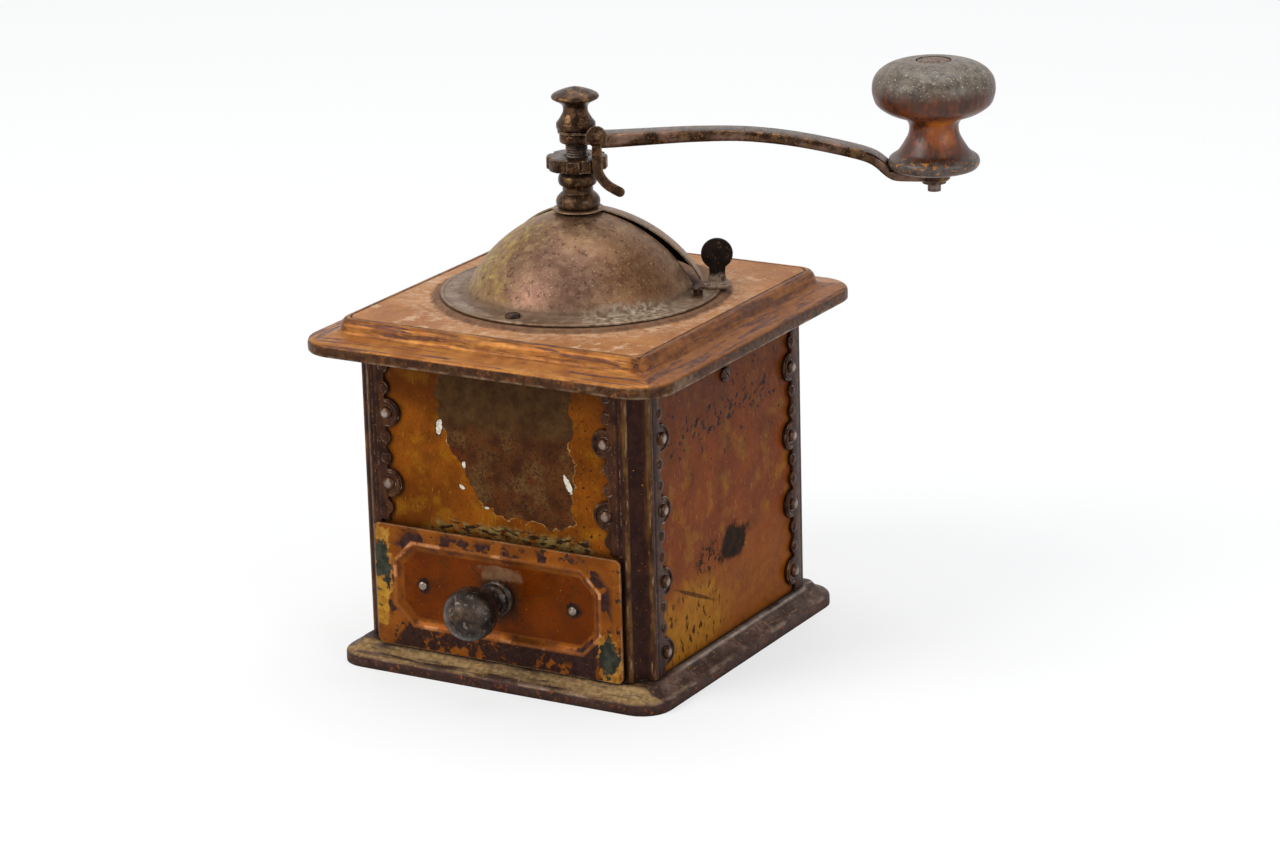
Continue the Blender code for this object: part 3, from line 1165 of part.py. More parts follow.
def make_pawl():
    """Ring with its tongue, held under the finial, and the finger that springs off the nut."""
    ring = turned_ring([(STUD_RADIUS + GAP, PAWL_RING_LOW_Z), (PAWL_RING_RADIUS, PAWL_RING_LOW_Z),
                        (PAWL_RING_RADIUS, PAWL_RING_TOP_Z), (STUD_RADIUS + GAP, PAWL_RING_TOP_Z)], 24)
    ring_piece = add_piece("pawl_ring", ring, IRON, (0, 0, PAWL_RING_LOW_Z))
    lap = GAP / 3
    end = Vector(pawl_place(PAWL_OFFSET, PAWL_FACE - GAP))
    heading = end.normalized()
    side = Vector((-heading.y, heading.x)) * PAWL_TONGUE_WIDTH / 2
    start = heading * (STUD_RADIUS + PAWL_RING_RADIUS) / 2
    edge = Vector(polar(UNIT, PAWL_AZIMUTH)) * PAWL_TONGUE_WIDTH / 2
    tongue = plate([start + side, start - side, end - edge, end + edge], PAWL_RING_LOW_Z + lap, PAWL_RING_TOP_Z - lap)
    fuse(ring_piece, tongue)
    hinge = (*pawl_place(PAWL_OFFSET, PAWL_FACE), PAWL_HINGE_Z)
    place = (*pawl_place(0, PAWL_FACE), PAWL_HINGE_Z)
    strip = stood_up(plate(finger_outline(), 0, PAWL_SHEET), PAWL_AZIMUTH, place)
    finger = add_piece("pawl_finger", strip, IRON, hinge)
    head = rod(PAWL_HEAD_RADIUS, lap, PAWL_SHEET - lap, (PAWL_OFFSET, 0), 20)
    fuse(finger, stood_up(head, PAWL_AZIMUTH, place))


# Finial nut: turned iron, holds crank and pawl down
FINIAL_RING_RADIUS = 0.0065
FINIAL_RING_HEIGHT = 0.0024
FINIAL_WAIST_RADIUS = 0.0041
FINIAL_RIM_RADIUS = 0.0080
FINIAL_HEIGHT = 0.0142
FINIAL_RIM_RISE = 0.0108
FINIAL_WALL = 0.0008
FINIAL_WAIST_SHARES = ((0.95, 0.06), (0.55, 0.24), (0.08, 0.4), (0.0, 0.5), (0.1, 0.66))
FINIAL_RIM_SHARES = ((0.42, 0.82), (0.86, 0.93))


def make_finial_nut():
    low = FINIAL_LOW_Z
    ring_top = low + FINIAL_RING_HEIGHT
    rim_z = low + FINIAL_RIM_RISE
    apex = low + FINIAL_HEIGHT
    bore = STUD_RADIUS + GAP
    bore_top = low + STUD_RISE + GAP
    climb = FINIAL_RIM_RISE - FINIAL_RING_HEIGHT
    profile = [(0, bore_top), (bore, bore_top), (bore, low), (FINIAL_RING_RADIUS, low), (FINIAL_RING_RADIUS, ring_top)]
    for spread, up in FINIAL_WAIST_SHARES:
        profile.append((FINIAL_WAIST_RADIUS + (FINIAL_RING_RADIUS - FINIAL_WAIST_RADIUS) * spread, ring_top + climb * up))
    for spread, up in FINIAL_RIM_SHARES:
        profile.append((FINIAL_WAIST_RADIUS + (FINIAL_RIM_RADIUS - FINIAL_WAIST_RADIUS) * spread, ring_top + climb * up))
    profile += [(FINIAL_RIM_RADIUS, rim_z), (FINIAL_RIM_RADIUS * 7 / 8, rim_z + (apex - rim_z) / 3),
                (FINIAL_RIM_RADIUS / 4, apex - (apex - rim_z) / 9), (0, apex)]
    add_piece("finial_nut", turned(profile, 20), IRON, (0, 0, FINIAL_LOW_Z))


# Knob: turned wood on a steel pin, with a plug over the pin's head
KNOB_HEIGHT = 0.0364
KNOB_RADIUS = 0.0202
KNOB_FOOT_RADIUS = 0.0150
KNOB_NECK_RADIUS = 0.0081
PLUG_RADIUS = 0.0055
PLUG_HEIGHT = 0.0028
PIN_HEAD_RADIUS = 0.0042
PIN_HEAD = 0.0020
PIN_TAIL = 0.0038
PIN_WASHER_RADIUS = 0.0040
PIN_WASHER = 0.0008
KNOB_FOOT_SHARES = ((0.86, 0.0), (0.96, 0.02), (1.0, 0.068), (0.95, 0.12), (0.8, 0.145), (0.765, 0.175), (0.69, 0.23))
KNOB_NECK_SHARES = ((1.05, 0.3), (1.0, 0.34), (1.0, 0.41), (1.12, 0.46))
KNOB_CAP_SHARES = (
    (0.56, 0.493), (0.77, 0.534), (0.94, 0.61), (0.99, 0.68), (1.0, 0.745), (0.97, 0.83), (0.88, 0.9), (0.72, 0.955),
    (0.5, 0.988),
)
KNOB_LOW_Z = ARM_END_TOP_Z + GAP
KNOB_TOP_Z = KNOB_LOW_Z + KNOB_HEIGHT


def move_to_knob(shape):
    bmesh.ops.translate(shape, verts=shape.verts, vec=(*polar(CRANK_RADIUS, CRANK_AZIMUTH), 0))
    return shape


def make_knob():
    centre = polar(CRANK_RADIUS, CRANK_AZIMUTH)
    bore = PIN_RADIUS + GAP
    pocket = PLUG_RADIUS + GAP
    plug_low = KNOB_TOP_Z - PLUG_HEIGHT
    pocket_z = plug_low - PIN_HEAD - 2 * GAP
    profile = [(bore, KNOB_LOW_Z)]
    profile += [(KNOB_FOOT_RADIUS * across, KNOB_LOW_Z + KNOB_HEIGHT * up) for across, up in KNOB_FOOT_SHARES]
    profile += [(KNOB_NECK_RADIUS * across, KNOB_LOW_Z + KNOB_HEIGHT * up) for across, up in KNOB_NECK_SHARES]
    profile += [(KNOB_RADIUS * across, KNOB_LOW_Z + KNOB_HEIGHT * up) for across, up in KNOB_CAP_SHARES]
    profile += [(pocket, KNOB_TOP_Z), (pocket, pocket_z), (bore, pocket_z)]
    origin = (*centre, KNOB_LOW_Z)
    add_piece("knob", move_to_knob(turned_ring(profile, 24)), DARK_WOOD, origin)
    plug = [(0, plug_low), (PLUG_RADIUS, plug_low), (PLUG_RADIUS, KNOB_TOP_Z - GAP),
            (PLUG_RADIUS * 2 / 3, KNOB_TOP_Z), (0, KNOB_TOP_Z)]
    add_piece("knob_plug", move_to_knob(turned(plug, 20)), DARK_WOOD, origin)
    head_low = pocket_z + GAP
    tail = ARM_END_LOW_Z - PIN_TAIL
    pin = [(0, tail), (PIN_RADIUS, tail), (PIN_RADIUS, head_low), (PIN_HEAD_RADIUS, head_low),
           (PIN_HEAD_RADIUS, head_low + PIN_HEAD), (0, head_low + PIN_HEAD)]
    add_piece("knob_pin", move_to_knob(turned(pin, 16)), IRON, origin)
    washer_top = ARM_END_LOW_Z - GAP
    washer = [(bore, washer_top - PIN_WASHER), (PIN_WASHER_RADIUS, washer_top - PIN_WASHER),
              (PIN_WASHER_RADIUS, washer_top), (bore, washer_top)]
    add_piece("pin_washer", move_to_knob(turned_ring(washer, 20)), IRON, origin)


# Drawer: a folded tray, a pressed front with a sunk field, and a ball knob
TRAY_SHEET = 0.0008
TRAY_SIDE_CLEARANCE = 0.0004
TRAY_BACK_CLEARANCE = 0.0008
FRONT_SHEET = 0.0010
FRONT_SIDE_CLEARANCE = 0.0003
FRONT_CORNER_RADIUS = 0.0020
FIELD_SIDE_MARGIN = 0.0078
FIELD_END_MARGIN = 0.0067
FIELD_CUT_X = 0.0072
FIELD_CUT_Z = 0.0068
FIELD_SLOPE = 0.0026
FIELD_DEPTH = 0.0009
FIELD_LIFT = 0.0013
FRONT_RIVET_INSET = 0.0106
RIVET_RADIUS = 0.0010
RIVET_HEAD_RADIUS = 0.0019
RIVET_HEAD = 0.0010
BALL_RADIUS = 0.0090
BALL_REACH = 0.0168
COLLAR_RADIUS = 0.0060
COLLAR_LENGTH = 0.0050
BALL_SCREW_RADIUS = 0.0015
BALL_SCREW_DEPTH = 0.0090
BALL_SCREW_HEAD_RADIUS = 0.0030
BALL_SCREW_HEAD = 0.0014

FRONT_HALF_X = HALF_X - CORNER_CHAMFER - FRONT_SIDE_CLEARANCE
FIELD_WIDTH = 2 * (FRONT_HALF_X - FIELD_SIDE_MARGIN)
FIELD_HEIGHT = DRAWER_FRONT_HEIGHT - 2 * FIELD_END_MARGIN
FRONT_RIVET_X = FIELD_WIDTH / 2 - FRONT_RIVET_INSET
TRAY_HALF_X = HALF_X - CORNER_CHAMFER - STRIP_LEG - TRAY_SIDE_CLEARANCE
TRAY_BACK_Y = FRONT_INNER_Y - TRAY_BACK_CLEARANCE
TRAY_FRONT_Y = -HALF_Y
FRONT_BACK_Y = TRAY_FRONT_Y - GAP - FIELD_DEPTH
FIELD_Z = WALL_FOOT_Z + DRAWER_FRONT_HEIGHT / 2 + FIELD_LIFT
FRONT_FACE_OUT_Y = FRONT_BACK_Y - FRONT_SHEET
SUNK_FACE_Y = FRONT_FACE_OUT_Y + FIELD_DEPTH


def facing_front(shape, out_y, height):
    """Lays a shape drawn about +Z so that its +Z points to -Y, from a given face and height."""
    turn = Matrix.Rotation(math.radians(90), 4, "X")
    bmesh.ops.transform(shape, matrix=Matrix.Translation((0, out_y, height)) @ turn, verts=shape.verts)
    return shape


def drawer_holes(low, high):
    """Cutters for the two rivets and the knob's screw, between two distances out of the tray's front."""
    holes = [rod(RIVET_RADIUS + GAP, low, high, (sign * FRONT_RIVET_X, 0), 10) for sign in (UNIT, -UNIT)]
    holes.append(rod(BALL_SCREW_RADIUS + GAP, low, high, segments=12))
    return facing_front(merged(*holes), TRAY_FRONT_Y, FIELD_Z)


def make_drawer_tray():
    low = (-TRAY_HALF_X, TRAY_FRONT_Y, WALL_FOOT_Z)
    tray = add_piece("drawer_tray", block(low, (TRAY_HALF_X, TRAY_BACK_Y, TRAY_TOP_Z)), SHEET_BROWN,
                     (0, TRAY_FRONT_Y, WALL_FOOT_Z))
    hollow = block((-TRAY_HALF_X + TRAY_SHEET, TRAY_FRONT_Y + TRAY_SHEET, WALL_FOOT_Z + TRAY_SHEET),
                   (TRAY_HALF_X - TRAY_SHEET, TRAY_BACK_Y - TRAY_SHEET, TRAY_TOP_Z + CUT_OVERRUN))
    cut(tray, hollow)
    cut(tray, drawer_holes(-TRAY_SHEET - CUT_OVERRUN, CUT_OVERRUN))


def eight_sided(half_x, half_z, cut_x, cut_z):
    """An octagon: a rectangle with its corners cut off."""
    return [
        (half_x, half_z - cut_z), (half_x - cut_x, half_z), (-half_x + cut_x, half_z), (-half_x, half_z - cut_z),
        (-half_x, -half_z + cut_z), (-half_x + cut_x, -half_z), (half_x - cut_x, -half_z), (half_x, -half_z + cut_z),
    ]


def make_drawer_front():
    """Sheet with rounded corners and a sunk octagonal field, drawn flat and stood up."""
    half_x = FRONT_HALF_X
    half_z = DRAWER_FRONT_HEIGHT / 2
    corner = FRONT_CORNER_RADIUS
    shift = FIELD_LIFT
    rim = eight_sided(half_x, half_z, corner, corner)
    outer_field = eight_sided(FIELD_WIDTH / 2, FIELD_HEIGHT / 2, FIELD_CUT_X, FIELD_CUT_Z)
    slope_x = FIELD_WIDTH / 2 - FIELD_SLOPE
    slope_z = FIELD_HEIGHT / 2 - FIELD_SLOPE
    inner_field = eight_sided(slope_x, slope_z, FIELD_CUT_X, FIELD_CUT_Z)
    face = FRONT_SHEET
    rings = [
        [(x, z, face - FIELD_DEPTH) for x, z in inner_field],
        [(x, z, face) for x, z in outer_field],
        [(x, z - shift, face) for x, z in rim],
        [(x, z - shift, 0) for x, z in rim],
        [(x, z, 0) for x, z in outer_field],
        [(x, z, -FIELD_DEPTH) for x, z in inner_field],
    ]
    sheet = facing_front(loft(rings), FRONT_BACK_Y, FIELD_Z)
    front = add_piece("drawer_front", sheet, OCHRE_PAINT, (0, FRONT_BACK_Y, FIELD_Z))
    cut(front, drawer_holes(-CUT_OVERRUN, FIELD_DEPTH + FRONT_SHEET + CUT_OVERRUN))


def make_drawer_fixings():
    """Two rivets that hold front and tray together, the ball knob and the screw inside it."""
    inside_z = -TRAY_SHEET - GAP
    outside_z = TRAY_FRONT_Y - SUNK_FACE_Y + GAP
    rivet_profile = [
        (0, inside_z - RIVET_HEAD), (RIVET_HEAD_RADIUS, inside_z - RIVET_HEAD / 2), (RIVET_HEAD_RADIUS, inside_z),
        (RIVET_RADIUS, inside_z), (RIVET_RADIUS, outside_z), (RIVET_HEAD_RADIUS, outside_z),
        (RIVET_HEAD_RADIUS * 4 / 5, outside_z + RIVET_HEAD / 2), (0, outside_z + RIVET_HEAD),
    ]
    for name, sign in (("right", UNIT), ("left", -UNIT)):
        rivet = facing_front(turned(rivet_profile, 10), TRAY_FRONT_Y, FIELD_Z)
        bmesh.ops.translate(rivet, verts=rivet.verts, vec=(sign * FRONT_RIVET_X, 0, 0))
        add_piece(f"drawer_rivet_{name}", rivet, IRON, (0, TRAY_FRONT_Y, FIELD_Z))
    ball_z = outside_z + BALL_REACH
    bore = BALL_SCREW_RADIUS + GAP
    touch = math.asin(COLLAR_RADIUS * 2 / 3 / BALL_RADIUS)
    profile = [(0, outside_z + BALL_SCREW_DEPTH + GAP), (bore, outside_z + BALL_SCREW_DEPTH + GAP), (bore, outside_z),
               (COLLAR_RADIUS, outside_z), (COLLAR_RADIUS * 5 / 6, outside_z + COLLAR_LENGTH / 2),
               (COLLAR_RADIUS * 2 / 3, outside_z + COLLAR_LENGTH)]
    steps = 8
    for step in range(1, steps + 1):
        angle = touch + (math.pi - touch) * step / steps
        profile.append((BALL_RADIUS * math.sin(angle) if step < steps else 0, ball_z - BALL_RADIUS * math.cos(angle)))
    add_piece("drawer_knob", facing_front(turned(profile, 20), TRAY_FRONT_Y, FIELD_Z), IRON, (0, TRAY_FRONT_Y, FIELD_Z))
    screw_profile = [
        (0, inside_z - BALL_SCREW_HEAD), (BALL_SCREW_HEAD_RADIUS, inside_z - BALL_SCREW_HEAD),
        (BALL_SCREW_HEAD_RADIUS, inside_z), (BALL_SCREW_RADIUS, inside_z),
        (BALL_SCREW_RADIUS, outside_z + BALL_SCREW_DEPTH), (0, outside_z + BALL_SCREW_DEPTH),
    ]
    add_piece("drawer_knob_screw", facing_front(turned(screw_profile, 12), TRAY_FRONT_Y, FIELD_Z), IRON,
              (0, TRAY_FRONT_Y, FIELD_Z))


clear_scene()
make_base_plinth()
make_bottom_plate()
make_corner_strips()
make_panels()
make_side_fixings()
make_lid()
make_dome_shell()
make_hopper_bowl()
make_dome_fixings()
make_neck_bearing()
make_upper_bridge()
make_door()
make_door_thumb()
make_burr_ring()
make_burr_bridge()
make_bridge_screws()
make_inner_burr()
make_burr_nut()
make_spring_washer()
make_thrust_spring()
make_spindle()
make_adjusting_nut()
make_crank_arm()
make_pawl()
make_finial_nut()
make_knob()
make_drawer_tray()
make_drawer_front()
make_drawer_fixings()
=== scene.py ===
import math

import bmesh
import bpy
from mathutils import Matrix, Vector


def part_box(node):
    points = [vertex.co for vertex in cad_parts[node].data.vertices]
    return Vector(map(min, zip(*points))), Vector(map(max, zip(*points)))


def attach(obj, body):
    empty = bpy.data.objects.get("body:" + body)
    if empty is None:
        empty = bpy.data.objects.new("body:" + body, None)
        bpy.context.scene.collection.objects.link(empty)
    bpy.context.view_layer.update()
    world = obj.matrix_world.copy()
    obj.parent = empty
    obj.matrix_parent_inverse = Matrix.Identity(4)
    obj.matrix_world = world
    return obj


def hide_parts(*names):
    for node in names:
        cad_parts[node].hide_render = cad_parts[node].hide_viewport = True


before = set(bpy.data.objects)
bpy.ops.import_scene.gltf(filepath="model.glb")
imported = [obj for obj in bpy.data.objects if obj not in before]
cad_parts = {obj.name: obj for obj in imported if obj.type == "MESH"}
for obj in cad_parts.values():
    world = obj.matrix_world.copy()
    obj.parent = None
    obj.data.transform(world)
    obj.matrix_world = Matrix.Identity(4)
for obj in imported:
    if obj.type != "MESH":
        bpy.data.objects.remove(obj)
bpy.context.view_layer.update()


# Studio
# A pale floor under soft lamps, with the long-lens camera that looks down on the mill's front right corner.
# The background is white to the camera and to reflections, while the floor keeps the mill's shadow.
VIEW_AZIMUTH = 0.526962
VIEW_HEIGHT = 0.301681
VIEW_ROLL = -0.02763
VIEW_DISTANCE = 1.442576
VIEW_TARGET = Vector((0.01595, 0.009277, 0.072298))
LENS = 120.06


def stand_camera():
    """Puts the camera where the photograph was taken from."""
    towards = Vector((math.sin(VIEW_AZIMUTH) * math.cos(VIEW_HEIGHT),
                      -math.cos(VIEW_AZIMUTH) * math.cos(VIEW_HEIGHT), math.sin(VIEW_HEIGHT)))
    level = (-towards).cross(Vector((0, 0, 1))).normalized()
    rise = level.cross(-towards)
    right = level * math.cos(VIEW_ROLL) + rise * math.sin(VIEW_ROLL)
    up = rise * math.cos(VIEW_ROLL) - level * math.sin(VIEW_ROLL)
    camera = bpy.data.objects.new("camera", bpy.data.cameras.new("camera"))
    camera.data.lens = LENS
    camera.data.clip_start = 0.05
    turned_to = Matrix((right, up, towards)).transposed().to_4x4()
    camera.matrix_world = Matrix.Translation(VIEW_TARGET + towards * VIEW_DISTANCE) @ turned_to
    bpy.context.scene.collection.objects.link(camera)
    bpy.context.scene.camera = camera


def hang_lamp(name, place, aim, size, power, colour=(1, 1, 1)):
    """A square soft box at a place, turned to what it lights."""
    lamp = bpy.data.lights.new(name, "AREA")
    lamp.size = size
    lamp.energy = power
    lamp.color = colour
    holder = bpy.data.objects.new(name, lamp)
    bpy.context.scene.collection.objects.link(holder)
    holder.location = place
    holder.rotation_euler = (Vector(aim) - Vector(place)).to_track_quat("-Z", "Y").to_euler()


def seen_directly(nodes, links):
    """1 for the camera's own rays, for reflections and through glass."""
    rays = nodes.new("ShaderNodeLightPath")
    both = nodes.new("ShaderNodeMath")
    both.operation = "MAXIMUM"
    links.new(rays.outputs["Is Camera Ray"], both.inputs[0])
    links.new(rays.outputs["Is Glossy Ray"], both.inputs[1])
    every = nodes.new("ShaderNodeMath")
    every.operation = "MAXIMUM"
    links.new(both.outputs[0], every.inputs[0])
    links.new(rays.outputs["Is Transmission Ray"], every.inputs[1])
    return every.outputs[0]


def paint_backdrop():
    """The world: a mild grey light for the mill, white where it is looked at."""
    world = bpy.data.worlds.new("studio")
    bpy.context.scene.world = world
    world.use_nodes = True
    nodes = world.node_tree.nodes
    links = world.node_tree.links
    light = nodes["Background"]
    light.inputs["Color"].default_value = (0.9, 0.95, 1.0, 1)
    light.inputs["Strength"].default_value = 0.42
    white = nodes.new("ShaderNodeBackground")
    white.inputs["Color"].default_value = (1, 1, 1, 1)
    choice = nodes.new("ShaderNodeMixShader")
    links.new(seen_directly(nodes, links), choice.inputs[0])
    links.new(light.outputs[0], choice.inputs[1])
    links.new(white.outputs[0], choice.inputs[2])
    links.new(choice.outputs[0], nodes["World Output"].inputs["Surface"])


def lay_floor():
    """A wide round sheet of pale paper."""
    sheet = bmesh.new()
    bmesh.ops.create_circle(sheet, cap_ends=True, segments=96, radius=6.0)
    mesh = bpy.data.meshes.new("floor")
    sheet.to_mesh(mesh)
    sheet.free()
    floor = bpy.data.objects.new("floor", mesh)
    bpy.context.scene.collection.objects.link(floor)
    paper = bpy.data.materials.new("floor_paper")
    paper.use_nodes = True
    nodes = paper.node_tree.nodes
    links = paper.node_tree.links
    nodes.remove(nodes["Principled BSDF"])
    matt = nodes.new("ShaderNodeBsdfDiffuse")
    matt.inputs["Color"].default_value = (0.86, 0.86, 0.86, 1)
    glow = nodes.new("ShaderNodeEmission")
    share = nodes.new("ShaderNodeMath")
    share.operation = "MULTIPLY"
    share.inputs[1].default_value = 0.62
    links.new(seen_directly(nodes, links), share.inputs[0])
    choice = nodes.new("ShaderNodeMixShader")
    links.new(share.outputs[0], choice.inputs[0])
    links.new(matt.outputs[0], choice.inputs[1])
    links.new(glow.outputs[0], choice.inputs[2])
    links.new(choice.outputs[0], nodes["Material Output"].inputs["Surface"])
    mesh.materials.append(paper)


bpy.context.scene.view_settings.view_transform = "Standard"
stand_camera()
paint_backdrop()
lay_floor()
hang_lamp("window_left", (-1.1, -1.5, 1.5), (0, 0, 0.08), 1.3, 34, (1.0, 0.98, 0.95))
hang_lamp("window_right", (1.9, -0.5, 0.9), (0, 0, 0.08), 1.2, 15, (0.96, 0.98, 1.0))
hang_lamp("skylight", (-0.1, 0.5, 1.9), (0, 0, 0.1), 1.4, 20)


# Base plinth
# One pressed steel sheet: a low upright rim, a sloping ledge that dips a little, and a round fold up to the walls.
# Its flat top is the floor of the body. Bare and brown with rust, dusty on the ledge before the drawer.
HALF_X = 0.055
HALF_Y = 0.058
PLINTH_CORNER = 0.0029
PLINTH_FOLDS = ((0.0, 0.0068), (0.0008, 0.0061), (0.0026, 0.0043), (0.0053, 0.0032), (0.0061, 0.0024),
                (0.0061, 0.00003),
                (0.0071, 0.0), (0.0071, 0.0029), (0.00695, 0.0035), (0.0063, 0.0042), (0.0051, 0.0047), (0.0038, 0.00515),
                (0.0027, 0.0059), (0.0018, 0.0069), (0.0011, 0.0077), (0.0007, 0.0078))


def rounded_ring(shape, half_x, half_y, corner, height, steps=6):
    """Edges of a level rectangle with round corners, left open."""
    before = set(shape.verts)
    corners = bmesh.ops.create_grid(shape, x_segments=1, y_segments=1, size=1)["verts"]
    bmesh.ops.scale(shape, verts=corners, vec=(half_x, half_y, 1))
    bmesh.ops.translate(shape, verts=corners, vec=(0, 0, height))
    bmesh.ops.bevel(shape, geom=corners, offset=corner, offset_type="OFFSET", affect="VERTICES", segments=steps,
                    profile=0.5, material=-1)
    face = next(vert for vert in shape.verts if vert not in before).link_faces[0]
    edges = list(face.edges)
    bmesh.ops.delete(shape, geom=[face], context="FACES_ONLY")
    return edges


def skinned(shape, rings, closed=False):
    """Sheet from ring to ring, and back to the first where the piece is closed on itself."""
    for lower, upper in zip(rings, rings[1:]):
        bmesh.ops.bridge_loops(shape, edges=lower + upper)
    if closed:
        bmesh.ops.bridge_loops(shape, edges=rings[-1] + rings[0])
    bmesh.ops.recalc_face_normals(shape, faces=shape.faces)
    return shape


def linear(code):
    """A painter's six-letter colour code as the shader's numbers."""
    parts = [int(code[place:place + 2], 16) / 255 for place in (0, 2, 4)]
    return (*[part / 12.92 if part <= 0.04045 else ((part + 0.055) / 1.055) ** 2.4 for part in parts], 1)


class Coat:
    """A finish laid on in layers, each with two mottled colours, its own roughness, metal and height."""

    def __init__(self, name, dark, light, roughness=0.6, metallic=0.0, mottle=5.0, low=0.35, high=0.65,
                 gloss=1.22):
        self.material = bpy.data.materials.new(name)
        self.material.use_nodes = True
        self.nodes = self.material.node_tree.nodes
        self.links = self.material.node_tree.links
        self.shader = self.nodes["Principled BSDF"]
        self.shader.inputs["IOR"].default_value = gloss
        self.place = self.nodes.new("ShaderNodeTexCoord").outputs["Object"]
        self.count = 0
        self.colour = self.two_tones(dark, light, mottle, low, high)
        self.roughness = roughness
        self.metallic = metallic
        self.height = 0.0

    def give(self, socket, value):
        """Sets a socket, or links it where the value is another socket."""
        if hasattr(value, "is_linked"):
            self.links.new(value, socket)
        else:
            socket.default_value = value

    def maths(self, operation, first, second=0.0, clamp=False):
        node = self.nodes.new("ShaderNodeMath")
        node.operation = operation
        node.use_clamp = clamp
        self.give(node.inputs[0], first)
        self.give(node.inputs[1], second)
        return node.outputs[0]

    def ramp(self, value, low, high, start=0.0, end=1.0):
        """Runs smoothly from start to end while the value goes from low to high."""
        node = self.nodes.new("ShaderNodeMapRange")
        node.interpolation_type = "SMOOTHSTEP"
        for socket, number in zip(node.inputs, (value, low, high, start, end)):
            self.give(socket, number)
        return node.outputs[0]

    def noise(self, size, stretch=(1, 1, 1), turn=(0, 0, 0), detail=5.0, rough=0.55, wander=0.0):
        """Cloudy pattern with blots about size millimetres wide, never the same twice on one piece."""
        self.count += 1
        mapping = self.nodes.new("ShaderNodeMapping")
        mapping.vector_type = "TEXTURE"
        mapping.inputs["Location"].default_value = (0.013 * self.count, -0.029 * self.count, 0.017 * self.count)
        mapping.inputs["Rotation"].default_value = turn
        mapping.inputs["Scale"].default_value = [size * 0.001 * part for part in stretch]
        self.links.new(self.place, mapping.inputs["Vector"])
        node = self.nodes.new("ShaderNodeTexNoise")
        node.inputs["Scale"].default_value = 1.0
        node.inputs["Detail"].default_value = detail
        node.inputs["Roughness"].default_value = rough
        node.inputs["Distortion"].default_value = wander
        self.links.new(mapping.outputs["Vector"], node.inputs["Vector"])
        return node.outputs["Fac"]

    def blots(self, size, low=0.52, high=0.6, **shape):
        """Mask of scattered blots."""
        return self.ramp(self.noise(size, **shape), low, high)

    def patch(self, centre, reach, ragged=0.5, size=5.0, soft=0.2, turn=(0, 0, 0)):
        """Mask of one ragged patch round a place, with its reach along each axis."""
        mapping = self.nodes.new("ShaderNodeMapping")
        mapping.vector_type = "TEXTURE"
        mapping.inputs["Location"].default_value = centre
        mapping.inputs["Rotation"].default_value = turn
        mapping.inputs["Scale"].default_value = reach
        self.links.new(self.place, mapping.inputs["Vector"])
        node = self.nodes.new("ShaderNodeVectorMath")
        node.operation = "LENGTH"
        self.links.new(mapping.outputs["Vector"], node.inputs[0])
        frayed = self.maths("MULTIPLY", self.maths("SUBTRACT", self.noise(size), 0.5), 4 * ragged)
        return self.ramp(self.maths("ADD", node.outputs["Value"], frayed), 1 - soft, 1 + soft, 1.0, 0.0)

    def beyond(self, axis, start, end, ragged=0.0, size=5.0):
        """Mask that grows along one axis from start to end, with a ragged front."""
        node = self.nodes.new("ShaderNodeSeparateXYZ")
        self.links.new(self.place, node.inputs[0])
        value = node.outputs[axis]
        if ragged:
            value = self.maths("ADD", value,
                               self.maths("MULTIPLY", self.maths("SUBTRACT", self.noise(size), 0.5), 4 * ragged))
        return self.ramp(value, start, end)

    def outside(self, corners, axes=(0, 2), ragged=3.0, size=6.0, detail=9.0):
        """Distance in millimetres out of a plot whose corners are given in millimetres, left turn after left turn."""
        split = self.nodes.new("ShaderNodeSeparateXYZ")
        self.links.new(self.place, split.inputs[0])
        far = -1000.0
        for start, end in zip(corners, corners[1:] + corners[:1]):
            along = (Vector(end) - Vector(start)).normalized()
            side = self.maths("ADD", self.maths("MULTIPLY", split.outputs[axes[0]], 1000 * along.y),
                              self.maths("MULTIPLY", split.outputs[axes[1]], -1000 * along.x))
            far = self.maths("MAXIMUM", far,
                             self.maths("SUBTRACT", side, along.y * start[0] - along.x * start[1]))
        return self.maths("ADD", far,
                          self.maths("MULTIPLY", self.maths("SUBTRACT", self.noise(size, detail=detail), 0.5),
                                     4 * ragged))

    def inside(self, distance, soft=0.3):
        return self.ramp(distance, soft, -soft)

    def rim_of(self, distance, width=0.3):
        """Thin line along the edge of a plot."""
        return self.both(self.ramp(distance, width, 0.0), self.ramp(distance, -width, 0.0))

    def outward(self):
        """The way a face looks, in the piece's own axes, so that it holds when the piece turns."""
        node = self.nodes.new("ShaderNodeVectorTransform")
        node.vector_type = "NORMAL"
        node.convert_from = "WORLD"
        node.convert_to = "OBJECT"
        self.links.new(self.nodes.new("ShaderNodeNewGeometry").outputs["True Normal"], node.inputs[0])
        return node.outputs[0]

    def facing(self, axis, low=0.6, high=0.9):
        """Mask of faces that look along an axis, such as upwards."""
        split = self.nodes.new("ShaderNodeSeparateXYZ")
        self.links.new(self.outward(), split.inputs[0])
        return self.ramp(split.outputs[axis], low, high)

    def inner_side(self, centre):
        """Mask of faces that look towards a point, such as the inside of a shell."""
        away = self.nodes.new("ShaderNodeVectorMath")
        away.operation = "SUBTRACT"
        self.links.new(self.place, away.inputs[0])
        away.inputs[1].default_value = centre
        node = self.nodes.new("ShaderNodeVectorMath")
        node.operation = "DOT_PRODUCT"
        self.links.new(away.outputs[0], node.inputs[0])
        self.links.new(self.outward(), node.inputs[1])
        return self.ramp(node.outputs["Value"], -0.0005, -0.004)

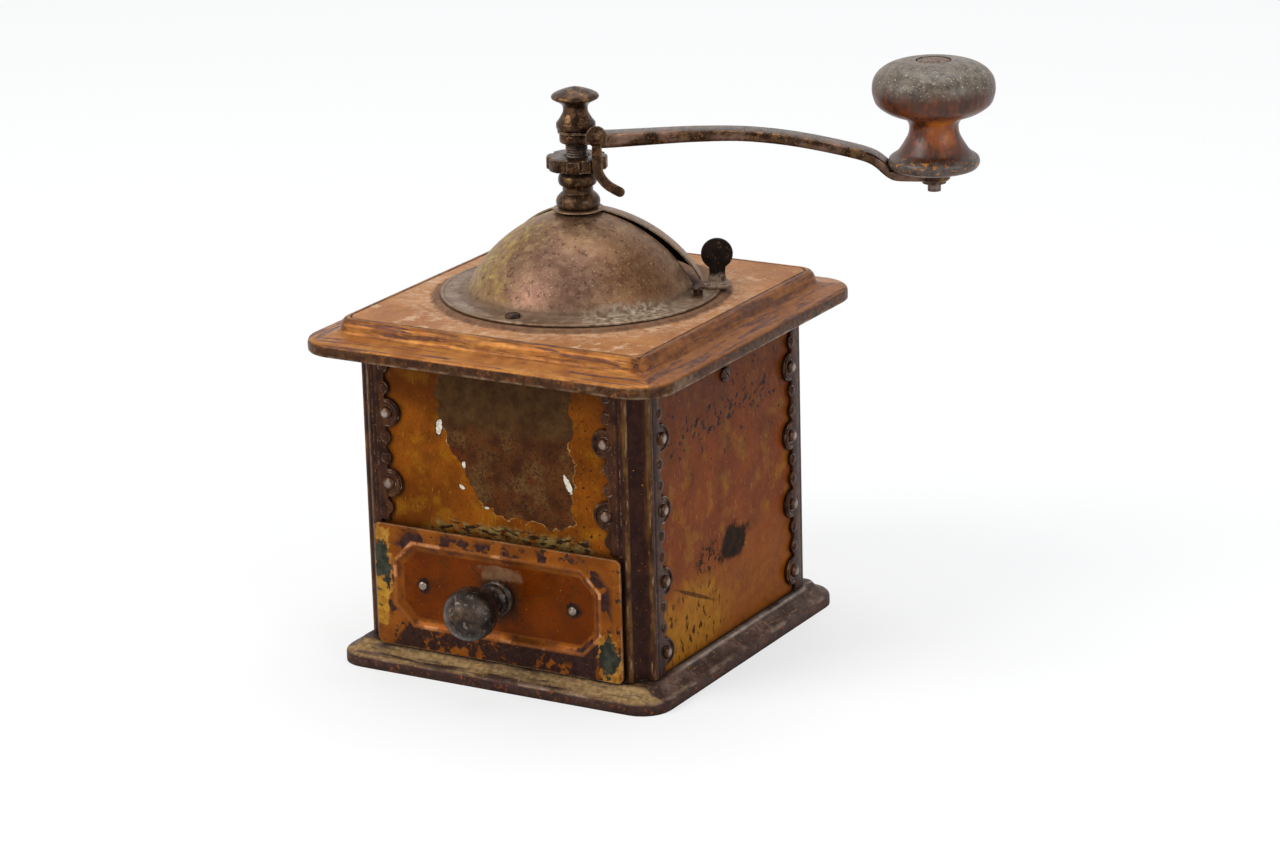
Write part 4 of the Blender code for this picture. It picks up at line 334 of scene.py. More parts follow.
    def edges(self, radius, low=0.03, high=0.2):
        """Mask of edges, found by how much a rounded edge of this radius would turn the surface."""
        soft = self.nodes.new("ShaderNodeBevel")
        soft.samples = 4
        soft.inputs["Radius"].default_value = radius
        flat = self.nodes.new("ShaderNodeNewGeometry")
        node = self.nodes.new("ShaderNodeVectorMath")
        node.operation = "DOT_PRODUCT"
        self.links.new(soft.outputs["Normal"], node.inputs[0])
        self.links.new(flat.outputs["Normal"], node.inputs[1])
        return self.ramp(self.maths("SUBTRACT", 1.0, node.outputs["Value"]), low, high)

    def hollow_shade(self, distance, low=0.35, high=0.85, alone=True):
        """Mask of corners and recesses, by how closed in they are: painted shade with the dirt that stays there, on
        this piece alone or also against its neighbours.
        """
        node = self.nodes.new("ShaderNodeAmbientOcclusion")
        node.samples = 6
        node.only_local = alone
        node.inputs["Distance"].default_value = distance
        return self.ramp(node.outputs["AO"], low, high, 1.0, 0.0)

    def both(self, first, second):
        return self.maths("MULTIPLY", first, second)

    def spots(self, mask, *amounts, share=1, **shape):
        """Blots inside a mask, at a share of their strength."""
        blots = self.blots(*amounts, **shape)
        return self.both(mask, blots if share == 1 else self.less(blots, share))

    def less(self, mask, share):
        return self.maths("MULTIPLY", mask, share)

    def two_tones(self, dark, light, size, low=0.35, high=0.65):
        node = self.nodes.new("ShaderNodeMix")
        node.data_type = "RGBA"
        node.inputs["A"].default_value = (1, 1, 1, 1)
        self.give(node.inputs["Factor"], self.ramp(self.noise(size), low, high))
        self.give(node.inputs[6], linear(dark))
        self.give(node.inputs[7], linear(light))
        return node.outputs[2]

    def mixed(self, mask, under, over):
        node = self.nodes.new("ShaderNodeMix")
        self.give(node.inputs[0], mask)
        self.give(node.inputs[2], under)
        self.give(node.inputs[3], over)
        return node.outputs[0]

    def lay(self, mask, dark, light=None, roughness=None, metallic=None, raised=0.0, mottle=3.0):
        """Lays one layer over the last where the mask is 1. Its height is in millimetres."""
        node = self.nodes.new("ShaderNodeMix")
        node.data_type = "RGBA"
        self.give(node.inputs[0], mask)
        self.give(node.inputs[6], self.colour)
        self.give(node.inputs[7], self.two_tones(dark, light, mottle) if light else linear(dark))
        self.colour = node.outputs[2]
        if roughness is not None:
            self.roughness = self.mixed(mask, self.roughness, roughness)
        if metallic is not None:
            self.metallic = self.mixed(mask, self.metallic, metallic)
        if raised:
            self.height = self.maths("ADD", self.height, self.maths("MULTIPLY", mask, raised))
        return self

    def sealed(self, grit=0.05, grit_size=0.6, dents=0.0, dent_size=9.0):
        """Ends the finish: fine grit and shallow dents, in millimetres, join the layers' heights."""
        height = self.maths("ADD", self.height, self.maths("MULTIPLY", self.noise(grit_size, detail=4.0), grit))
        if dents:
            height = self.maths("ADD", height, self.maths("MULTIPLY", self.noise(dent_size, detail=1.0), dents))
        bump = self.nodes.new("ShaderNodeBump")
        bump.inputs["Distance"].default_value = 0.001
        self.links.new(height, bump.inputs["Height"])
        self.links.new(self.colour, self.shader.inputs["Base Color"])
        uneven = self.maths("MULTIPLY", self.maths("SUBTRACT", self.noise(2.5), 0.5), 0.35)
        self.links.new(self.maths("ADD", self.roughness, uneven, True), self.shader.inputs["Roughness"])
        self.give(self.shader.inputs["Metallic"], self.metallic)
        self.links.new(bump.outputs["Normal"], self.shader.inputs["Normal"])
        return self


def broken_edges(shape, width, angle=40, segments=2):
    """Takes the sharpness off every edge that turns more than an angle in degrees."""
    sharp = [edge for edge in shape.edges if len(edge.link_faces) == 2 and edge.calc_face_angle() > math.radians(angle)]
    bmesh.ops.bevel(shape, geom=sharp, offset=width, offset_type="OFFSET", affect="EDGES", segments=segments,
                    profile=0.5, material=-1, clamp_overlap=True)
    return shape


def fitted(name, shape, coat, body, node, crease=38):
    """Makes the piece from its mesh and coat, hides the node it stands for, and hangs it on the body it moves with."""
    mesh = bpy.data.meshes.new(name)
    shape.to_mesh(mesh)
    shape.free()
    mesh.materials.append(coat.material)
    mesh.shade_smooth()
    mesh.set_sharp_from_angle(angle=math.radians(crease))
    piece = bpy.data.objects.new(name, mesh)
    bpy.context.scene.collection.objects.link(piece)
    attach(piece, body)
    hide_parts(node)
    return piece


def recoated(node, coat):
    """Gives a node of the frame its finish."""
    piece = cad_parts[node]
    if not piece.data.materials:
        piece.data.materials.append(coat.material)
    for slot in piece.material_slots:
        slot.material = coat.material


def press_plinth():
    shape = bmesh.new()
    rings = []
    for margin, height in PLINTH_FOLDS:
        corner = max(PLINTH_CORNER + margin, 0.0012)
        rings.append(rounded_ring(shape, HALF_X + margin, HALF_Y + margin, corner, height))
    skinned(shape, rings)
    for ring in (rings[0], rings[-1]):
        bmesh.ops.contextual_create(shape, geom=ring)
    bmesh.ops.recalc_face_normals(shape, faces=shape.faces)
    return shape


def plinth_coat():
    coat = Coat("plinth_rust", "32221c", "4a372e", 0.5, 0.3, 6.0)
    coat.lay(coat.blots(5.0, 0.48, 0.62, stretch=(2.5, 2.5, 1)), "5a4238", "6e564a", 0.55, 0.3)
    coat.lay(coat.less(coat.blots(1.2, 0.5, 0.64, detail=8.0), 0.7), "2c1a14", "3e281c", 0.65, 0.1)
    front_ledge = coat.both(coat.beyond("Y", -0.0575, -0.059), coat.facing("Z", 0.4, 0.7))
    dust = coat.spots(front_ledge, 5.0, 0.36, 0.56, stretch=(4, 0.5, 1), detail=8.0)
    coat.lay(dust, "7e623e", "a0835a", 0.85, 0.0, 0.04, 1.6)
    coat.lay(coat.spots(front_ledge, 2.0, 0.56, 0.66, stretch=(5, 0.6, 1), detail=8.0), "4e4030", "665642", 0.8)
    rim = coat.beyond("Z", 0.0044, 0.0034)
    coat.lay(coat.less(rim, 0.75), "2a1a17", "432c26", 0.5, 0.3)
    coat.lay(coat.spots(rim, 1.4, 0.58, 0.66), "6e3416", "8a4a20", 0.75, 0.0)
    for stretch in ((6, 0.4, 1), (0.4, 6, 1)):
        coat.lay(coat.spots(coat.facing("Z", 0.2, 0.5), 1.2, 0.64, 0.69, stretch=stretch, detail=8.0), "96601e",
                 "b88440", 0.7, 0.0)
    # Painted highlight: a pale line along the fold up to the right wall.
    fold = coat.both(coat.both(coat.beyond("Z", 0.0068, 0.0076), coat.beyond("X", 0.054, 0.0555)),
                     coat.beyond("Y", -0.05, -0.03))
    coat.lay(coat.spots(fold, 12.0, 0.42, 0.54, stretch=(1, 3, 1), share=0.8), "84766a", "a89c90", 0.4, 0.5)
    crest = coat.both(coat.beyond("Z", 0.0030, 0.0036), coat.beyond("Z", 0.0046, 0.0041))
    coat.lay(coat.spots(crest, 4.0, 0.5, 0.64, stretch=(3, 3, 1), detail=8.0, share=0.6), "6c5748", "8c7766",
             0.34, 0.6)
    # Painted shade, with dirt, in the plinth's hollows and against the walls.
    coat.lay(coat.less(coat.hollow_shade(0.005, 0.35, 0.85, False), 0.9), "1a100c", "2a1c15", 0.85, 0.0)
    return coat.sealed(0.08, 0.6, 0.25, 10.0)


plinth_finish = plinth_coat()
fitted("plinth", press_plinth(), plinth_finish, "mill", "base_plinth")


# Bottom plate
# A flat tinned sheet let into the plinth from below. It is what the mill stands on, so its lower face is rubbed.
def bottom_coat():
    coat = Coat("bottom_rust", "3a2c24", "5c4a3c", 0.7, 0.3, 9.0)
    coat.lay(coat.blots(14.0, 0.5, 0.62), "6a3f22", "8a5a30", 0.85, 0.0)
    coat.lay(coat.blots(1.6, 0.6, 0.66), "1e1613", "2a201b", 0.9, 0.0)
    return coat.sealed(0.06, 0.8, 0.1, 20.0)


recoated("bottom_plate", bottom_coat())


# Body walls
# Four painted sheets behind the corner strips. The ochre lacquer has crazed, is painted darker under the lid for its
# shadow, and is worn through to brown metal in the middle of the front, with a few bare chips where it took knocks.
def wall_coat(name, dark, light, lid_shadow_start):
    """Old ochre lacquer on tinplate: clouded, crazed, brown where hands and damp reached it, and painted darker towards
    the top for the lid's shadow.
    """
    coat = Coat(name, dark, light, 0.36, 0.2, 17.0, gloss=1.12)
    coat.lay(coat.less(coat.blots(9.0, 0.5, 0.66, detail=7.0), 0.5), "84540a", "94640e", 0.38, 0.2)
    coat.lay(coat.less(coat.blots(12.0, 0.52, 0.68, detail=7.0), 0.55), "4c2204", "5c2c04", 0.42, 0.2)
    coat.lay(coat.less(coat.blots(0.9, 0.54, 0.66, detail=9.0), 0.45), "3c1c04", "502a04", 0.46)
    coat.lay(coat.less(coat.blots(0.7, 0.62, 0.7, stretch=(1, 1, 5)), 0.5), "9a6c22", "b08430", 0.4)
    # Painted shadow of the lid: darker from the given height up to the lid.
    coat.lay(coat.less(coat.beyond("Z", lid_shadow_start, 0.116, 0.005, 10.0), 0.85), "3c1a06", "502406", 0.38, 0.2)
    return coat


def dirt_and_shade(coat):
    """Brown dirt and painted shade beside the strips, under the lid and along the base."""
    coat.lay(coat.less(coat.hollow_shade(0.007, 0.45, 0.98, False), 0.55), "3a1d0a", "4a280c", 0.6, 0.1)
    coat.lay(coat.less(coat.hollow_shade(0.003, 0.35, 0.8, False), 0.85), "1c0f08", "2a180c", 0.8, 0.0)
    return coat


def front_wall_coat():
    coat = wall_coat("front_lacquer", "613004", "84460a", 0.088)
    distance = coat.outside([(-6, 60.5), (20, 57), (29, 60), (29, 108), (-22, 108), (-22.5, 88)], (0, 2), 2.8,
                            7.0)
    bare = coat.inside(distance, 0.25)
    coat.lay(bare, "3c200e", "533016", 0.5, 0.2, -0.05, 7.0)
    coat.lay(coat.spots(bare, 9.0, 0.46, 0.6, detail=9.0, share=0.85), "50361a", "634626", 0.6, 0.15, 0.0, 1.3)
    coat.lay(coat.spots(bare, 6.0, 0.54, 0.66, share=0.8), "482008", "5c2c0e", 0.5, 0.2)
    coat.lay(coat.spots(bare, 0.8, 0.52, 0.62, detail=9.0, share=0.75), "24140d", "382012", 0.7, 0.0, -0.02)
    # Painted shadow of the lid on the bare metal: darker from this height up.
    high = coat.beyond("Z", 0.084, 0.09, 0.002)
    coat.lay(coat.less(coat.both(bare, high), 0.75), "3a2412", "4c361c", 0.5, 0.2, 0.0, 4.0)
    line = coat.both(coat.rim_of(distance, 0.28), coat.less(coat.ramp(high, 1.0, 0.4), 0.9))
    coat.lay(coat.spots(line, 5.0, 0.48, 0.56), "8a5c22", "b8905a", 0.5, 0.0, 0.05)
    low = coat.outside([(-29, 48), (36, 48), (34, 54.6), (-26, 54.2)], (0, 2), 1.0, 5.0)
    coat.lay(coat.spots(coat.inside(low, 1.2), 3.0, 0.4, 0.54), "6e5c34", "86703e", 0.6)
    coat.lay(coat.spots(coat.inside(low, 1.5), 1.6, 0.5, 0.56, stretch=(2, 1, 0.7), detail=8.0), "17100c",
             "2a1c14", 0.7, 0.0, -0.06)
    coat.lay(coat.spots(coat.beyond("X", 0.02, 0.032, 0.002), 1.5, 0.6, 0.66), "24150d", "38220f", 0.7)
    for place, reach, lean in (((-0.0219, 0.0861), (0.0011, 0.0029), 0.15),
                               ((0.0269, 0.0728), (0.0010, 0.0031), -0.42),
                               ((-0.0128, 0.0742), (0.0007, 0.0012), 0), ((-0.0139, 0.0665), (0.0012, 0.0006), 0.5),
                               ((-0.0045, 0.0605), (0.0009, 0.0004), 0)):
        centre = (place[0], -0.057, place[1])
        coat.lay(coat.patch(centre, (reach[0] * 1.4, 0.01, reach[1] * 1.15), 0.22, 1.4, 0.1, (0, lean, 0)),
                 "3a2208", "4c3010", 0.6, 0.0)
        coat.lay(coat.patch(centre, (reach[0], 0.01, reach[1]), 0.25, 1.2, 0.08, (0, lean, 0)), "b4aa98",
                 "dcd6c8", 0.5, 0.3, -0.06, 0.8)
    return dirt_and_shade(coat).sealed(0.05, 0.45, 0.5, 22.0)


def side_wall_coat():
    coat = wall_coat("side_lacquer", "682a02", "7a3602", 0.05)
    coat.lay(coat.less(coat.beyond("Z", 0.052, 0.014, 0.004, 12.0), 0.8), "7c3e02", "8a4a02", 0.36, 0.2)
    gold = coat.patch((0.054, -0.026, 0.018), (0.02, 0.024, 0.014), 0.4, 8.0, 0.45)
    coat.lay(coat.less(gold, 0.8), "8c5804", "9e6806", 0.36, 0.2)
    coat.lay(coat.spots(gold, 3.0, 0.57, 0.63, stretch=(1, 0.6, 1.4), detail=8.0), "2c1604", "402206", 0.55, 0.0,
             -0.05)
    streak = coat.outside([(-38, 80), (36, 82), (40, 90), (-10, 91), (-36, 86)], (1, 2), 1.6, 6.0)
    coat.lay(coat.spots(coat.inside(streak, 1.5), 2.6, 0.54, 0.6, detail=9.0), "211416", "33211f", 0.5, 0.1,
             -0.04)
    coat.lay(coat.spots(coat.beyond("Z", 0.06, 0.078, 0.003), 2.4, 0.62, 0.67, detail=8.0), "241518", "33201c",
             0.55, 0.1, -0.03)
    blotch = coat.outside([(-6, 35.5), (4, 32.5), (12, 35), (14, 42), (3, 45), (-4, 42)], (1, 2), 2.2, 5.0)
    coat.lay(coat.inside(blotch, 1.6), "1a100a", "2a190c", 0.6, 0.0, -0.05)
    coat.lay(coat.spots(coat.patch((0.054, -0.014, 0.038), (0.01, 0.008, 0.005), 0.5, 4.0, 0.4), 2.0, 0.5, 0.56),
             "20130b", "30200f", 0.6)
    # Painted shade along a crease pressed into the sheet.
    crease = coat.patch((0.054, -0.0235, 0.0285), (0.01, 0.0132, 0.0007), 0.12, 6.0, 0.3, (-0.42, 0, 0))
    coat.lay(coat.less(crease, 0.8), "2c1a08", "3e260c", 0.55, 0.0, -0.12)
    coat.lay(coat.blots(1.6, 0.66, 0.71, detail=8.0), "211309", "33200f", 0.6, 0.0, -0.03)
    coat.lay(coat.less(coat.blots(1.0, 0.7, 0.74), 0.9), "a08868", "bca888", 0.5, 0.2)
    return dirt_and_shade(coat).sealed(0.04, 0.45, 0.45, 24.0)


def back_wall_coat():
    coat = wall_coat("back_lacquer", "663004", "7c4208", 0.07)
    distance = coat.outside([(-16, 40), (14, 30), (28, 52), (20, 78), (-8, 84), (-24, 62)], (0, 2), 3.4, 9.0)
    side_distance = coat.outside([(-20, 34), (10, 26), (26, 50), (12, 72), (-14, 66)], (1, 2), 3.4, 9.0)
    bare = coat.both(coat.inside(distance, 0.4), coat.inside(side_distance, 40.0))
    left = coat.both(coat.inside(side_distance, 0.4), coat.beyond("X", -0.05, -0.0525))
    for worn in (bare, left):
        coat.lay(worn, "3c2413", "54371c", 0.5, 0.2, -0.05, 7.0)
        coat.lay(coat.spots(worn, 8.0, 0.48, 0.6, detail=9.0), "5a4a2c", "6a5836", 0.6, 0.15, 0.0, 1.3)
    coat.lay(coat.blots(2.0, 0.62, 0.67, detail=8.0), "221409", "34200e", 0.6, 0.0, -0.04)
    coat.lay(coat.less(coat.beyond("Z", 0.026, 0.01, 0.003, 8.0), 0.7), "4a2a0a", "5e380e", 0.5)
    return dirt_and_shade(coat).sealed(0.04, 0.45, 0.45, 24.0)


recoated("body_front", front_wall_coat())
recoated("body_right", side_wall_coat())
back_finish = back_wall_coat()
for wall in ("body_left", "body_back"):
    recoated(wall, back_finish)


# Corner strips
# Pressed sheet over each cut-off corner: two round beads with a shallow flute between them, and a flat on each wall
# with a scalloped edge. Each scallop has a raised lip and a domed boss, where the strip is riveted to the wall.
CORNER_CUT = 0.0074
STRIP_SHEET = 0.0008
STRIP_PROUD = 0.00012
STRIP_FOOT = 0.0081
STRIP_TOP = 0.1189
STRIP_OVER_DRAWER = 0.0513
STRIP_WIDTH = 0.0052
SCALLOP_INSET = 0.006
SCALLOP_RADIUS = 0.0049
NUB_INSET = 0.0044
NUB_RADIUS = 0.0026
NUB_SPACING = 0.0036
BOSS_FIRST = 0.0156
BOSS_PITCH = 0.0244
BOSS_RADIUS = 0.0023
BEAD_RISE = 0.0008
FLUTE = ((0.04, 0.5), (0.13, 1.0), (0.22, 0.5), (0.28, -0.1), (0.36, -0.45), (0.5, -0.6), (0.64, -0.45),
         (0.72, -0.1), (0.78, 0.5), (0.87, 1.0), (0.96, 0.5))


def eased(points, steps=4):
    """The same line with a smooth curve through its points."""
    line = [Vector(point) for point in points]
    smooth = []
    for index in range(len(line) - 1):
        before = line[max(index - 1, 0)]
        start, end = line[index], line[index + 1]
        after = line[min(index + 2, len(line) - 1)]
        for step in range(steps):
            share = step / steps
            smooth.append(0.5 * ((2 * start) + (end - before) * share
                                 + (2 * before - 5 * start + 4 * end - after) * share ** 2
                                 + (3 * start - before - 3 * end + after) * share ** 3))
    smooth.append(line[-1])
    return smooth


def joined(shape, part, matrix=Matrix()):
    """Adds one mesh to another, carried to its place."""
    part.transform(matrix)
    carrier = bpy.data.meshes.new("carrier")
    part.to_mesh(carrier)
    part.free()
    shape.from_mesh(carrier)
    bpy.data.meshes.remove(carrier)
    return shape


def raised_from(shape, points, rise):
    """Closes a flat outline and gives it its thickness."""
    verts = [shape.verts.new(point) for point in points]
    face = shape.faces.new(verts)
    top = bmesh.ops.extrude_face_region(shape, geom=[face])["geom"]
    bmesh.ops.translate(shape, verts=[part for part in top if isinstance(part, bmesh.types.BMVert)], vec=rise)
    bmesh.ops.recalc_face_normals(shape, faces=shape.faces)


def fluted_column():
    """The strip's bent middle: a short leg on each wall, and the beads and flute across the corner."""
    leg = 0.002
    plan = [(HALF_X, HALF_Y - CORNER_CUT - leg)]
    line = [(0, 0), *FLUTE, (1, 0)]
    for along, out in eased(line, 4):
        rise = out * BEAD_RISE / math.sqrt(2)
        plan.append((HALF_X - along * CORNER_CUT + rise, HALF_Y - (1 - along) * CORNER_CUT + rise))
    inner = HALF_X + HALF_Y - CORNER_CUT - 0.0013 * math.sqrt(2)
    plan += [(HALF_X - CORNER_CUT - leg, HALF_Y), (HALF_X - CORNER_CUT - leg, HALF_Y - STRIP_SHEET),
             (inner - HALF_Y + STRIP_SHEET, HALF_Y - STRIP_SHEET), (HALF_X - STRIP_SHEET,
                                                                    inner - HALF_X + STRIP_SHEET),
             (HALF_X - STRIP_SHEET, HALF_Y - CORNER_CUT - leg)]
    shape = bmesh.new()
    raised_from(shape, [(x, y, STRIP_FOOT) for x, y in plan], (0, 0, STRIP_TOP - STRIP_FOOT))
    return shape


def arc(shape, centre, radius, reach, steps):
    """Vertices of one lobe, swept from one side of the wall's direction to the other."""
    start = shape.verts.new((centre[0] + radius * math.cos(reach), centre[1] - radius * math.sin(reach), 0))
    before = set(shape.verts)
    bmesh.ops.spin(shape, geom=[start], cent=(*centre, 0), axis=(0, 0, 1), angle=2 * reach, steps=steps)
    swept = [vert for vert in shape.verts if vert not in before]
    return [start] + sorted(swept, key=lambda vert: math.atan2(vert.co.y - centre[1], vert.co.x - centre[0]))


def boss_heights(low):
    heights = [BOSS_FIRST + BOSS_PITCH * index for index in range(4)]
    return [height for height in heights if height - SCALLOP_RADIUS > low]


def scalloped_flat(low):
    """The flat on one wall, drawn lying: across, height and out from the wall."""
    shape = bmesh.new()
    line = [shape.verts.new((0.0005, low, 0)), shape.verts.new((STRIP_WIDTH, low, 0))]
    first = boss_heights(low)[0] - BOSS_PITCH / 2 + NUB_SPACING
    if first - NUB_RADIUS > low:
        line += arc(shape, (NUB_INSET, first), NUB_RADIUS, math.acos((STRIP_WIDTH - NUB_INSET) / NUB_RADIUS), 12)
    for height in boss_heights(low):
        line += arc(shape, (SCALLOP_INSET, height), SCALLOP_RADIUS,
                    math.acos((STRIP_WIDTH - SCALLOP_INSET) / SCALLOP_RADIUS), 22)
        for offset in (-NUB_SPACING, NUB_SPACING):
            nub = height + BOSS_PITCH / 2 + offset
            line += arc(shape, (NUB_INSET, nub), NUB_RADIUS, math.acos((STRIP_WIDTH - NUB_INSET) / NUB_RADIUS),
                        12)
    line += [shape.verts.new((STRIP_WIDTH, STRIP_TOP, 0)), shape.verts.new((0.0005, STRIP_TOP, 0))]
    points = [vert.co.copy() for vert in line if vert.co.y < STRIP_TOP + 0.00001]
    shape.free()
    shape = bmesh.new()
    raised_from(shape, [(point.x, point.y, -STRIP_SHEET) for point in points], (0, 0, STRIP_SHEET + STRIP_PROUD))
    outline = [edge for edge in shape.edges if all(vert.co.z > 0 for vert in edge.verts)]
    bmesh.ops.bevel(shape, geom=outline, offset=0.00035, offset_type="OFFSET", affect="EDGES", segments=3,
                    profile=0.5,
                    material=-1, clamp_overlap=True)
    return shape


def lip(centre, radius, reach, thickness):
    """A raised ridge along part of a circle, thin at both ends."""
    shape = bmesh.new()
    ring = bmesh.ops.create_circle(shape, segments=10, radius=thickness)["verts"]
    bmesh.ops.rotate(shape, verts=ring, cent=(0, 0, 0), matrix=Matrix.Rotation(math.radians(90), 3, "X"))
    bmesh.ops.translate(shape, verts=ring, vec=(radius, 0, 0))
    bmesh.ops.rotate(shape, verts=ring, cent=(0, 0, 0), matrix=Matrix.Rotation(-reach, 3, "Z"))
    bmesh.ops.spin(shape, geom=shape.verts[:] + shape.edges[:], cent=(0, 0, 0), axis=(0, 0, 1), angle=2 * reach,
                   steps=26)
    for vert in shape.verts:
        angle = math.atan2(vert.co.y, vert.co.x)
        middle = Vector((radius * math.cos(angle), radius * math.sin(angle), 0))
        vert.co = middle + (vert.co - middle) * max(math.cos(angle * math.radians(88) / reach), 0.03) ** 0.5
    bmesh.ops.edgeloop_fill(shape, edges=[edge for edge in shape.edges if edge.is_boundary])
    bmesh.ops.recalc_face_normals(shape, faces=shape.faces)
    bmesh.ops.translate(shape, verts=shape.verts, vec=(*centre, STRIP_PROUD))
    return shape


def low_dome(centre, radius, rise):
    """A round pressed boss that stands out of the sheet, flat behind."""
    shape = bmesh.new()
    bmesh.ops.create_uvsphere(shape, u_segments=28, v_segments=16, radius=radius)
    bmesh.ops.scale(shape, verts=shape.verts, vec=(1, 1, rise / radius))
    cut = bmesh.ops.bisect_plane(shape, geom=shape.verts[:] + shape.edges[:] + shape.faces[:],
                                 plane_co=(0, 0, -0.0003),
                                 plane_no=(0, 0, -1), clear_outer=True)["geom_cut"]
    bmesh.ops.contextual_create(shape, geom=[part for part in cut if isinstance(part, bmesh.types.BMEdge)])
    bmesh.ops.recalc_face_normals(shape, faces=shape.faces)
    bmesh.ops.translate(shape, verts=shape.verts, vec=(*centre, STRIP_PROUD))
    return shape


def corner_strip(sign_x, sign_y, front_low):
    shape = fluted_column()
    walls = ((STRIP_FOOT, ((0, 0, 1, HALF_X), (-1, 0, 0, HALF_Y - CORNER_CUT), (0, 1, 0, 0), (0, 0, 0, 1))),
             (front_low, ((-1, 0, 0, HALF_X - CORNER_CUT), (0, 0, 1, HALF_Y), (0, 1, 0, 0), (0, 0, 0, 1))))
    for low, columns in walls:
        flat = scalloped_flat(low)
        for height in boss_heights(low):
            joined(flat, lip((SCALLOP_INSET, height), SCALLOP_RADIUS - 0.0008, math.radians(98), 0.00055))
            joined(flat, low_dome((SCALLOP_INSET, height), BOSS_RADIUS, 0.0015))
            for offset in (-NUB_SPACING, NUB_SPACING):
                nub = height + BOSS_PITCH / 2 + offset
                if nub + NUB_RADIUS < STRIP_TOP:
                    joined(flat, low_dome((NUB_INSET + 0.0006, nub), 0.0015, 0.0006))
        joined(shape, flat, Matrix(columns))
    bmesh.ops.scale(shape, verts=shape.verts, vec=(sign_x, sign_y, 1))
    bmesh.ops.recalc_face_normals(shape, faces=shape.faces)
    return shape


def strip_coat():
    coat = Coat("strip_bronze", "26120b", "3a2016", 0.34, 0.5, 7.0)
    coat.lay(coat.less(coat.blots(4.0, 0.5, 0.64, stretch=(1, 1, 4)), 0.8), "442512", "553214", 0.4, 0.4)
    split = coat.nodes.new("ShaderNodeSeparateXYZ")
    coat.links.new(coat.place, split.inputs[0])
    wide = coat.maths("ABSOLUTE", split.outputs[0])
    deep = coat.maths("ABSOLUTE", split.outputs[1])
    across = coat.maths("ADD", wide, deep)
    # Painted shade: the flute between the beads darker.
    flute_shade = coat.both(coat.ramp(across, 0.10575, 0.10515), coat.ramp(across, 0.1043, 0.1046))
    coat.lay(coat.less(flute_shade, 0.85), "1e0e0c", "301814", 0.34, 0.5)
    # Painted highlight: lighter streaks along the two beads.
    bead_highlight = coat.ramp(across, 0.1060, 0.10655)
    coat.lay(coat.spots(bead_highlight, 2.0, 0.36, 0.58, stretch=(1, 1, 5), detail=9.0, share=0.85), "4e3418", "684824",
             0.36, 0.5)
    coat.lay(coat.spots(bead_highlight, 1.2, 0.56, 0.66, stretch=(1, 1, 6), detail=8.0, share=0.75), "806444", "94785a",
             0.3, 0.7)
    # Painted highlight on the raised lips and bosses, lightest on their crowns.
    proud_highlight = coat.ramp(coat.maths("MAXIMUM", coat.maths("SUBTRACT", wide, HALF_X),
                                 coat.maths("SUBTRACT", deep, HALF_Y)), 0.0004, 0.0011)
    coat.lay(coat.less(proud_highlight, 0.6), "3e281c", "5a4032", 0.26, 0.8)
    crown = coat.ramp(coat.maths("MAXIMUM", coat.maths("SUBTRACT", wide, HALF_X),
                                 coat.maths("SUBTRACT", deep, HALF_Y)), 0.0012, 0.00158)
    coat.lay(coat.less(crown, 0.85), "7c6a5c", "a4948a", 0.24, 0.85)
    coat.lay(coat.blots(0.9, 0.67, 0.71), "8e4c12", "ac6c20", 0.6, 0.1)
    # Painted highlight along the edges of lips and bosses, over rubbed bright metal.
    coat.lay(coat.spots(coat.edges(0.0008, 0.02, 0.12), 2.2, 0.44, 0.58, share=0.8), "5a3c20", "7a5a34", 0.34,
             0.5)
    coat.lay(coat.spots(coat.edges(0.0007, 0.06, 0.22), 2.4, 0.54, 0.62), "948470", "bcb0a2", 0.25, 0.9)
    # Painted shade, with dirt, in the hollows and against the walls.
    coat.lay(coat.less(coat.hollow_shade(0.003, 0.3, 0.8, False), 0.9), "100806", "1e110b", 0.7, 0.0)
    return coat.sealed(0.05, 0.45, 0.12, 6.0)


strip_finish = strip_coat()
for name, sign_x, sign_y, front_low in (("front_right", 1, -1, STRIP_OVER_DRAWER),
                                        ("front_left", -1, -1, STRIP_OVER_DRAWER),
                                        ("back_right", 1, 1, STRIP_FOOT), ("back_left", -1, 1, STRIP_FOOT)):
    fitted(f"strip_{name}", corner_strip(sign_x, sign_y, front_low), strip_finish, "mill", f"corner_strip_{name}")


# Side screws and their brackets
# A slotted iron screw near the top of each side wall goes into a bent bracket that holds the lid down.
def turned(profile, steps=48, ring=False, start=0.0, sweep=math.tau):
    """Turns a profile of (radius, height) about Z: whole, or a sector closed at both ends."""
    shape = bmesh.new()
    points = [shape.verts.new((radius, 0, height)) for radius, height in profile]
    edges = [shape.edges.new(pair) for pair in zip(points, points[1:])]
    if ring:
        edges.append(shape.edges.new((points[-1], points[0])))
    whole = sweep == math.tau
    bmesh.ops.spin(shape, geom=points + edges, cent=(0, 0, 0), axis=(0, 0, 1), angle=sweep, steps=steps,
                   use_merge=whole)
    bmesh.ops.remove_doubles(shape, verts=shape.verts, dist=0.0000001)
    if not whole:
        bmesh.ops.edgeloop_fill(shape, edges=[edge for edge in shape.edges if edge.is_boundary])
    bmesh.ops.rotate(shape, verts=shape.verts, cent=(0, 0, 0), matrix=Matrix.Rotation(start, 3, "Z"))
    bmesh.ops.recalc_face_normals(shape, faces=shape.faces)
    return shape


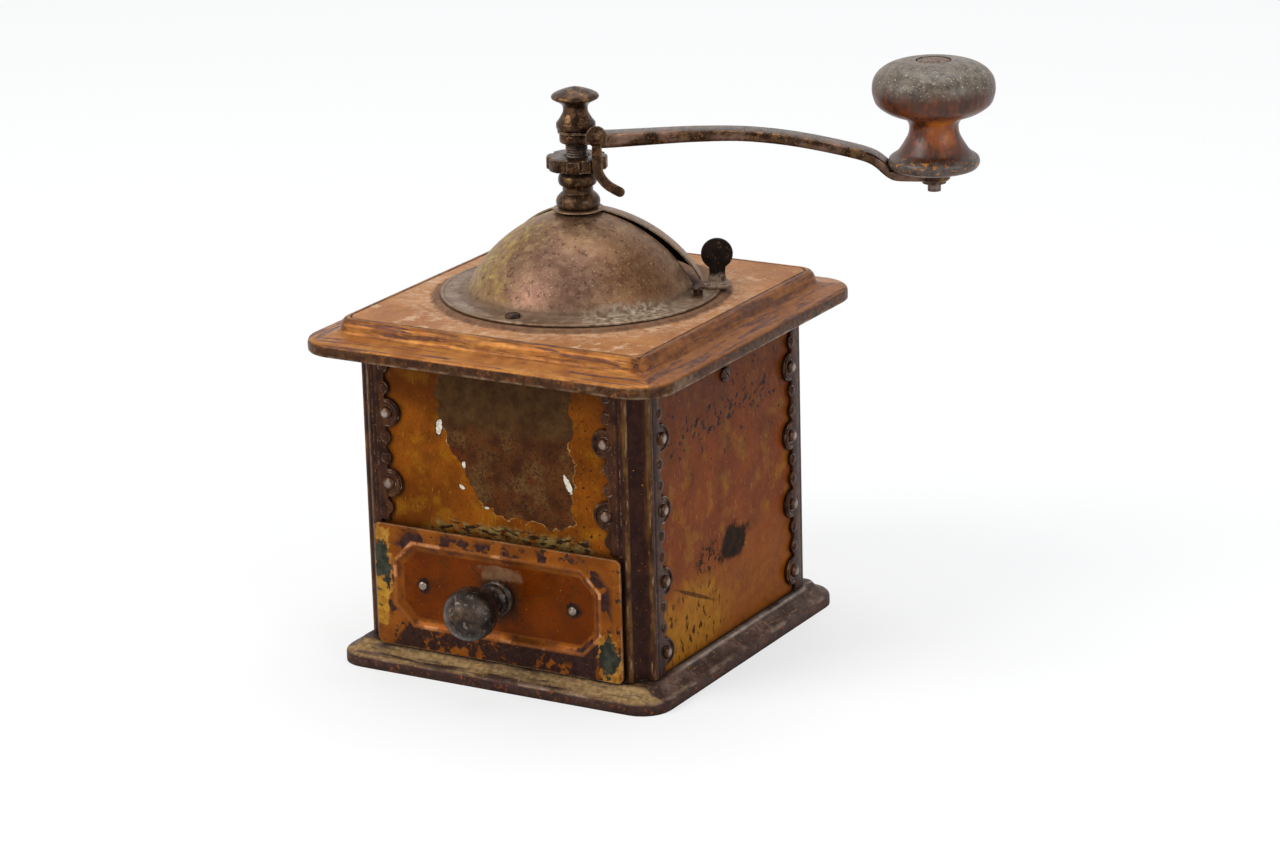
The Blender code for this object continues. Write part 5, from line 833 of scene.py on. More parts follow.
def cut_away(shape, tool):
    """Takes a tool's volume out of a mesh."""
    bodies = []
    for part in (shape, tool):
        mesh = bpy.data.meshes.new("blank")
        part.to_mesh(mesh)
        part.free()
        body = bpy.data.objects.new("blank", mesh)
        bpy.context.scene.collection.objects.link(body)
        bodies.append(body)
    work = bodies[0].modifiers.new("cut", "BOOLEAN")
    work.operation = "DIFFERENCE"
    work.solver = "EXACT"
    work.object = bodies[1]
    bpy.context.view_layer.update()
    result = bpy.data.meshes.new_from_object(bodies[0].evaluated_get(bpy.context.evaluated_depsgraph_get()))
    shape = bmesh.new()
    shape.from_mesh(result)
    for body in bodies:
        mesh = body.data
        bpy.data.objects.remove(body)
        bpy.data.meshes.remove(mesh)
    bpy.data.meshes.remove(result)
    return shape


def box_between(low, high):
    """A plain cutter between two corners."""
    shape = bmesh.new()
    bmesh.ops.create_cube(shape, size=1)
    bmesh.ops.scale(shape, verts=shape.verts, vec=Vector(high) - Vector(low))
    bmesh.ops.translate(shape, verts=shape.verts, vec=(Vector(high) + Vector(low)) / 2)
    return shape


def slotted_screw(tail, shank, head_low, head_radius, head_rise, slot_turn=0.4):
    """An iron screw standing upright: shank, low domed head and a saw-cut slot."""
    crown = eased([(head_radius, head_low + head_rise * 0.35), (head_radius * 0.86, head_low + head_rise * 0.72),
                   (head_radius * 0.5, head_low + head_rise * 0.95), (0, head_low + head_rise)], 3)
    profile = [(0, tail), (shank, tail), (shank, head_low),
               (head_radius, head_low)] + [tuple(point) for point in crown]
    half = head_radius * 0.13
    slot = box_between((-head_radius * 1.2, -half, head_low + head_rise * 0.55),
                       (head_radius * 1.2, half, head_low + head_rise * 1.5))
    bmesh.ops.rotate(slot, verts=slot.verts, cent=(0, 0, 0), matrix=Matrix.Rotation(slot_turn, 3, "Z"))
    return cut_away(turned(profile, 32), slot)


def screw_coat():
    coat = Coat("screw_iron", "1e1613", "3c2d26", 0.42, 0.6, 1.5)
    coat.lay(coat.blots(0.9, 0.56, 0.64), "5a3218", "784a24", 0.75, 0.0)
    coat.lay(coat.spots(coat.edges(0.0003, 0.05, 0.25), 1.0, 0.45, 0.55), "8c7e70", "b4a698", 0.3, 0.9)
    return coat.sealed(0.05, 0.4)


screw_finish = screw_coat()
for name, sign in (("right", 1), ("left", -1)):
    low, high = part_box(f"side_screw_{name}")
    reach = [low.x, high.x] if sign > 0 else [-high.x, -low.x]
    side_screw = slotted_screw(reach[0], 0.0012, reach[1] - 0.0012, 0.0026, 0.0012, 0.7)
    bmesh.ops.rotate(side_screw, verts=side_screw.verts, cent=(0, 0, 0),
                     matrix=Matrix.Rotation(math.radians(90), 3, "Y"))
    bmesh.ops.rotate(side_screw, verts=side_screw.verts, cent=(0, 0, 0),
                     matrix=Matrix.Rotation(math.radians(90 - 90 * sign), 3, "Z"))
    bmesh.ops.translate(side_screw, verts=side_screw.verts, vec=(0, 0, (low.z + high.z) / 2))
    fitted(f"wall_screw_{name}", side_screw, screw_finish, "mill", f"side_screw_{name}")


def hidden_iron_coat(name, dark="2e2520", light="4c3d33", metallic=0.4):
    """Iron that the weather never reached: dull, with light rust."""
    coat = Coat(name, dark, light, 0.55, metallic, 6.0)
    coat.lay(coat.blots(5.0, 0.54, 0.64), "5a3420", "78471f", 0.8, 0.0)
    coat.lay(coat.blots(1.4, 0.6, 0.68), "1c1512", "2a201b", 0.85, 0.0)
    return coat.sealed(0.07, 0.6, 0.1, 8.0)


bracket_finish = hidden_iron_coat("bracket_iron")
for node in ("lid_anchor_right", "lid_anchor_left"):
    recoated(node, bracket_finish)


# Lid
# One pressed sheet: a turned-down rim, a sloping border, a moulded step, and a flat panel inside a fine groove, with a
# low round seat for the dome. The paint is orange and worn to purple-brown in streaks, and dusty pink on the panel.
LID_OVERHANG = 0.0136
LID_CORNER = 0.0132
LID_FOLDS = ((0.0133, 0.10955), (0.0136, 0.1099), (0.0136, 0.1122), (0.01348, 0.1129), (0.0132, 0.11345),
             (0.0127, 0.11378),
             (0.0108, 0.11402), (0.0078, 0.1144), (0.0056, 0.11485), (0.0047, 0.11525), (0.0042, 0.1158), (0.0039, 0.1166),
             (0.0036, 0.1178), (0.0031, 0.1189), (0.0025, 0.1196), (0.0019, 0.11992), (0.0013, 0.11999))
LID_GROOVE = ((0.0010, 0.12), (0.0008, 0.11978), (0.00055, 0.1197), (0.0003, 0.11978), (0.0001, 0.12))
LID_SEAT = ((0.0499, 0.12001), (0.0495, 0.1201), (0.0491, 0.1206), (0.0487, 0.1209), (0.0481, 0.121))
MOUTH_RADIUS = 0.0305
LID_INSIDE = ((0.0005, 0.1192), (0.0018, 0.1187), (0.0034, 0.1154), (0.0046, 0.1145), (0.0114, 0.1132),
              (0.0128, 0.1121),
              (0.0128, 0.10955))


def lid_ring(shape, margin, height):
    corner = max(LID_CORNER - (LID_OVERHANG - margin) * 2 / 3, 0.0012)
    return rounded_ring(shape, HALF_X + margin, HALF_Y + margin, corner, height, 8)


def round_ring(shape, radius, height, steps=72):
    """Edges of a level circle."""
    verts = bmesh.ops.create_circle(shape, segments=steps, radius=radius)["verts"]
    bmesh.ops.translate(shape, verts=verts, vec=(0, 0, height))
    return list({edge for vert in verts for edge in vert.link_edges})


def press_lid():
    shape = bmesh.new()
    rings = [lid_ring(shape, margin, height) for margin, height in LID_FOLDS + LID_GROOVE]
    rings += [round_ring(shape, radius, height) for radius, height in LID_SEAT]
    rings += [round_ring(shape, MOUTH_RADIUS, 0.12101), round_ring(shape, MOUTH_RADIUS, 0.1202),
              round_ring(shape, 0.0478, 0.12019),
              round_ring(shape, 0.0488, 0.1192)]
    rings += [lid_ring(shape, margin, height) for margin, height in LID_INSIDE]
    return skinned(shape, rings, closed=True)


def lid_coat():
    coat = Coat("lid_lacquer", "854c1c", "a2682e", 0.36, 0.3, 12.0, gloss=1.22)
    split = coat.nodes.new("ShaderNodeSeparateXYZ")
    coat.links.new(coat.place, split.inputs[0])
    over_x = coat.maths("SUBTRACT", coat.maths("ABSOLUTE", split.outputs[0]), HALF_X)
    over_y = coat.maths("SUBTRACT", coat.maths("ABSOLUTE", split.outputs[1]), HALF_Y)
    margin = coat.maths("MAXIMUM", over_x, over_y)
    sideways = coat.ramp(coat.maths("SUBTRACT", over_x, over_y), -0.001, 0.001)
    frontal = coat.ramp(coat.maths("SUBTRACT", over_x, over_y), 0.001, -0.001)
    inside = coat.ramp(margin, 0.0011, 0.0004)
    outside = coat.ramp(margin, 0.0004, 0.0011)
    coat.lay(coat.spots(outside, 8.0, 0.46, 0.62, detail=7.0, share=0.8), "966024", "ac7436", 0.36, 0.3)
    # Painted shade: the right side of the border darker, away from the light.
    right = coat.both(coat.both(sideways, coat.beyond("X", 0.05, 0.056)), outside)
    coat.lay(coat.less(right, 0.75), "6a3e20", "84512a", 0.42, 0.25)
    for way, stretch, amount in ((frontal, (9, 0.6, 1), 0.56), (sideways, (0.6, 9, 1), 0.5)):
        streaks = coat.spots(way, 2.6, amount, amount + 0.05, stretch=stretch, detail=9.0)
        coat.lay(coat.both(outside, streaks), "4c2c22", "684438", 0.45, 0.3, -0.03)
        fine = coat.spots(way, 1.2, 0.54, 0.68, stretch=stretch, detail=9.0)
        coat.lay(coat.both(outside, coat.less(fine, 0.55)), "5c3820", "744a2a", 0.5, 0.2)
    cove = coat.both(coat.ramp(margin, 0.0054, 0.0046), outside)
    for way, stretch in ((frontal, (9, 1, 1)), (sideways, (1, 9, 1))):
        coat.lay(coat.spots(coat.both(cove, way), 1.6, 0.42, 0.6, stretch=stretch, detail=9.0, share=0.8),
                 "4e2a16", "6a3e20", 0.38, 0.3)
    coat.lay(inside, "8c5830", "a46e40", 0.5, 0.15, 0.0, 16.0)
    coat.lay(coat.spots(inside, 26.0, 0.46, 0.62, detail=5.0, share=0.8), "9a6638", "ac7c50", 0.6, 0.1)
    coat.lay(coat.spots(inside, 1.3, 0.5, 0.66, detail=9.0, share=0.6), "b48c66", "75492a", 0.65, 0.0, 0.0, 0.9)
    coat.lay(coat.spots(inside, 3.0, 0.56, 0.68, stretch=(2, 2, 1), detail=8.0, share=0.7), "bc9a7a", "c8a888",
             0.75)
    ring = coat.both(inside, coat.patch((0, 0, 0.12), (0.0585, 0.0585, 0.02), 0.1, 9.0, 0.1))
    coat.lay(coat.less(coat.spots(ring, 2.0, 0.36, 0.6, detail=9.0), 0.6), "a88264", "c0a084", 0.8, 0.0, 0.03)
    # Painted shadow of the dome: a darker ring round its seat.
    dome_shadow = coat.both(inside, coat.patch((0, 0, 0.12), (0.0505, 0.0505, 0.02), 0.02, 4.0, 0.02))
    coat.lay(coat.less(dome_shadow, 0.85), "4e3426", "6a4c38", 0.7)
    # Painted shade: a dark line along the fine groove round the panel.
    groove_shade = coat.both(coat.beyond("Z", 0.11995, 0.1198), coat.ramp(margin, 0.0013, 0.0009))
    coat.lay(groove_shade, "2a1810", "40281a", 0.6)
    rim = coat.beyond("Z", 0.1136, 0.1128)
    coat.lay(coat.less(rim, 0.95), "301c12", "48301f", 0.36, 0.5)
    coat.lay(coat.spots(rim, 1.8, 0.54, 0.62, detail=8.0, share=0.8), "5c3218", "74441f", 0.5, 0.2)
    coat.lay(coat.spots(rim, 1.0, 0.6, 0.68), "1c110d", "2c1c15", 0.6, 0.1)
    coat.lay(coat.spots(coat.edges(0.0014, 0.015, 0.1), 3.0, 0.46, 0.62, detail=7.0, share=0.75), "7c5230",
             "a0764c", 0.32, 0.5)
    lower_edge = coat.beyond("Z", 0.1107, 0.1099)
    coat.lay(coat.spots(lower_edge, 7.0, 0.44, 0.6, detail=7.0, share=0.7), "6a5440", "937c64", 0.3, 0.8)
    # Painted highlight on the rim at the front right corner, over worn bare metal.
    worn_corner_highlight = coat.patch((0.066, -0.069, 0.1115), (0.022, 0.022, 0.003), 0.3, 4.0, 0.3)
    coat.lay(coat.spots(coat.both(worn_corner_highlight, rim), 5.0, 0.46, 0.64, detail=7.0, share=0.5), "745c46", "94795e",
             0.28, 0.85)
    coat.lay(coat.less(coat.blots(0.8, 0.66, 0.72), 0.8), "35200f", "4c3018", 0.6)
    # Painted shade, with dirt, in the lid's hollows and against the dome.
    coat.lay(coat.less(coat.hollow_shade(0.004, 0.3, 0.8, False), 0.7), "2c1a10", "40281a", 0.7, 0.0)
    return coat.sealed(0.06, 0.55, 0.3, 16.0)


fitted("lid_pressing", press_lid(), lid_coat(), "mill", "lid")


# Hopper dome
# Raised from sheet with a flat flange, and open at the back and right, where the door turns. Two of its three screws
# are driven home, and the third stands up a little as a stop for the door. Brown-bronze, lighter on the left as a
# painted highlight and darker on the right as painted shade, painted black inside for shade, with a dusty flange.
DOME_FLANGE = 0.047
DOME_SHEET = 0.0007
DOME_ROUNDNESS = 1.72
DOME_CENTRE = 0.1152
DOME_RISE = 0.03395
NECK_HOLE = 0.0053
FLANGE_FOOT = 0.1213
DOME_START = math.radians(158)
DOME_SWEEP = math.radians(224)
SCREW_CIRCLE = 0.0415


def shell_line(radius, rise, low, inner, steps=26):
    """Points up a spun shell's wall, from its foot to the hole at its top."""
    power = 2 / DOME_ROUNDNESS
    start = math.asin(((low - DOME_CENTRE) / rise) ** (1 / power))
    end = math.acos((inner / radius) ** (1 / power))
    angles = [start + (end - start) * step / steps for step in range(steps + 1)]
    return [(radius * math.cos(angle) ** power,
             DOME_CENTRE + rise * math.sin(angle) ** power) for angle in angles]


def spin_dome():
    flange = FLANGE_FOOT + DOME_SHEET
    outer = shell_line(0.0397, DOME_RISE, flange + 0.0015, NECK_HOLE)
    inner = shell_line(0.0397 - DOME_SHEET, DOME_RISE - DOME_SHEET, flange, NECK_HOLE)
    fold = eased([(outer[0][0] + 0.0018, flange), (outer[0][0] + 0.0009, flange + 0.0002),
                  (outer[0][0] + 0.0003, flange + 0.0007), outer[0]], 3)
    profile = [(DOME_FLANGE - 0.0001, FLANGE_FOOT), (DOME_FLANGE, FLANGE_FOOT + 0.0002),
               (DOME_FLANGE, flange - 0.0001),
               (DOME_FLANGE - 0.00025, flange + 0.00012), (DOME_FLANGE - 0.0008, flange + 0.0001), (DOME_FLANGE - 0.0016, flange)]
    profile += [tuple(point) for point in fold] + outer[1:] + list(reversed(inner)) + [(inner[0][0] + 0.0003, FLANGE_FOOT)]
    return turned(profile, 112, True, DOME_START, DOME_SWEEP)


def dome_coat(name="dome_bronze"):
    coat = Coat(name, "5e4230", "7c5e46", 0.4, 0.6, 16.0)
    coat.lay(coat.less(coat.blots(20.0, 0.46, 0.62, detail=6.0), 0.8), "6a4c3a", "866850", 0.4, 0.6)
    # Painted highlight: the left of the dome lighter, over golden patina.
    left = coat.patch((-0.034, -0.016, 0.132), (0.026, 0.036, 0.03), 0.35, 12.0, 0.4)
    coat.lay(coat.less(left, 0.75), "7a5c34", "947448", 0.46, 0.5)
    coat.lay(coat.less(coat.blots(4.0, 0.5, 0.64, detail=9.0), 0.6), "86684a", "a08462", 0.5, 0.45, 0.01)
    coat.lay(coat.spots(left, 3.4, 0.5, 0.6, detail=9.0), "8e763c", "a48c52", 0.5, 0.4, 0.01)
    middle = coat.patch((0.01, -0.036, 0.134), (0.022, 0.02, 0.013), 0.45, 9.0, 0.4)
    coat.lay(coat.less(middle, 0.65), "553c34", "6e5248", 0.34, 0.7)
    # Painted shade: the right of the dome darker.
    right = coat.patch((0.034, -0.012, 0.134), (0.014, 0.02, 0.018), 0.4, 9.0, 0.4)
    coat.lay(coat.less(right, 0.75), "54341f", "6c4a30", 0.38, 0.6)
    coat.lay(coat.less(coat.blots(1.8, 0.56, 0.66, detail=9.0), 0.7), "3e2820", "4e3428", 0.45, 0.4)
    coat.lay(coat.less(coat.blots(0.7, 0.6, 0.7), 0.7), "a08a64", "b49e78", 0.6, 0.2)
    low = coat.beyond("Z", 0.1265, 0.1222, 0.0012, 5.0)
    coat.lay(coat.less(low, 0.6), "6e5442", "86705c", 0.6, 0.2)
    flange = coat.beyond("Z", 0.1226, 0.1222)
    coat.lay(flange, "644c3a", "7e6650", 0.4, 0.5, 0.0, 7.0)
    coat.lay(coat.spots(flange, 5.0, 0.5, 0.66, detail=8.0, share=0.6), "8e7a66", "a4907c", 0.5, 0.3)
    coat.lay(coat.spots(flange, 1.5, 0.58, 0.68, detail=8.0, share=0.7), "3a261a", "4a3424", 0.5, 0.3)
    coat.lay(coat.spots(coat.edges(0.0006, 0.03, 0.15), 2.0, 0.44, 0.58), "8a7054", "ac9474", 0.36, 0.7)
    return coat


def fixed_dome_coat():
    coat = dome_coat()
    seam = coat.patch((0, 0, 0.122), (0.0412, 0.0412, 0.004), 0.03, 3.0, 0.03)
    coat.lay(coat.both(seam, coat.less(coat.beyond("Z", 0.1245, 0.1222), 0.6)), "4e3c30", "66503c", 0.6, 0.2)
    dusty = coat.spots(coat.patch((0.034, -0.026, 0.122), (0.016, 0.018, 0.003), 0.4, 5.0, 0.4), 2.0, 0.4, 0.6,
                       detail=8.0)
    coat.lay(coat.less(dusty, 0.7), "988672", "b4a48e", 0.8, 0.0, 0.03)
    # Painted shade: the inside of the shell near black.
    coat.lay(coat.inner_side((0, 0, 0.118)), "0b0807", "15100d", 0.8, 0.0)
    return coat.sealed(0.035, 0.5, 0.12, 7.0)


fitted("dome_raised", spin_dome(), fixed_dome_coat(), "mill", "dome_shell", 50)
for name, azimuth in (("front", -92), ("right", 10), ("left", 170)):
    low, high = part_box(f"dome_screw_{name}")
    dome_screw = slotted_screw(low.z, 0.0016, high.z - 0.0012, 0.0026, 0.0012, 0.9)
    place = (SCREW_CIRCLE * math.cos(math.radians(azimuth)), SCREW_CIRCLE * math.sin(math.radians(azimuth)), 0)
    bmesh.ops.translate(dome_screw, verts=dome_screw.verts, vec=place)
    fitted(f"flange_screw_{name}", dome_screw, screw_finish, "mill", f"dome_screw_{name}")
    recoated(f"dome_nut_{name}", bracket_finish)


# Hopper bowl, upper bridge and the two screws below
# The bowl hangs under the lid from the dome's screws. A bent flat bar spans the mouth and carries the neck. Both are
# dark with coffee oil and a film of dust, and the bowl is painted near black as shade, so that the gap beside the door
# looks black.
def bowl_coat():
    # Painted shade: the bowl near black, over its coffee oil.
    coat = Coat("bowl_iron", "17110e", "291f18", 0.7, 0.2, 9.0)
    coat.lay(coat.blots(7.0, 0.5, 0.62), "24160d", "332013", 0.85, 0.0, 0.03)
    coat.lay(coat.blots(1.5, 0.6, 0.68), "1a1310", "281e18", 0.9, 0.0)
    return coat.sealed(0.08, 0.6, 0.1, 9.0)


recoated("hopper_bowl", bowl_coat())
bridge_finish = hidden_iron_coat("bridge_iron", "3a2d25", "5a4a3e", 0.5)
for node in ("upper_bridge", "burr_bridge", "bridge_screw_left", "bridge_screw_right"):
    recoated(node, bridge_finish)


# Neck bearing
# Turned iron with two bulbs and a waist, on a spigot that goes down through the dome to the upper bridge. Dark with
# old oil and rust, rubbed bright on the widest line of each bulb.
def bulb(radius, height, low):
    shares = ((0.84, 0.0), (0.93, 0.04), (0.985, 0.16), (1.0, 0.34), (0.985, 0.5), (0.94, 0.64), (0.86, 0.78),
              (0.79, 0.88))
    return [tuple(point) for point in eased([(radius * across, low + height * up) for across, up in shares], 3)]


def turn_neck():
    profile = [(0.0038, 0.130028), (0.005, 0.130028), (0.005, 0.149728)]
    profile += bulb(0.0074, 0.0054, 0.149728)
    profile += [(0.0052, 0.1548), (0.0051, 0.1552), (0.0051, 0.1568), (0.0053, 0.1572)]
    profile += bulb(0.0065, 0.0053, 0.157328)
    profile += [(0.0052, 0.162628), (0.0038, 0.162628)]
    return turned(profile, 64, True)


def iron_coat(name, worn=0.5):
    """Turned or forged iron handled for years: near black, with rust in the pores and rubbed edges."""
    coat = Coat(name, "26180f", "443226", 0.28, 0.8, 4.0)
    coat.lay(coat.less(coat.blots(3.0, 0.48, 0.62), 0.8), "523a24", "6e5236", 0.32, 0.75)
    coat.lay(coat.less(coat.blots(1.0, 0.58, 0.66, detail=8.0), 0.8), "5e3a20", "74502e", 0.6, 0.2, 0.01)
    coat.lay(coat.blots(0.7, 0.6, 0.68), "17100d", "251a15", 0.6, 0.3, -0.02)
    rubbed = coat.spots(coat.edges(0.0009, 0.02, 0.14), 1.8, 0.42, 0.58)
    coat.lay(coat.less(rubbed, worn), "8a7058", "b09a80", 0.26, 0.9)
    # Painted shade, with dirt, in the hollows and against neighbouring parts.
    coat.lay(coat.less(coat.hollow_shade(0.003, 0.3, 0.8, False), 0.9), "100b09", "20160f", 0.7, 0.1)
    return coat


neck_finish = iron_coat("neck_iron").sealed(0.07, 0.5, 0.1, 3.0)
fitted("neck_turning", turn_neck(), neck_finish, "mill", "neck_bearing", 55)


# Burrs, their spring and spindle
# Cast burrs with ground teeth, a coil spring under the inner one, and a turned spindle up through the neck. The thread
# shows between nut and crank, dark with oil and painted shade in its grooves.
def burr_coat():
    coat = Coat("burr_casting", "3a3532", "5c5550", 0.5, 0.75, 3.0)
    coat.lay(coat.blots(2.2, 0.54, 0.64), "3e2a1c", "523822", 0.8, 0.0, 0.03)
    coat.lay(coat.spots(coat.edges(0.0004, 0.05, 0.2), 1.2, 0.4, 0.55), "b0aaa4", "d0cac4", 0.25, 0.95)
    return coat.sealed(0.09, 0.5)


def spindle_coat():
    coat = Coat("spindle_steel", "4c423c", "746860", 0.36, 0.85, 2.0)
    coat.lay(coat.blots(1.4, 0.52, 0.62), "5a3a24", "6e4a2e", 0.7, 0.1)
    # Painted shade, with oil, in the grooves of the thread.
    coat.lay(coat.hollow_shade(0.0008, 0.3, 0.8), "17110e", "2a1f19", 0.6, 0.2)
    return coat.sealed(0.04, 0.4)


burr_finish = burr_coat()
for node in ("burr_ring", "inner_burr"):
    recoated(node, burr_finish)
spindle_finish = spindle_coat()
for node in ("spindle", "burr_nut", "spring_washer", "thrust_spring"):
    recoated(node, spindle_finish)


# Adjusting nut
# A notched iron disc on the spindle's thread, turned by hand to set the grind and held by the pawl in one notch.
NUT_LOW = 0.162928
NUT_TOP = 0.167228


def mill_nut():
    profile = [(0.0041, NUT_LOW), (0.0098, NUT_LOW), (0.0102, NUT_LOW + 0.0004), (0.0102, NUT_TOP - 0.0006),
               (0.01005, NUT_TOP - 0.0002),
               (0.0096, NUT_TOP), (0.0066, NUT_TOP - 0.0001), (0.006, NUT_TOP), (0.0041, NUT_TOP)]
    shape = turned(profile, 96, True)
    notches = bmesh.new()
    for index in range(8):
        drill = bmesh.new()
        bmesh.ops.create_cone(drill, cap_ends=True, segments=24, radius1=0.0019, radius2=0.0019, depth=0.01)
        joined(notches, drill,
               Matrix.Rotation(math.tau * (index + 1) / 8, 4, "Z") @ Matrix.Translation((0.0106, 0, (NUT_LOW + NUT_TOP) / 2)))
    return broken_edges(cut_away(shape, notches), 0.00025, 50, 2)


iron_finish = iron_coat("forged_iron", 0.7).sealed(0.08, 0.5, 0.15, 4.0)
fitted("notched_nut", mill_nut(), iron_finish, "nut", "adjusting_nut", 45)


# Crank arm
# Forged from a flat bar: level at the hub, a long low arch, then a bend down and a flat eye under the knob. Dark iron
# with fine rust, brown where hands held it, bright along its upper edges.
CRANK_TURN = math.radians(22)
CRANK_REACH = 0.1184
KNOB_FOOT = 0.015
ARM_CENTRE = 0.173328
ARM_DROP = 0.0118
ARM_LINE = ((0.0344, 0.0), (0.0973, 0.0), (0.1947, -0.045), (0.3389, -0.115), (0.426, -0.136), (0.497, -0.14),
            (0.5725, -0.115), (0.6573, -0.045), (0.7351, 0.055), (0.8153, 0.19), (0.8702, 0.297), (0.9206, 0.41),
            (0.9527, 0.52), (0.9767, 0.665), (0.9962, 0.826), (1.108, 0.945), (1.274, 0.995), (1.882, 1.0))


def bar_ring(shape, along, height, slope, width, thick):
    """Edges of the bar's section, square to its line, with round corners."""
    edges = rounded_ring(shape, thick / 2, width / 2, thick * 0.34, 0, 4)
    verts = list({vert for edge in edges for vert in edge.verts})
    turn = Matrix.Rotation(-slope, 4, "Y") @ Matrix.Rotation(math.radians(90), 4, "Y")
    bmesh.ops.transform(shape, matrix=Matrix.Translation((along, 0, height)) @ turn, verts=verts)
    return edges


def forge_arm():
    shape = bmesh.new()
    reach = CRANK_REACH - KNOB_FOOT
    line = []
    for share, drop in ARM_LINE:
        line.append((reach * min(share, 1) + KNOB_FOOT * max(share - 1, 0), ARM_CENTRE - drop * ARM_DROP))
    line = eased(line, 3)
    rings = []
    for index, point in enumerate(line):
        before, after = line[max(index - 1, 0)], line[min(index + 1, len(line) - 1)]
        slope = math.atan2(after.y - before.y, after.x - before.x)
        share = point.x / CRANK_REACH
        heavier = 0.0013 * max(0, 1 - 2.2 * share)
        rings.append(bar_ring(shape, point.x, point.y - heavier / 2, slope, 0.0092,
                              0.0038 - 0.0005 * share + heavier))
    skinned(shape, rings)
    bmesh.ops.edgeloop_fill(shape, edges=[edge for edge in shape.edges if edge.is_boundary])
    bmesh.ops.recalc_face_normals(shape, faces=shape.faces)
    top, low = ARM_CENTRE + 0.00155, ARM_CENTRE - 0.00155
    clear = turned([(0, top), (0.0092, top), (0.0092, top + 0.002), (0, top + 0.002)], 48)
    joined(clear, turned([(0, low - 0.002), (0.0092, low - 0.002), (0.0092, low), (0, low)], 48))
    shape = cut_away(shape, clear)
    end = Matrix.Translation((CRANK_REACH, 0, 0))
    end_top, end_low = 0.163178, 0.159878
    under_knob = turned([(0, end_top), (KNOB_FOOT + 0.0003, end_top), (KNOB_FOOT + 0.0003, end_top + 0.0059),
                         (0, end_top + 0.0059)], 64)
    under_knob.transform(end)
    shape = cut_away(shape, under_knob)
    bores = turned([(0, low - 0.003), (0.0031, low - 0.003), (0.0031, top + 0.003), (0, top + 0.003)], 40)
    joined(bores,
           turned([(0, end_low - 0.002), (0.0025, end_low - 0.002), (0.0025, end_top + 0.002),
                   (0, end_top + 0.002)], 32), end)
    shape = cut_away(shape, bores)
    eye = turned([(0.0031, low + 0.0002), (0.0052, low), (0.0056, low + 0.0004), (0.0056, top - 0.0004),
                  (0.0052, top), (0.0031, top - 0.0002)], 48, True)
    joined(shape, eye)
    joined(shape,
           turned([(0.0025, end_low), (0.0049, end_low), (0.0053, end_low + 0.0004), (0.0053, end_top - 0.0002),
                          (0.0051, end_top), (0.0025, end_top)], 48, True), end)
    bmesh.ops.rotate(shape, verts=shape.verts, cent=(0, 0, 0), matrix=Matrix.Rotation(CRANK_TURN, 3, "Z"))
    return shape


def arm_coat():
    coat = iron_coat("crank_iron", 0.6)
    coat.lay(coat.less(coat.blots(6.0, 0.46, 0.62, stretch=(2, 2, 1)), 0.7), "6a4e40", "84685a", 0.38, 0.6)
    coat.lay(coat.blots(0.8, 0.62, 0.7), "7a4e2e", "94683e", 0.7, 0.1)
    return coat.sealed(0.07, 0.45, 0.15, 5.0)


fitted("crank_forging", forge_arm(), arm_coat(), "crank", "crank_arm", 50)


# Pawl
# A sheet ring with a tongue sits under the finial nut, and a springy finger hangs from it into a notch of the nut,
# with a round riveted head and a curled tip.
PAWL_TURN = math.radians(30)
PAWL_OFFSET = 0.0068
PAWL_SHEET = 0.0009
PAWL_FACE = 0.00915
PAWL_HINGE = 0.175628
PAWL_LINE = ((0.0, 0.1), (0.0, 0.3), (0.0, 0.5), (0.05, 0.64), (0.22, 0.77), (0.52, 0.89), (1.0, 1.0))


def bend_pawl():
    """The finger, drawn as a flat strip with a round head and tip, then stood beside the nut."""
    line = eased([(PAWL_OFFSET + across * 0.0072, -down * 0.019) for across, down in PAWL_LINE], 4)
    left, right = [], []
    for index, point in enumerate(line):
        ahead = (line[min(index + 1, len(line) - 1)] - line[max(index - 1, 0)]).normalized()
        side = Vector((-ahead.y, ahead.x)) * 0.00165
        left.append(point + side)
        right.append(point - side)
    heading = (line[-1] - line[-2]).normalized()
    tip = []
    for step in range(1, 10):
        turn = math.radians(180) * step / 10
        tip.append(line[-1] + (Vector((-heading.y, heading.x)) * math.cos(turn) + heading * math.sin(turn)) * 0.00165)
    shape = bmesh.new()
    raised_from(shape, [(point.x, point.y, 0) for point in left + tip + right[::-1]], (0, 0, PAWL_SHEET))
    broken_edges(shape, 0.00022, 60, 2)
    head = turned([(0, 0.0), (0.0034, 0.0), (0.0035, 0.0001), (0.0035, 0.0008), (0.0033, 0.00095),
                   (0.0018, 0.00105), (0.0014, 0.0015),
                   (0.0007, 0.0018), (0, 0.00185)], 36)
    joined(shape, head, Matrix.Translation((PAWL_OFFSET, 0, 0)))
    out_x, out_y = math.cos(PAWL_TURN - math.radians(90)) * PAWL_FACE, math.sin(PAWL_TURN - math.radians(90)) * PAWL_FACE
    turn = Matrix.Rotation(PAWL_TURN, 4, "Z") @ Matrix.Rotation(math.radians(90), 4, "X")
    shape.transform(Matrix.Translation((out_x, out_y, PAWL_HINGE)) @ turn)
    return shape


recoated("pawl_ring", iron_finish)
fitted("pawl_strip", bend_pawl(), iron_finish, "pawl", "pawl_finger", 50)


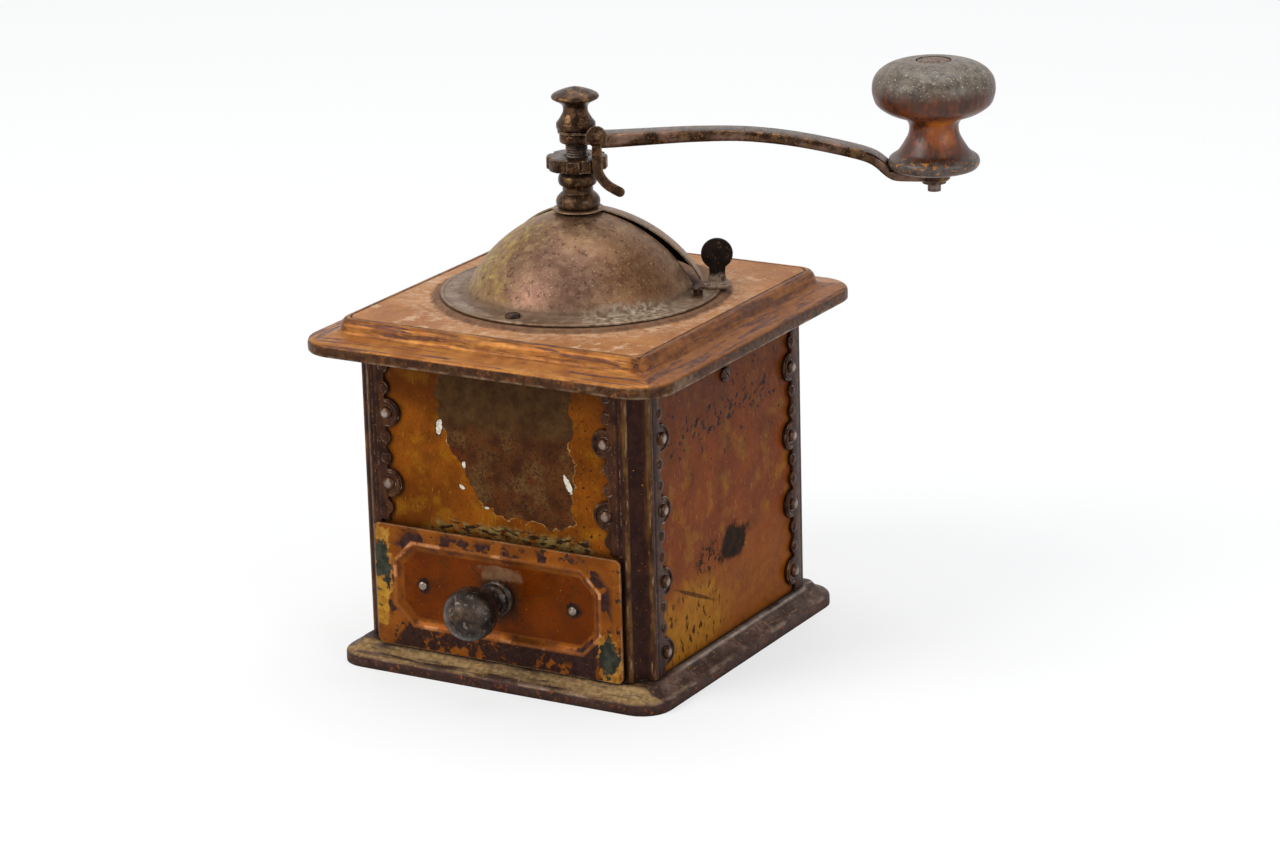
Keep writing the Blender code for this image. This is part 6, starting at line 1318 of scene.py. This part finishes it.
# Finial nut
# Turned iron, tapped from below, that holds crank and pawl down: a ring, a deep waist and a wide pointed cap.
def turn_finial():
    low = 0.176378
    foot = [(0, low + 0.0065), (0.0031, low + 0.0065), (0.0031, low), (0.0062, low), (0.0065, low + 0.0003),
            (0.0066, low + 0.0012),
            (0.0065, low + 0.0021), (0.0062, low + 0.0025)]
    waist = eased([(0.0062, low + 0.0025), (0.0056, low + 0.0032), (0.0049, low + 0.0044), (0.0043, low + 0.0055),
                   (0.0041, low + 0.0066),
                   (0.0043, low + 0.0078), (0.0052, low + 0.0088), (0.0068, low + 0.0097), (0.0078, low + 0.0103)], 3)
    cap = eased([(0.0080, low + 0.0108), (0.0078, low + 0.0113), (0.0069, low + 0.0120), (0.0045, low + 0.0130),
                 (0.0020, low + 0.0138),
                 (0.0, low + 0.0142)], 3)
    return turned(foot + [tuple(point) for point in waist] + [tuple(point) for point in cap], 64)


fitted("finial_turning", turn_finial(), iron_finish, "crank", "finial_nut", 45)


# Knob
# Turned from one piece of beech on a riveted steel pin, with an end-grain plug over the pin's head. Its top is painted
# grey as a reflection of the sky, and its waist has a painted orange glow on the near side; hands have worn its waist
# and underside to a dark red-brown, with orange wood at the edges of the foot.
KNOB_CENTRE = (0.109779, 0.044353)
KNOB_LOW = 0.163478
KNOB_HEIGHT = 0.0364


def at_knob(shape):
    bmesh.ops.translate(shape, verts=shape.verts, vec=(*KNOB_CENTRE, KNOB_LOW))
    return shape


def turn_knob():
    height = KNOB_HEIGHT
    foot = eased([(0.0126, 0), (0.0141, 0.0006), (0.0149, 0.0018), (0.015, 0.0029), (0.0146, 0.004),
                  (0.0134, 0.0049)], 4)
    ogee = eased([(0.0129, 0.0052), (0.0124, 0.0056), (0.0116, 0.0064), (0.0104, 0.0082), (0.0092, 0.0102),
                  (0.00845, 0.0118), (0.0081, 0.0136),
                  (0.0082, 0.0152), (0.0092, 0.0168), (0.0113, 0.0179), (0.0152, 0.0194), (0.0187, 0.0219), (0.0199, 0.0247), (0.0202, 0.0271),
                  (0.0197, 0.0302), (0.0178, 0.0328), (0.0146, 0.0348), (0.0101, 0.036), (0.0066, 0.03635)], 4)
    profile = [(0.0025, 0), *[tuple(point) for point in foot], *[tuple(point) for point in ogee],
               (0.0059, height), (0.0058, height - 0.0004),
               (0.0058, height - 0.0054), (0.0025, height - 0.0054)]
    return at_knob(turned(profile, 80, True))


def turn_plug():
    top = KNOB_HEIGHT
    return at_knob(turned([(0, top - 0.0028), (0.0055, top - 0.0028), (0.0055, top - 0.0005),
                           (0.0052, top - 0.0002), (0.0035, top - 0.0001),
                           (0, top - 0.00005)], 48))


def wood_coat(name, plug=False):
    coat = Coat(name, "2a1810", "442414", 0.36, 0.0, 6.0, gloss=1.4)
    streaks = coat.blots(1.6, 0.46, 0.6, stretch=(1, 1, 7), detail=7.0)
    coat.lay(coat.less(streaks, 0.8), "4a2410", "663012", 0.36)
    waist = coat.patch((*KNOB_CENTRE, KNOB_LOW + 0.0165), (0.024, 0.024, 0.0085), 0.25, 6.0, 0.3)
    coat.lay(coat.less(waist, 0.8), "54260e", "7e3c14", 0.32, 0.0, 0.0, 2.5)
    coat.lay(coat.spots(waist, 1.1, 0.48, 0.6, stretch=(1, 1, 9), detail=8.0), "220f08", "38180a", 0.36)
    # Painted light: an orange glow on the near side of the waist.
    glow = coat.patch((KNOB_CENTRE[0] + 0.008, KNOB_CENTRE[1] - 0.008, KNOB_LOW + 0.0145), (0.006, 0.006, 0.006),
                      0.3, 5.0, 0.5)
    coat.lay(coat.less(glow, 0.7), "9a4e16", "b86a22", 0.36)
    # Painted reflection of the sky: the top of the knob grey.
    top = coat.beyond("Z", KNOB_LOW + 0.0255, KNOB_LOW + 0.0315, 0.0012, 6.0)
    coat.lay(coat.less(top, 0.92), "4e443a", "6c6152", 0.42, 0.0)
    coat.lay(coat.spots(top, 2.5, 0.5, 0.62, detail=8.0, share=0.85), "2c231d", "453a30", 0.42)
    coat.lay(coat.spots(top, 0.8, 0.58, 0.66), "8a7c66", "a09280", 0.5)
    foot = coat.beyond("Z", KNOB_LOW + 0.0058, KNOB_LOW + 0.0044, 0.0004, 3.0)
    coat.lay(coat.less(foot, 0.92), "3a302a", "564a42", 0.36)
    coat.lay(coat.spots(foot, 2.0, 0.58, 0.63, stretch=(1, 1, 0.5)), "8a5426", "a87036", 0.5)
    # Painted shade in the knob's turned recesses.
    coat.lay(coat.less(coat.hollow_shade(0.004, 0.35, 0.8), 0.8), "160c08", "26140c", 0.5)
    if plug:
        coat.lay(coat.less(coat.blots(1.0, 0.45, 0.6, detail=8.0), 0.9), "6a4a38", "8a6a54", 0.75, 0.0, 0.12)
        coat.lay(coat.blots(0.7, 0.55, 0.62), "2a1d17", "3a2a22", 0.8, 0.0, -0.15)
    return coat.sealed(0.1 if plug else 0.03, 0.6, 0.12, 7.0)


fitted("knob_turning", turn_knob(), wood_coat("knob_beech"), "hand_knob", "knob", 50)
fitted("knob_end_plug", turn_plug(), wood_coat("plug_beech", True), "hand_knob", "knob_plug", 50)
recoated("knob_pin", spindle_finish)
recoated("pin_washer", iron_finish)


# Hopper door
# A second, wider shell that turns round the neck outside the fixed dome, with an eye at its top. A bent bracket at its
# leading edge carries the round thumb plate. The sheet's edge is rubbed bright and carries a painted highlight, and its
# inside is painted black for shade.
DOOR_EDGE = math.radians(25)
DOOR_SWEEP = math.radians(138)
DOOR_FOOT = 0.124
DOOR_EYE = 0.148828
EYE_RADIUS = 0.0086


def spin_door():
    radius = 0.0397 + 0.0027
    share = (NECK_HOLE / radius) ** DOME_ROUNDNESS
    rise = (DOOR_EYE - DOME_CENTRE) / (1 - share) ** (1 / DOME_ROUNDNESS)
    inner = shell_line(radius, rise, DOOR_FOOT, EYE_RADIUS * 2 / 3)
    outer = shell_line(radius + 0.0008, rise + 0.0005, DOOR_FOOT, EYE_RADIUS * 2 / 3)
    shape = turned(outer + list(reversed(inner)), 84, True, DOOR_EDGE, DOOR_SWEEP)
    eye = turned([(NECK_HOLE, DOOR_EYE), (EYE_RADIUS - 0.0002, DOOR_EYE), (EYE_RADIUS, DOOR_EYE + 0.0002),
                  (EYE_RADIUS, DOOR_EYE + 0.0004),
                  (EYE_RADIUS - 0.0002, DOOR_EYE + 0.0006), (NECK_HOLE, DOOR_EYE + 0.0006)], 56, True)
    return joined(shape, eye)


def door_coat():
    coat = dome_coat("door_bronze")
    # Painted highlight along the sheet's edges, over rubbed metal.
    coat.lay(coat.spots(coat.edges(0.0004, 0.04, 0.15), 3.0, 0.3, 0.45), "a8987e", "d4c4a6", 0.3, 0.7)
    # Painted shade: the inside of the shell near black.
    coat.lay(coat.inner_side((0, 0, 0.118)), "0b0807", "15100d", 0.8, 0.0)
    return coat.sealed(0.035, 0.5, 0.12, 7.0)


def bend_thumb():
    """Round plate on a short stem, and the foot that is riveted to the lid side of the door."""
    stand, rise, radius = 0.0457, 0.01, 0.00535
    reach = math.acos(-0.0028 / radius) - math.radians(90)
    outline = []
    for step in range(41):
        angle = -math.radians(90) + reach + (math.tau - 2 * reach) * step / 40
        outline.append((stand + radius * math.cos(angle), rise + radius * math.sin(angle), -0.0012))
    outline += [(stand - 0.0026, 0.0035, -0.0012), (stand - 0.0030, 0.0016, -0.0012),
                (stand - 0.0040, 0, -0.0012),
                (stand + 0.0040, 0, -0.0012), (stand + 0.0030, 0.0016, -0.0012), (stand + 0.0026, 0.0035, -0.0012)]
    shape = bmesh.new()
    raised_from(shape, outline, (0, 0, 0.0012))
    broken_edges(shape, 0.0003, 50, 3)
    shape.transform(Matrix.Translation((0, 0, 0.1223)) @ Matrix.Rotation(math.radians(90), 4, "X"))
    foot = box_between((0.0412, -0.0072, 0.12215), (0.0503, 0.0009, 0.1231))
    bmesh.ops.bevel(foot,
                    geom=[edge for edge in foot.edges if abs((edge.verts[0].co - edge.verts[1].co).z) > 0.0001], offset=0.0016,
                    offset_type="OFFSET", affect="EDGES", segments=4, profile=0.5, material=-1)
    broken_edges(foot, 0.00018, 50, 2)
    joined(shape, foot)
    for across, along in ((0.0433, -0.0050), (0.0483, -0.0050)):
        joined(shape,
               turned([(0, -0.0002), (0.0011, -0.0002), (0.001, 0.0004), (0.0006, 0.0006), (0, 0.00065)],
                      20), Matrix.Translation((across, along, 0.1231)))
    bmesh.ops.rotate(shape, verts=shape.verts, cent=(0, 0, 0),
                     matrix=Matrix.Rotation(DOOR_EDGE + math.radians(4), 3, "Z"))
    return shape


def thumb_coat():
    coat = Coat("thumb_bronze", "120c0a", "201612", 0.4, 0.5, 3.0)
    coat.lay(coat.blots(1.4, 0.6, 0.66), "3a2616", "4e341c", 0.55, 0.2)
    coat.lay(coat.spots(coat.edges(0.0006, 0.03, 0.15), 1.5, 0.44, 0.58), "4e3c2c", "6e5a44", 0.36, 0.6)
    foot = coat.beyond("Z", 0.1262, 0.1242, 0.0008, 2.5)
    coat.lay(foot, "70594a", "94806c", 0.7, 0.1, 0.02)
    coat.lay(coat.spots(foot, 1.4, 0.5, 0.62), "463428", "5a4638", 0.7, 0.1)
    return coat.sealed(0.06, 0.5)


fitted("door_spinning", spin_door(), door_coat(), "door", "door_shell", 50)
fitted("thumb_bracket", bend_thumb(), thumb_coat(), "door", "door_thumb", 50)


# Drawer
# A folded tray with a pressed front: a flat border and a sunk eight-sided field with a raised edge. Two rivets hold
# front and tray together, and the ball knob on its collar is drawn up by a screw from inside.
DRAWER_FACE = -0.0602
DRAWER_MIDDLE = 0.0307
TRAY_FRONT = -0.058
BORDER_X = 0.0473
BORDER_Z = 0.0213
FIELD_LIFT = 0.0013
FIELD_X = 0.0395
FIELD_Z = 0.0146
FIELD_CUT = 0.007
RIVET_X = 0.0289
FIELD_RELIEF = ((-0.0018, 0.00001), (-0.0011, 0.0001), (-0.0005, 0.00032), (0.0001, 0.0004), (0.0005, 0.00026),
                (0.001, -0.0001),
                (0.0018, -0.0006), (0.0025, -0.00086), (0.003, -0.0009), (0.0036, -0.00084), (0.0043, -0.00088))


def field_ring(shape, inset, depth):
    """Edges of an eight-sided ring, drawn lying, its corners a little rounded."""
    before = set(shape.verts)
    corners = bmesh.ops.create_grid(shape, x_segments=1, y_segments=1, size=1)["verts"]
    bmesh.ops.scale(shape, verts=corners, vec=(FIELD_X - inset, FIELD_Z - inset, 1))
    bmesh.ops.translate(shape, verts=corners, vec=(0, 0, depth))
    for offset, steps in ((FIELD_CUT - inset * 0.58, 1), (0.0007, 3)):
        corners = [vert for vert in shape.verts if vert not in before]
        bmesh.ops.bevel(shape, geom=corners, offset=offset, offset_type="OFFSET", affect="VERTICES",
                        segments=steps, profile=0.5,
                        material=-1)
    face = next(vert for vert in shape.verts if vert not in before).link_faces[0]
    edges = list(face.edges)
    bmesh.ops.delete(shape, geom=[face], context="FACES_ONLY")
    return edges


def border_ring(shape, inset, depth):
    edges = rounded_ring(shape, BORDER_X - inset, BORDER_Z - inset, 0.0022 - inset, depth, 6)
    bmesh.ops.translate(shape, verts=list({vert for edge in edges for vert in edge.verts}),
                        vec=(0, -FIELD_LIFT, 0))
    return edges


def out_of_tray(shape, distance, x=0.0):
    """Stands a piece drawn about Z on edge, so that it points out of the drawer's front."""
    shape.transform(Matrix.Translation((x, TRAY_FRONT - distance, DRAWER_MIDDLE)) @ Matrix.Rotation(math.radians(90), 4, "X"))
    return shape


def press_front():
    """Sheet with a rounded border and a sunk field, from the field's back round to its face."""
    shape = bmesh.new()
    rings = [field_ring(shape, 0.003, -0.00188), field_ring(shape, 0.0008, -0.00102)]
    rings += [border_ring(shape, inset, depth) for inset,
              depth in ((0.0003, -0.001), (0.0, -0.0008), (0.0, -0.0002), (0.0001, -0.00006), (0.0003, 0.0))]
    rings += [field_ring(shape, inset, depth) for inset, depth in FIELD_RELIEF]
    skinned(shape, rings)
    for ring in (rings[0], rings[-1]):
        bmesh.ops.contextual_create(shape, geom=ring)
    bmesh.ops.recalc_face_normals(shape, faces=shape.faces)
    return out_of_tray(shape, TRAY_FRONT - DRAWER_FACE)


def front_coat():
    coat = Coat("drawer_lacquer", "6c380e", "874a14", 0.34, 0.35, 10.0, gloss=1.15)
    coat.lay(coat.less(coat.blots(5.0, 0.5, 0.64, stretch=(2, 1, 1), detail=8.0), 0.6), "5a2e0c", "6e3c12", 0.42,
             0.3)
    split = coat.nodes.new("ShaderNodeSeparateXYZ")
    coat.links.new(coat.place, split.inputs[0])
    over_x = coat.maths("SUBTRACT", coat.maths("ABSOLUTE", split.outputs[0]), FIELD_X)
    over_z = coat.maths("SUBTRACT",
                        coat.maths("ABSOLUTE", coat.maths("SUBTRACT", split.outputs[2], DRAWER_MIDDLE)), FIELD_Z)
    corner = coat.maths("MULTIPLY", coat.maths("ADD", coat.maths("ADD", over_x, over_z), FIELD_CUT), 0.7071)
    edge = coat.maths("MAXIMUM", coat.maths("MAXIMUM", over_x, over_z), corner)
    inside = coat.ramp(edge, -0.0024, -0.0034)
    coat.lay(coat.less(inside, 0.97), "562200", "682c00", 0.34, 0.3, 0.0, 14.0)
    coat.lay(coat.spots(inside, 7.0, 0.5, 0.66, detail=7.0, share=0.6), "461e04", "562806", 0.4)
    coat.lay(coat.spots(inside, 1.4, 0.6, 0.68, detail=8.0, share=0.8), "38200c", "4a2e14", 0.5)
    band = coat.both(coat.ramp(edge, -0.0004, 0.0006), coat.ramp(edge, 0.0056, 0.0026))
    coat.lay(coat.spots(band, 7.0, 0.46, 0.5, detail=9.0), "2c1914", "3c2520", 0.5, 0.2, -0.08, 1.6)
    lower = coat.outside([(-42, 8), (44, 8), (44, 16.5), (-36, 15.2)], (0, 2), 0.8, 4.0)
    coat.lay(coat.spots(coat.inside(lower, 0.8), 5.0, 0.43, 0.47, detail=9.0), "2a1712", "3a231c", 0.5, 0.2,
             -0.08, 1.6)
    corner_worn = coat.outside([(26, 8), (37, 8), (39, 22), (36, 22), (30, 17)], (0, 2), 1.0, 4.0)
    coat.lay(coat.inside(corner_worn, 0.3), "291714", "38231f", 0.5, 0.2, -0.08, 1.6)
    # Painted shade on the slope down into the sunk field.
    slope = coat.both(coat.ramp(edge, 0.0002, -0.0006), coat.ramp(edge, -0.0030, -0.0022))
    coat.lay(coat.spots(slope, 5.0, 0.46, 0.6, detail=8.0, share=0.8), "462416", "5c3422", 0.42, 0.3)
    # Painted highlight along the raised crest round the field.
    crest = coat.both(coat.ramp(edge, -0.0010, -0.0003), coat.ramp(edge, 0.0009, 0.0002))
    coat.lay(coat.less(crest, 0.6), "84481e", "965a2c", 0.36, 0.3)
    coat.lay(coat.spots(crest, 8.0, 0.54, 0.6), "a4693c", "bc8458", 0.34, 0.3)
    border = coat.ramp(edge, 0.0022, 0.0032)
    coat.lay(coat.spots(border, 3.4, 0.6, 0.64, detail=9.0), "2c1a14", "40281f", 0.5, 0.2, -0.06)
    for place, reach in (((-0.0445, -0.06, 0.033), (0.003, 0.01, 0.011)),
                         ((0.0425, -0.06, 0.0155), (0.0032, 0.01, 0.0065))):
        wide = coat.patch(place, [part * 1.4 for part in reach], 0.5, 4.0, 0.1)
        coat.lay(coat.spots(wide, 3.2, 0.44, 0.5), "8a5a1c", "a87830", 0.5, 0.1, -0.02)
        coat.lay(coat.patch(place, reach, 0.6, 4.0, 0.1), "252620", "3e3e32", 0.5, 0.2, -0.08)
    ochre = coat.outside([(-47.6, 15), (-43.5, 15), (-42, 26), (-44, 32), (-47.6, 30)], (0, 2), 0.9, 4.0)
    coat.lay(coat.spots(coat.inside(ochre, 0.3), 2.4, 0.4, 0.46), "96651c", "b4842e", 0.5, 0.1, 0.02)
    # Painted highlight along the rims, over worn metal.
    rim = coat.edges(0.0008, 0.04, 0.2)
    coat.lay(coat.spots(rim, 9.0, 0.34, 0.5), "8e7c5c", "b8a888", 0.34, 0.75)
    coat.lay(coat.blots(0.9, 0.66, 0.72), "26160c", "3a2212", 0.6)
    coat.lay(coat.less(coat.blots(0.7, 0.7, 0.75), 0.9), "c09048", "d4a868", 0.5)
    collar = coat.patch((0, -0.06, DRAWER_MIDDLE), (0.0088, 0.02, 0.0088), 0.25, 3.0, 0.2)
    coat.lay(coat.less(collar, 0.85), "2e1a0e", "44260f", 0.55, 0.1)
    over = coat.patch((0.0015, -0.06, DRAWER_MIDDLE + 0.0085), (0.008, 0.02, 0.0026), 0.4, 3.0, 0.2)
    coat.lay(coat.less(over, 0.7), "6a4c34", "846248", 0.6, 0.1)
    for x in (RIVET_X, -RIVET_X):
        coat.lay(coat.patch((x, -0.06, DRAWER_MIDDLE), (0.0028, 0.02, 0.0028), 0.4, 1.6, 0.2), "24150f", "38241a",
                 0.6, 0.1)
    return coat.sealed(0.05, 0.55, 0.3, 14.0)


def turn_rivet():
    inside = [(0, -0.0021), (0.0013, -0.0019), (0.0019, -0.0014), (0.0019, -0.0011), (0.001, -0.0011)]
    head = [tuple(point) for point in eased([(0.0015, 0.0019), (0.00145, 0.0023), (0.0009, 0.0027), (0, 0.0028)],
                                            3)]
    return turned(inside + [(0.001, 0.0016), (0.0015, 0.0016)] + head, 28)


def turn_ball_knob():
    collar = eased([(0.0062, 0.0016), (0.0063, 0.0021), (0.0060, 0.0029), (0.0054, 0.0034), (0.0053, 0.0040),
                    (0.0052, 0.0047), (0.0045, 0.0056),
                    (0.0041, 0.0066), (0.0040, 0.0078), (0.0043, 0.0092)], 3)
    ball = []
    for step in range(1, 25):
        angle = 0.49 + (math.pi - 0.49) * step / 24
        ball.append((0.009 * math.sin(angle) if step < 24 else 0, 0.0184 - 0.009 * math.cos(angle)))
    return turned([(0, 0.0110), (0.0018, 0.0110), (0.0018, 0.0016)] + [tuple(point) for point in collar] + ball,
                  56)


def ball_coat():
    coat = Coat("ball_iron", "221c19", "3e3530", 0.3, 0.65, 5.0)
    coat.lay(coat.less(coat.blots(4.0, 0.5, 0.62), 0.8), "3c2c22", "564234", 0.34, 0.5)
    coat.lay(coat.less(coat.blots(1.6, 0.58, 0.66, detail=8.0), 0.6), "6a5c50", "8a7c6e", 0.34, 0.6)
    coat.lay(coat.blots(0.8, 0.62, 0.7), "15110f", "211a17", 0.5, 0.3, -0.03)
    # Painted shade, with dirt, in the hollows and against the drawer front.
    coat.lay(coat.less(coat.hollow_shade(0.004, 0.3, 0.8, False), 0.85), "130d0a", "251a12", 0.65, 0.1)
    return coat.sealed(0.06, 0.5, 0.12, 4.0)


def rivet_coat():
    coat = Coat("rivet_steel", "6e625a", "988a7e", 0.35, 0.8, 1.5)
    coat.lay(coat.blots(0.9, 0.54, 0.64), "4a3424", "5e4430", 0.7, 0.1)
    return coat.sealed(0.04, 0.4)


def tray_coat():
    coat = Coat("tray_tin", "3a3029", "5a4c40", 0.55, 0.45, 12.0)
    coat.lay(coat.blots(9.0, 0.52, 0.62, detail=8.0), "4a3020", "684428", 0.8, 0.05)
    coat.lay(coat.spots(coat.beyond("Z", 0.016, 0.009, 0.001, 5.0), 5.0, 0.42, 0.55), "241811", "38271b", 0.9,
             0.0)
    coat.lay(coat.edges(0.0005, 0.05, 0.2), "8e8276", "aca092", 0.35, 0.8)
    return coat.sealed(0.05, 0.7, 0.15, 15.0)


rivet_finish = rivet_coat()
recoated("drawer_tray", tray_coat())
recoated("drawer_knob_screw", bridge_finish)
fitted("drawer_pressing", press_front(), front_coat(), "drawer", "drawer_front", 30)
for name, sign in (("right", 1), ("left", -1)):
    fitted(f"front_rivet_{name}", out_of_tray(turn_rivet(), 0, sign * RIVET_X), rivet_finish, "drawer",
           f"drawer_rivet_{name}", 45)
fitted("drawer_pull", out_of_tray(turn_ball_knob(), 0), ball_coat(), "drawer", "drawer_knob", 45)
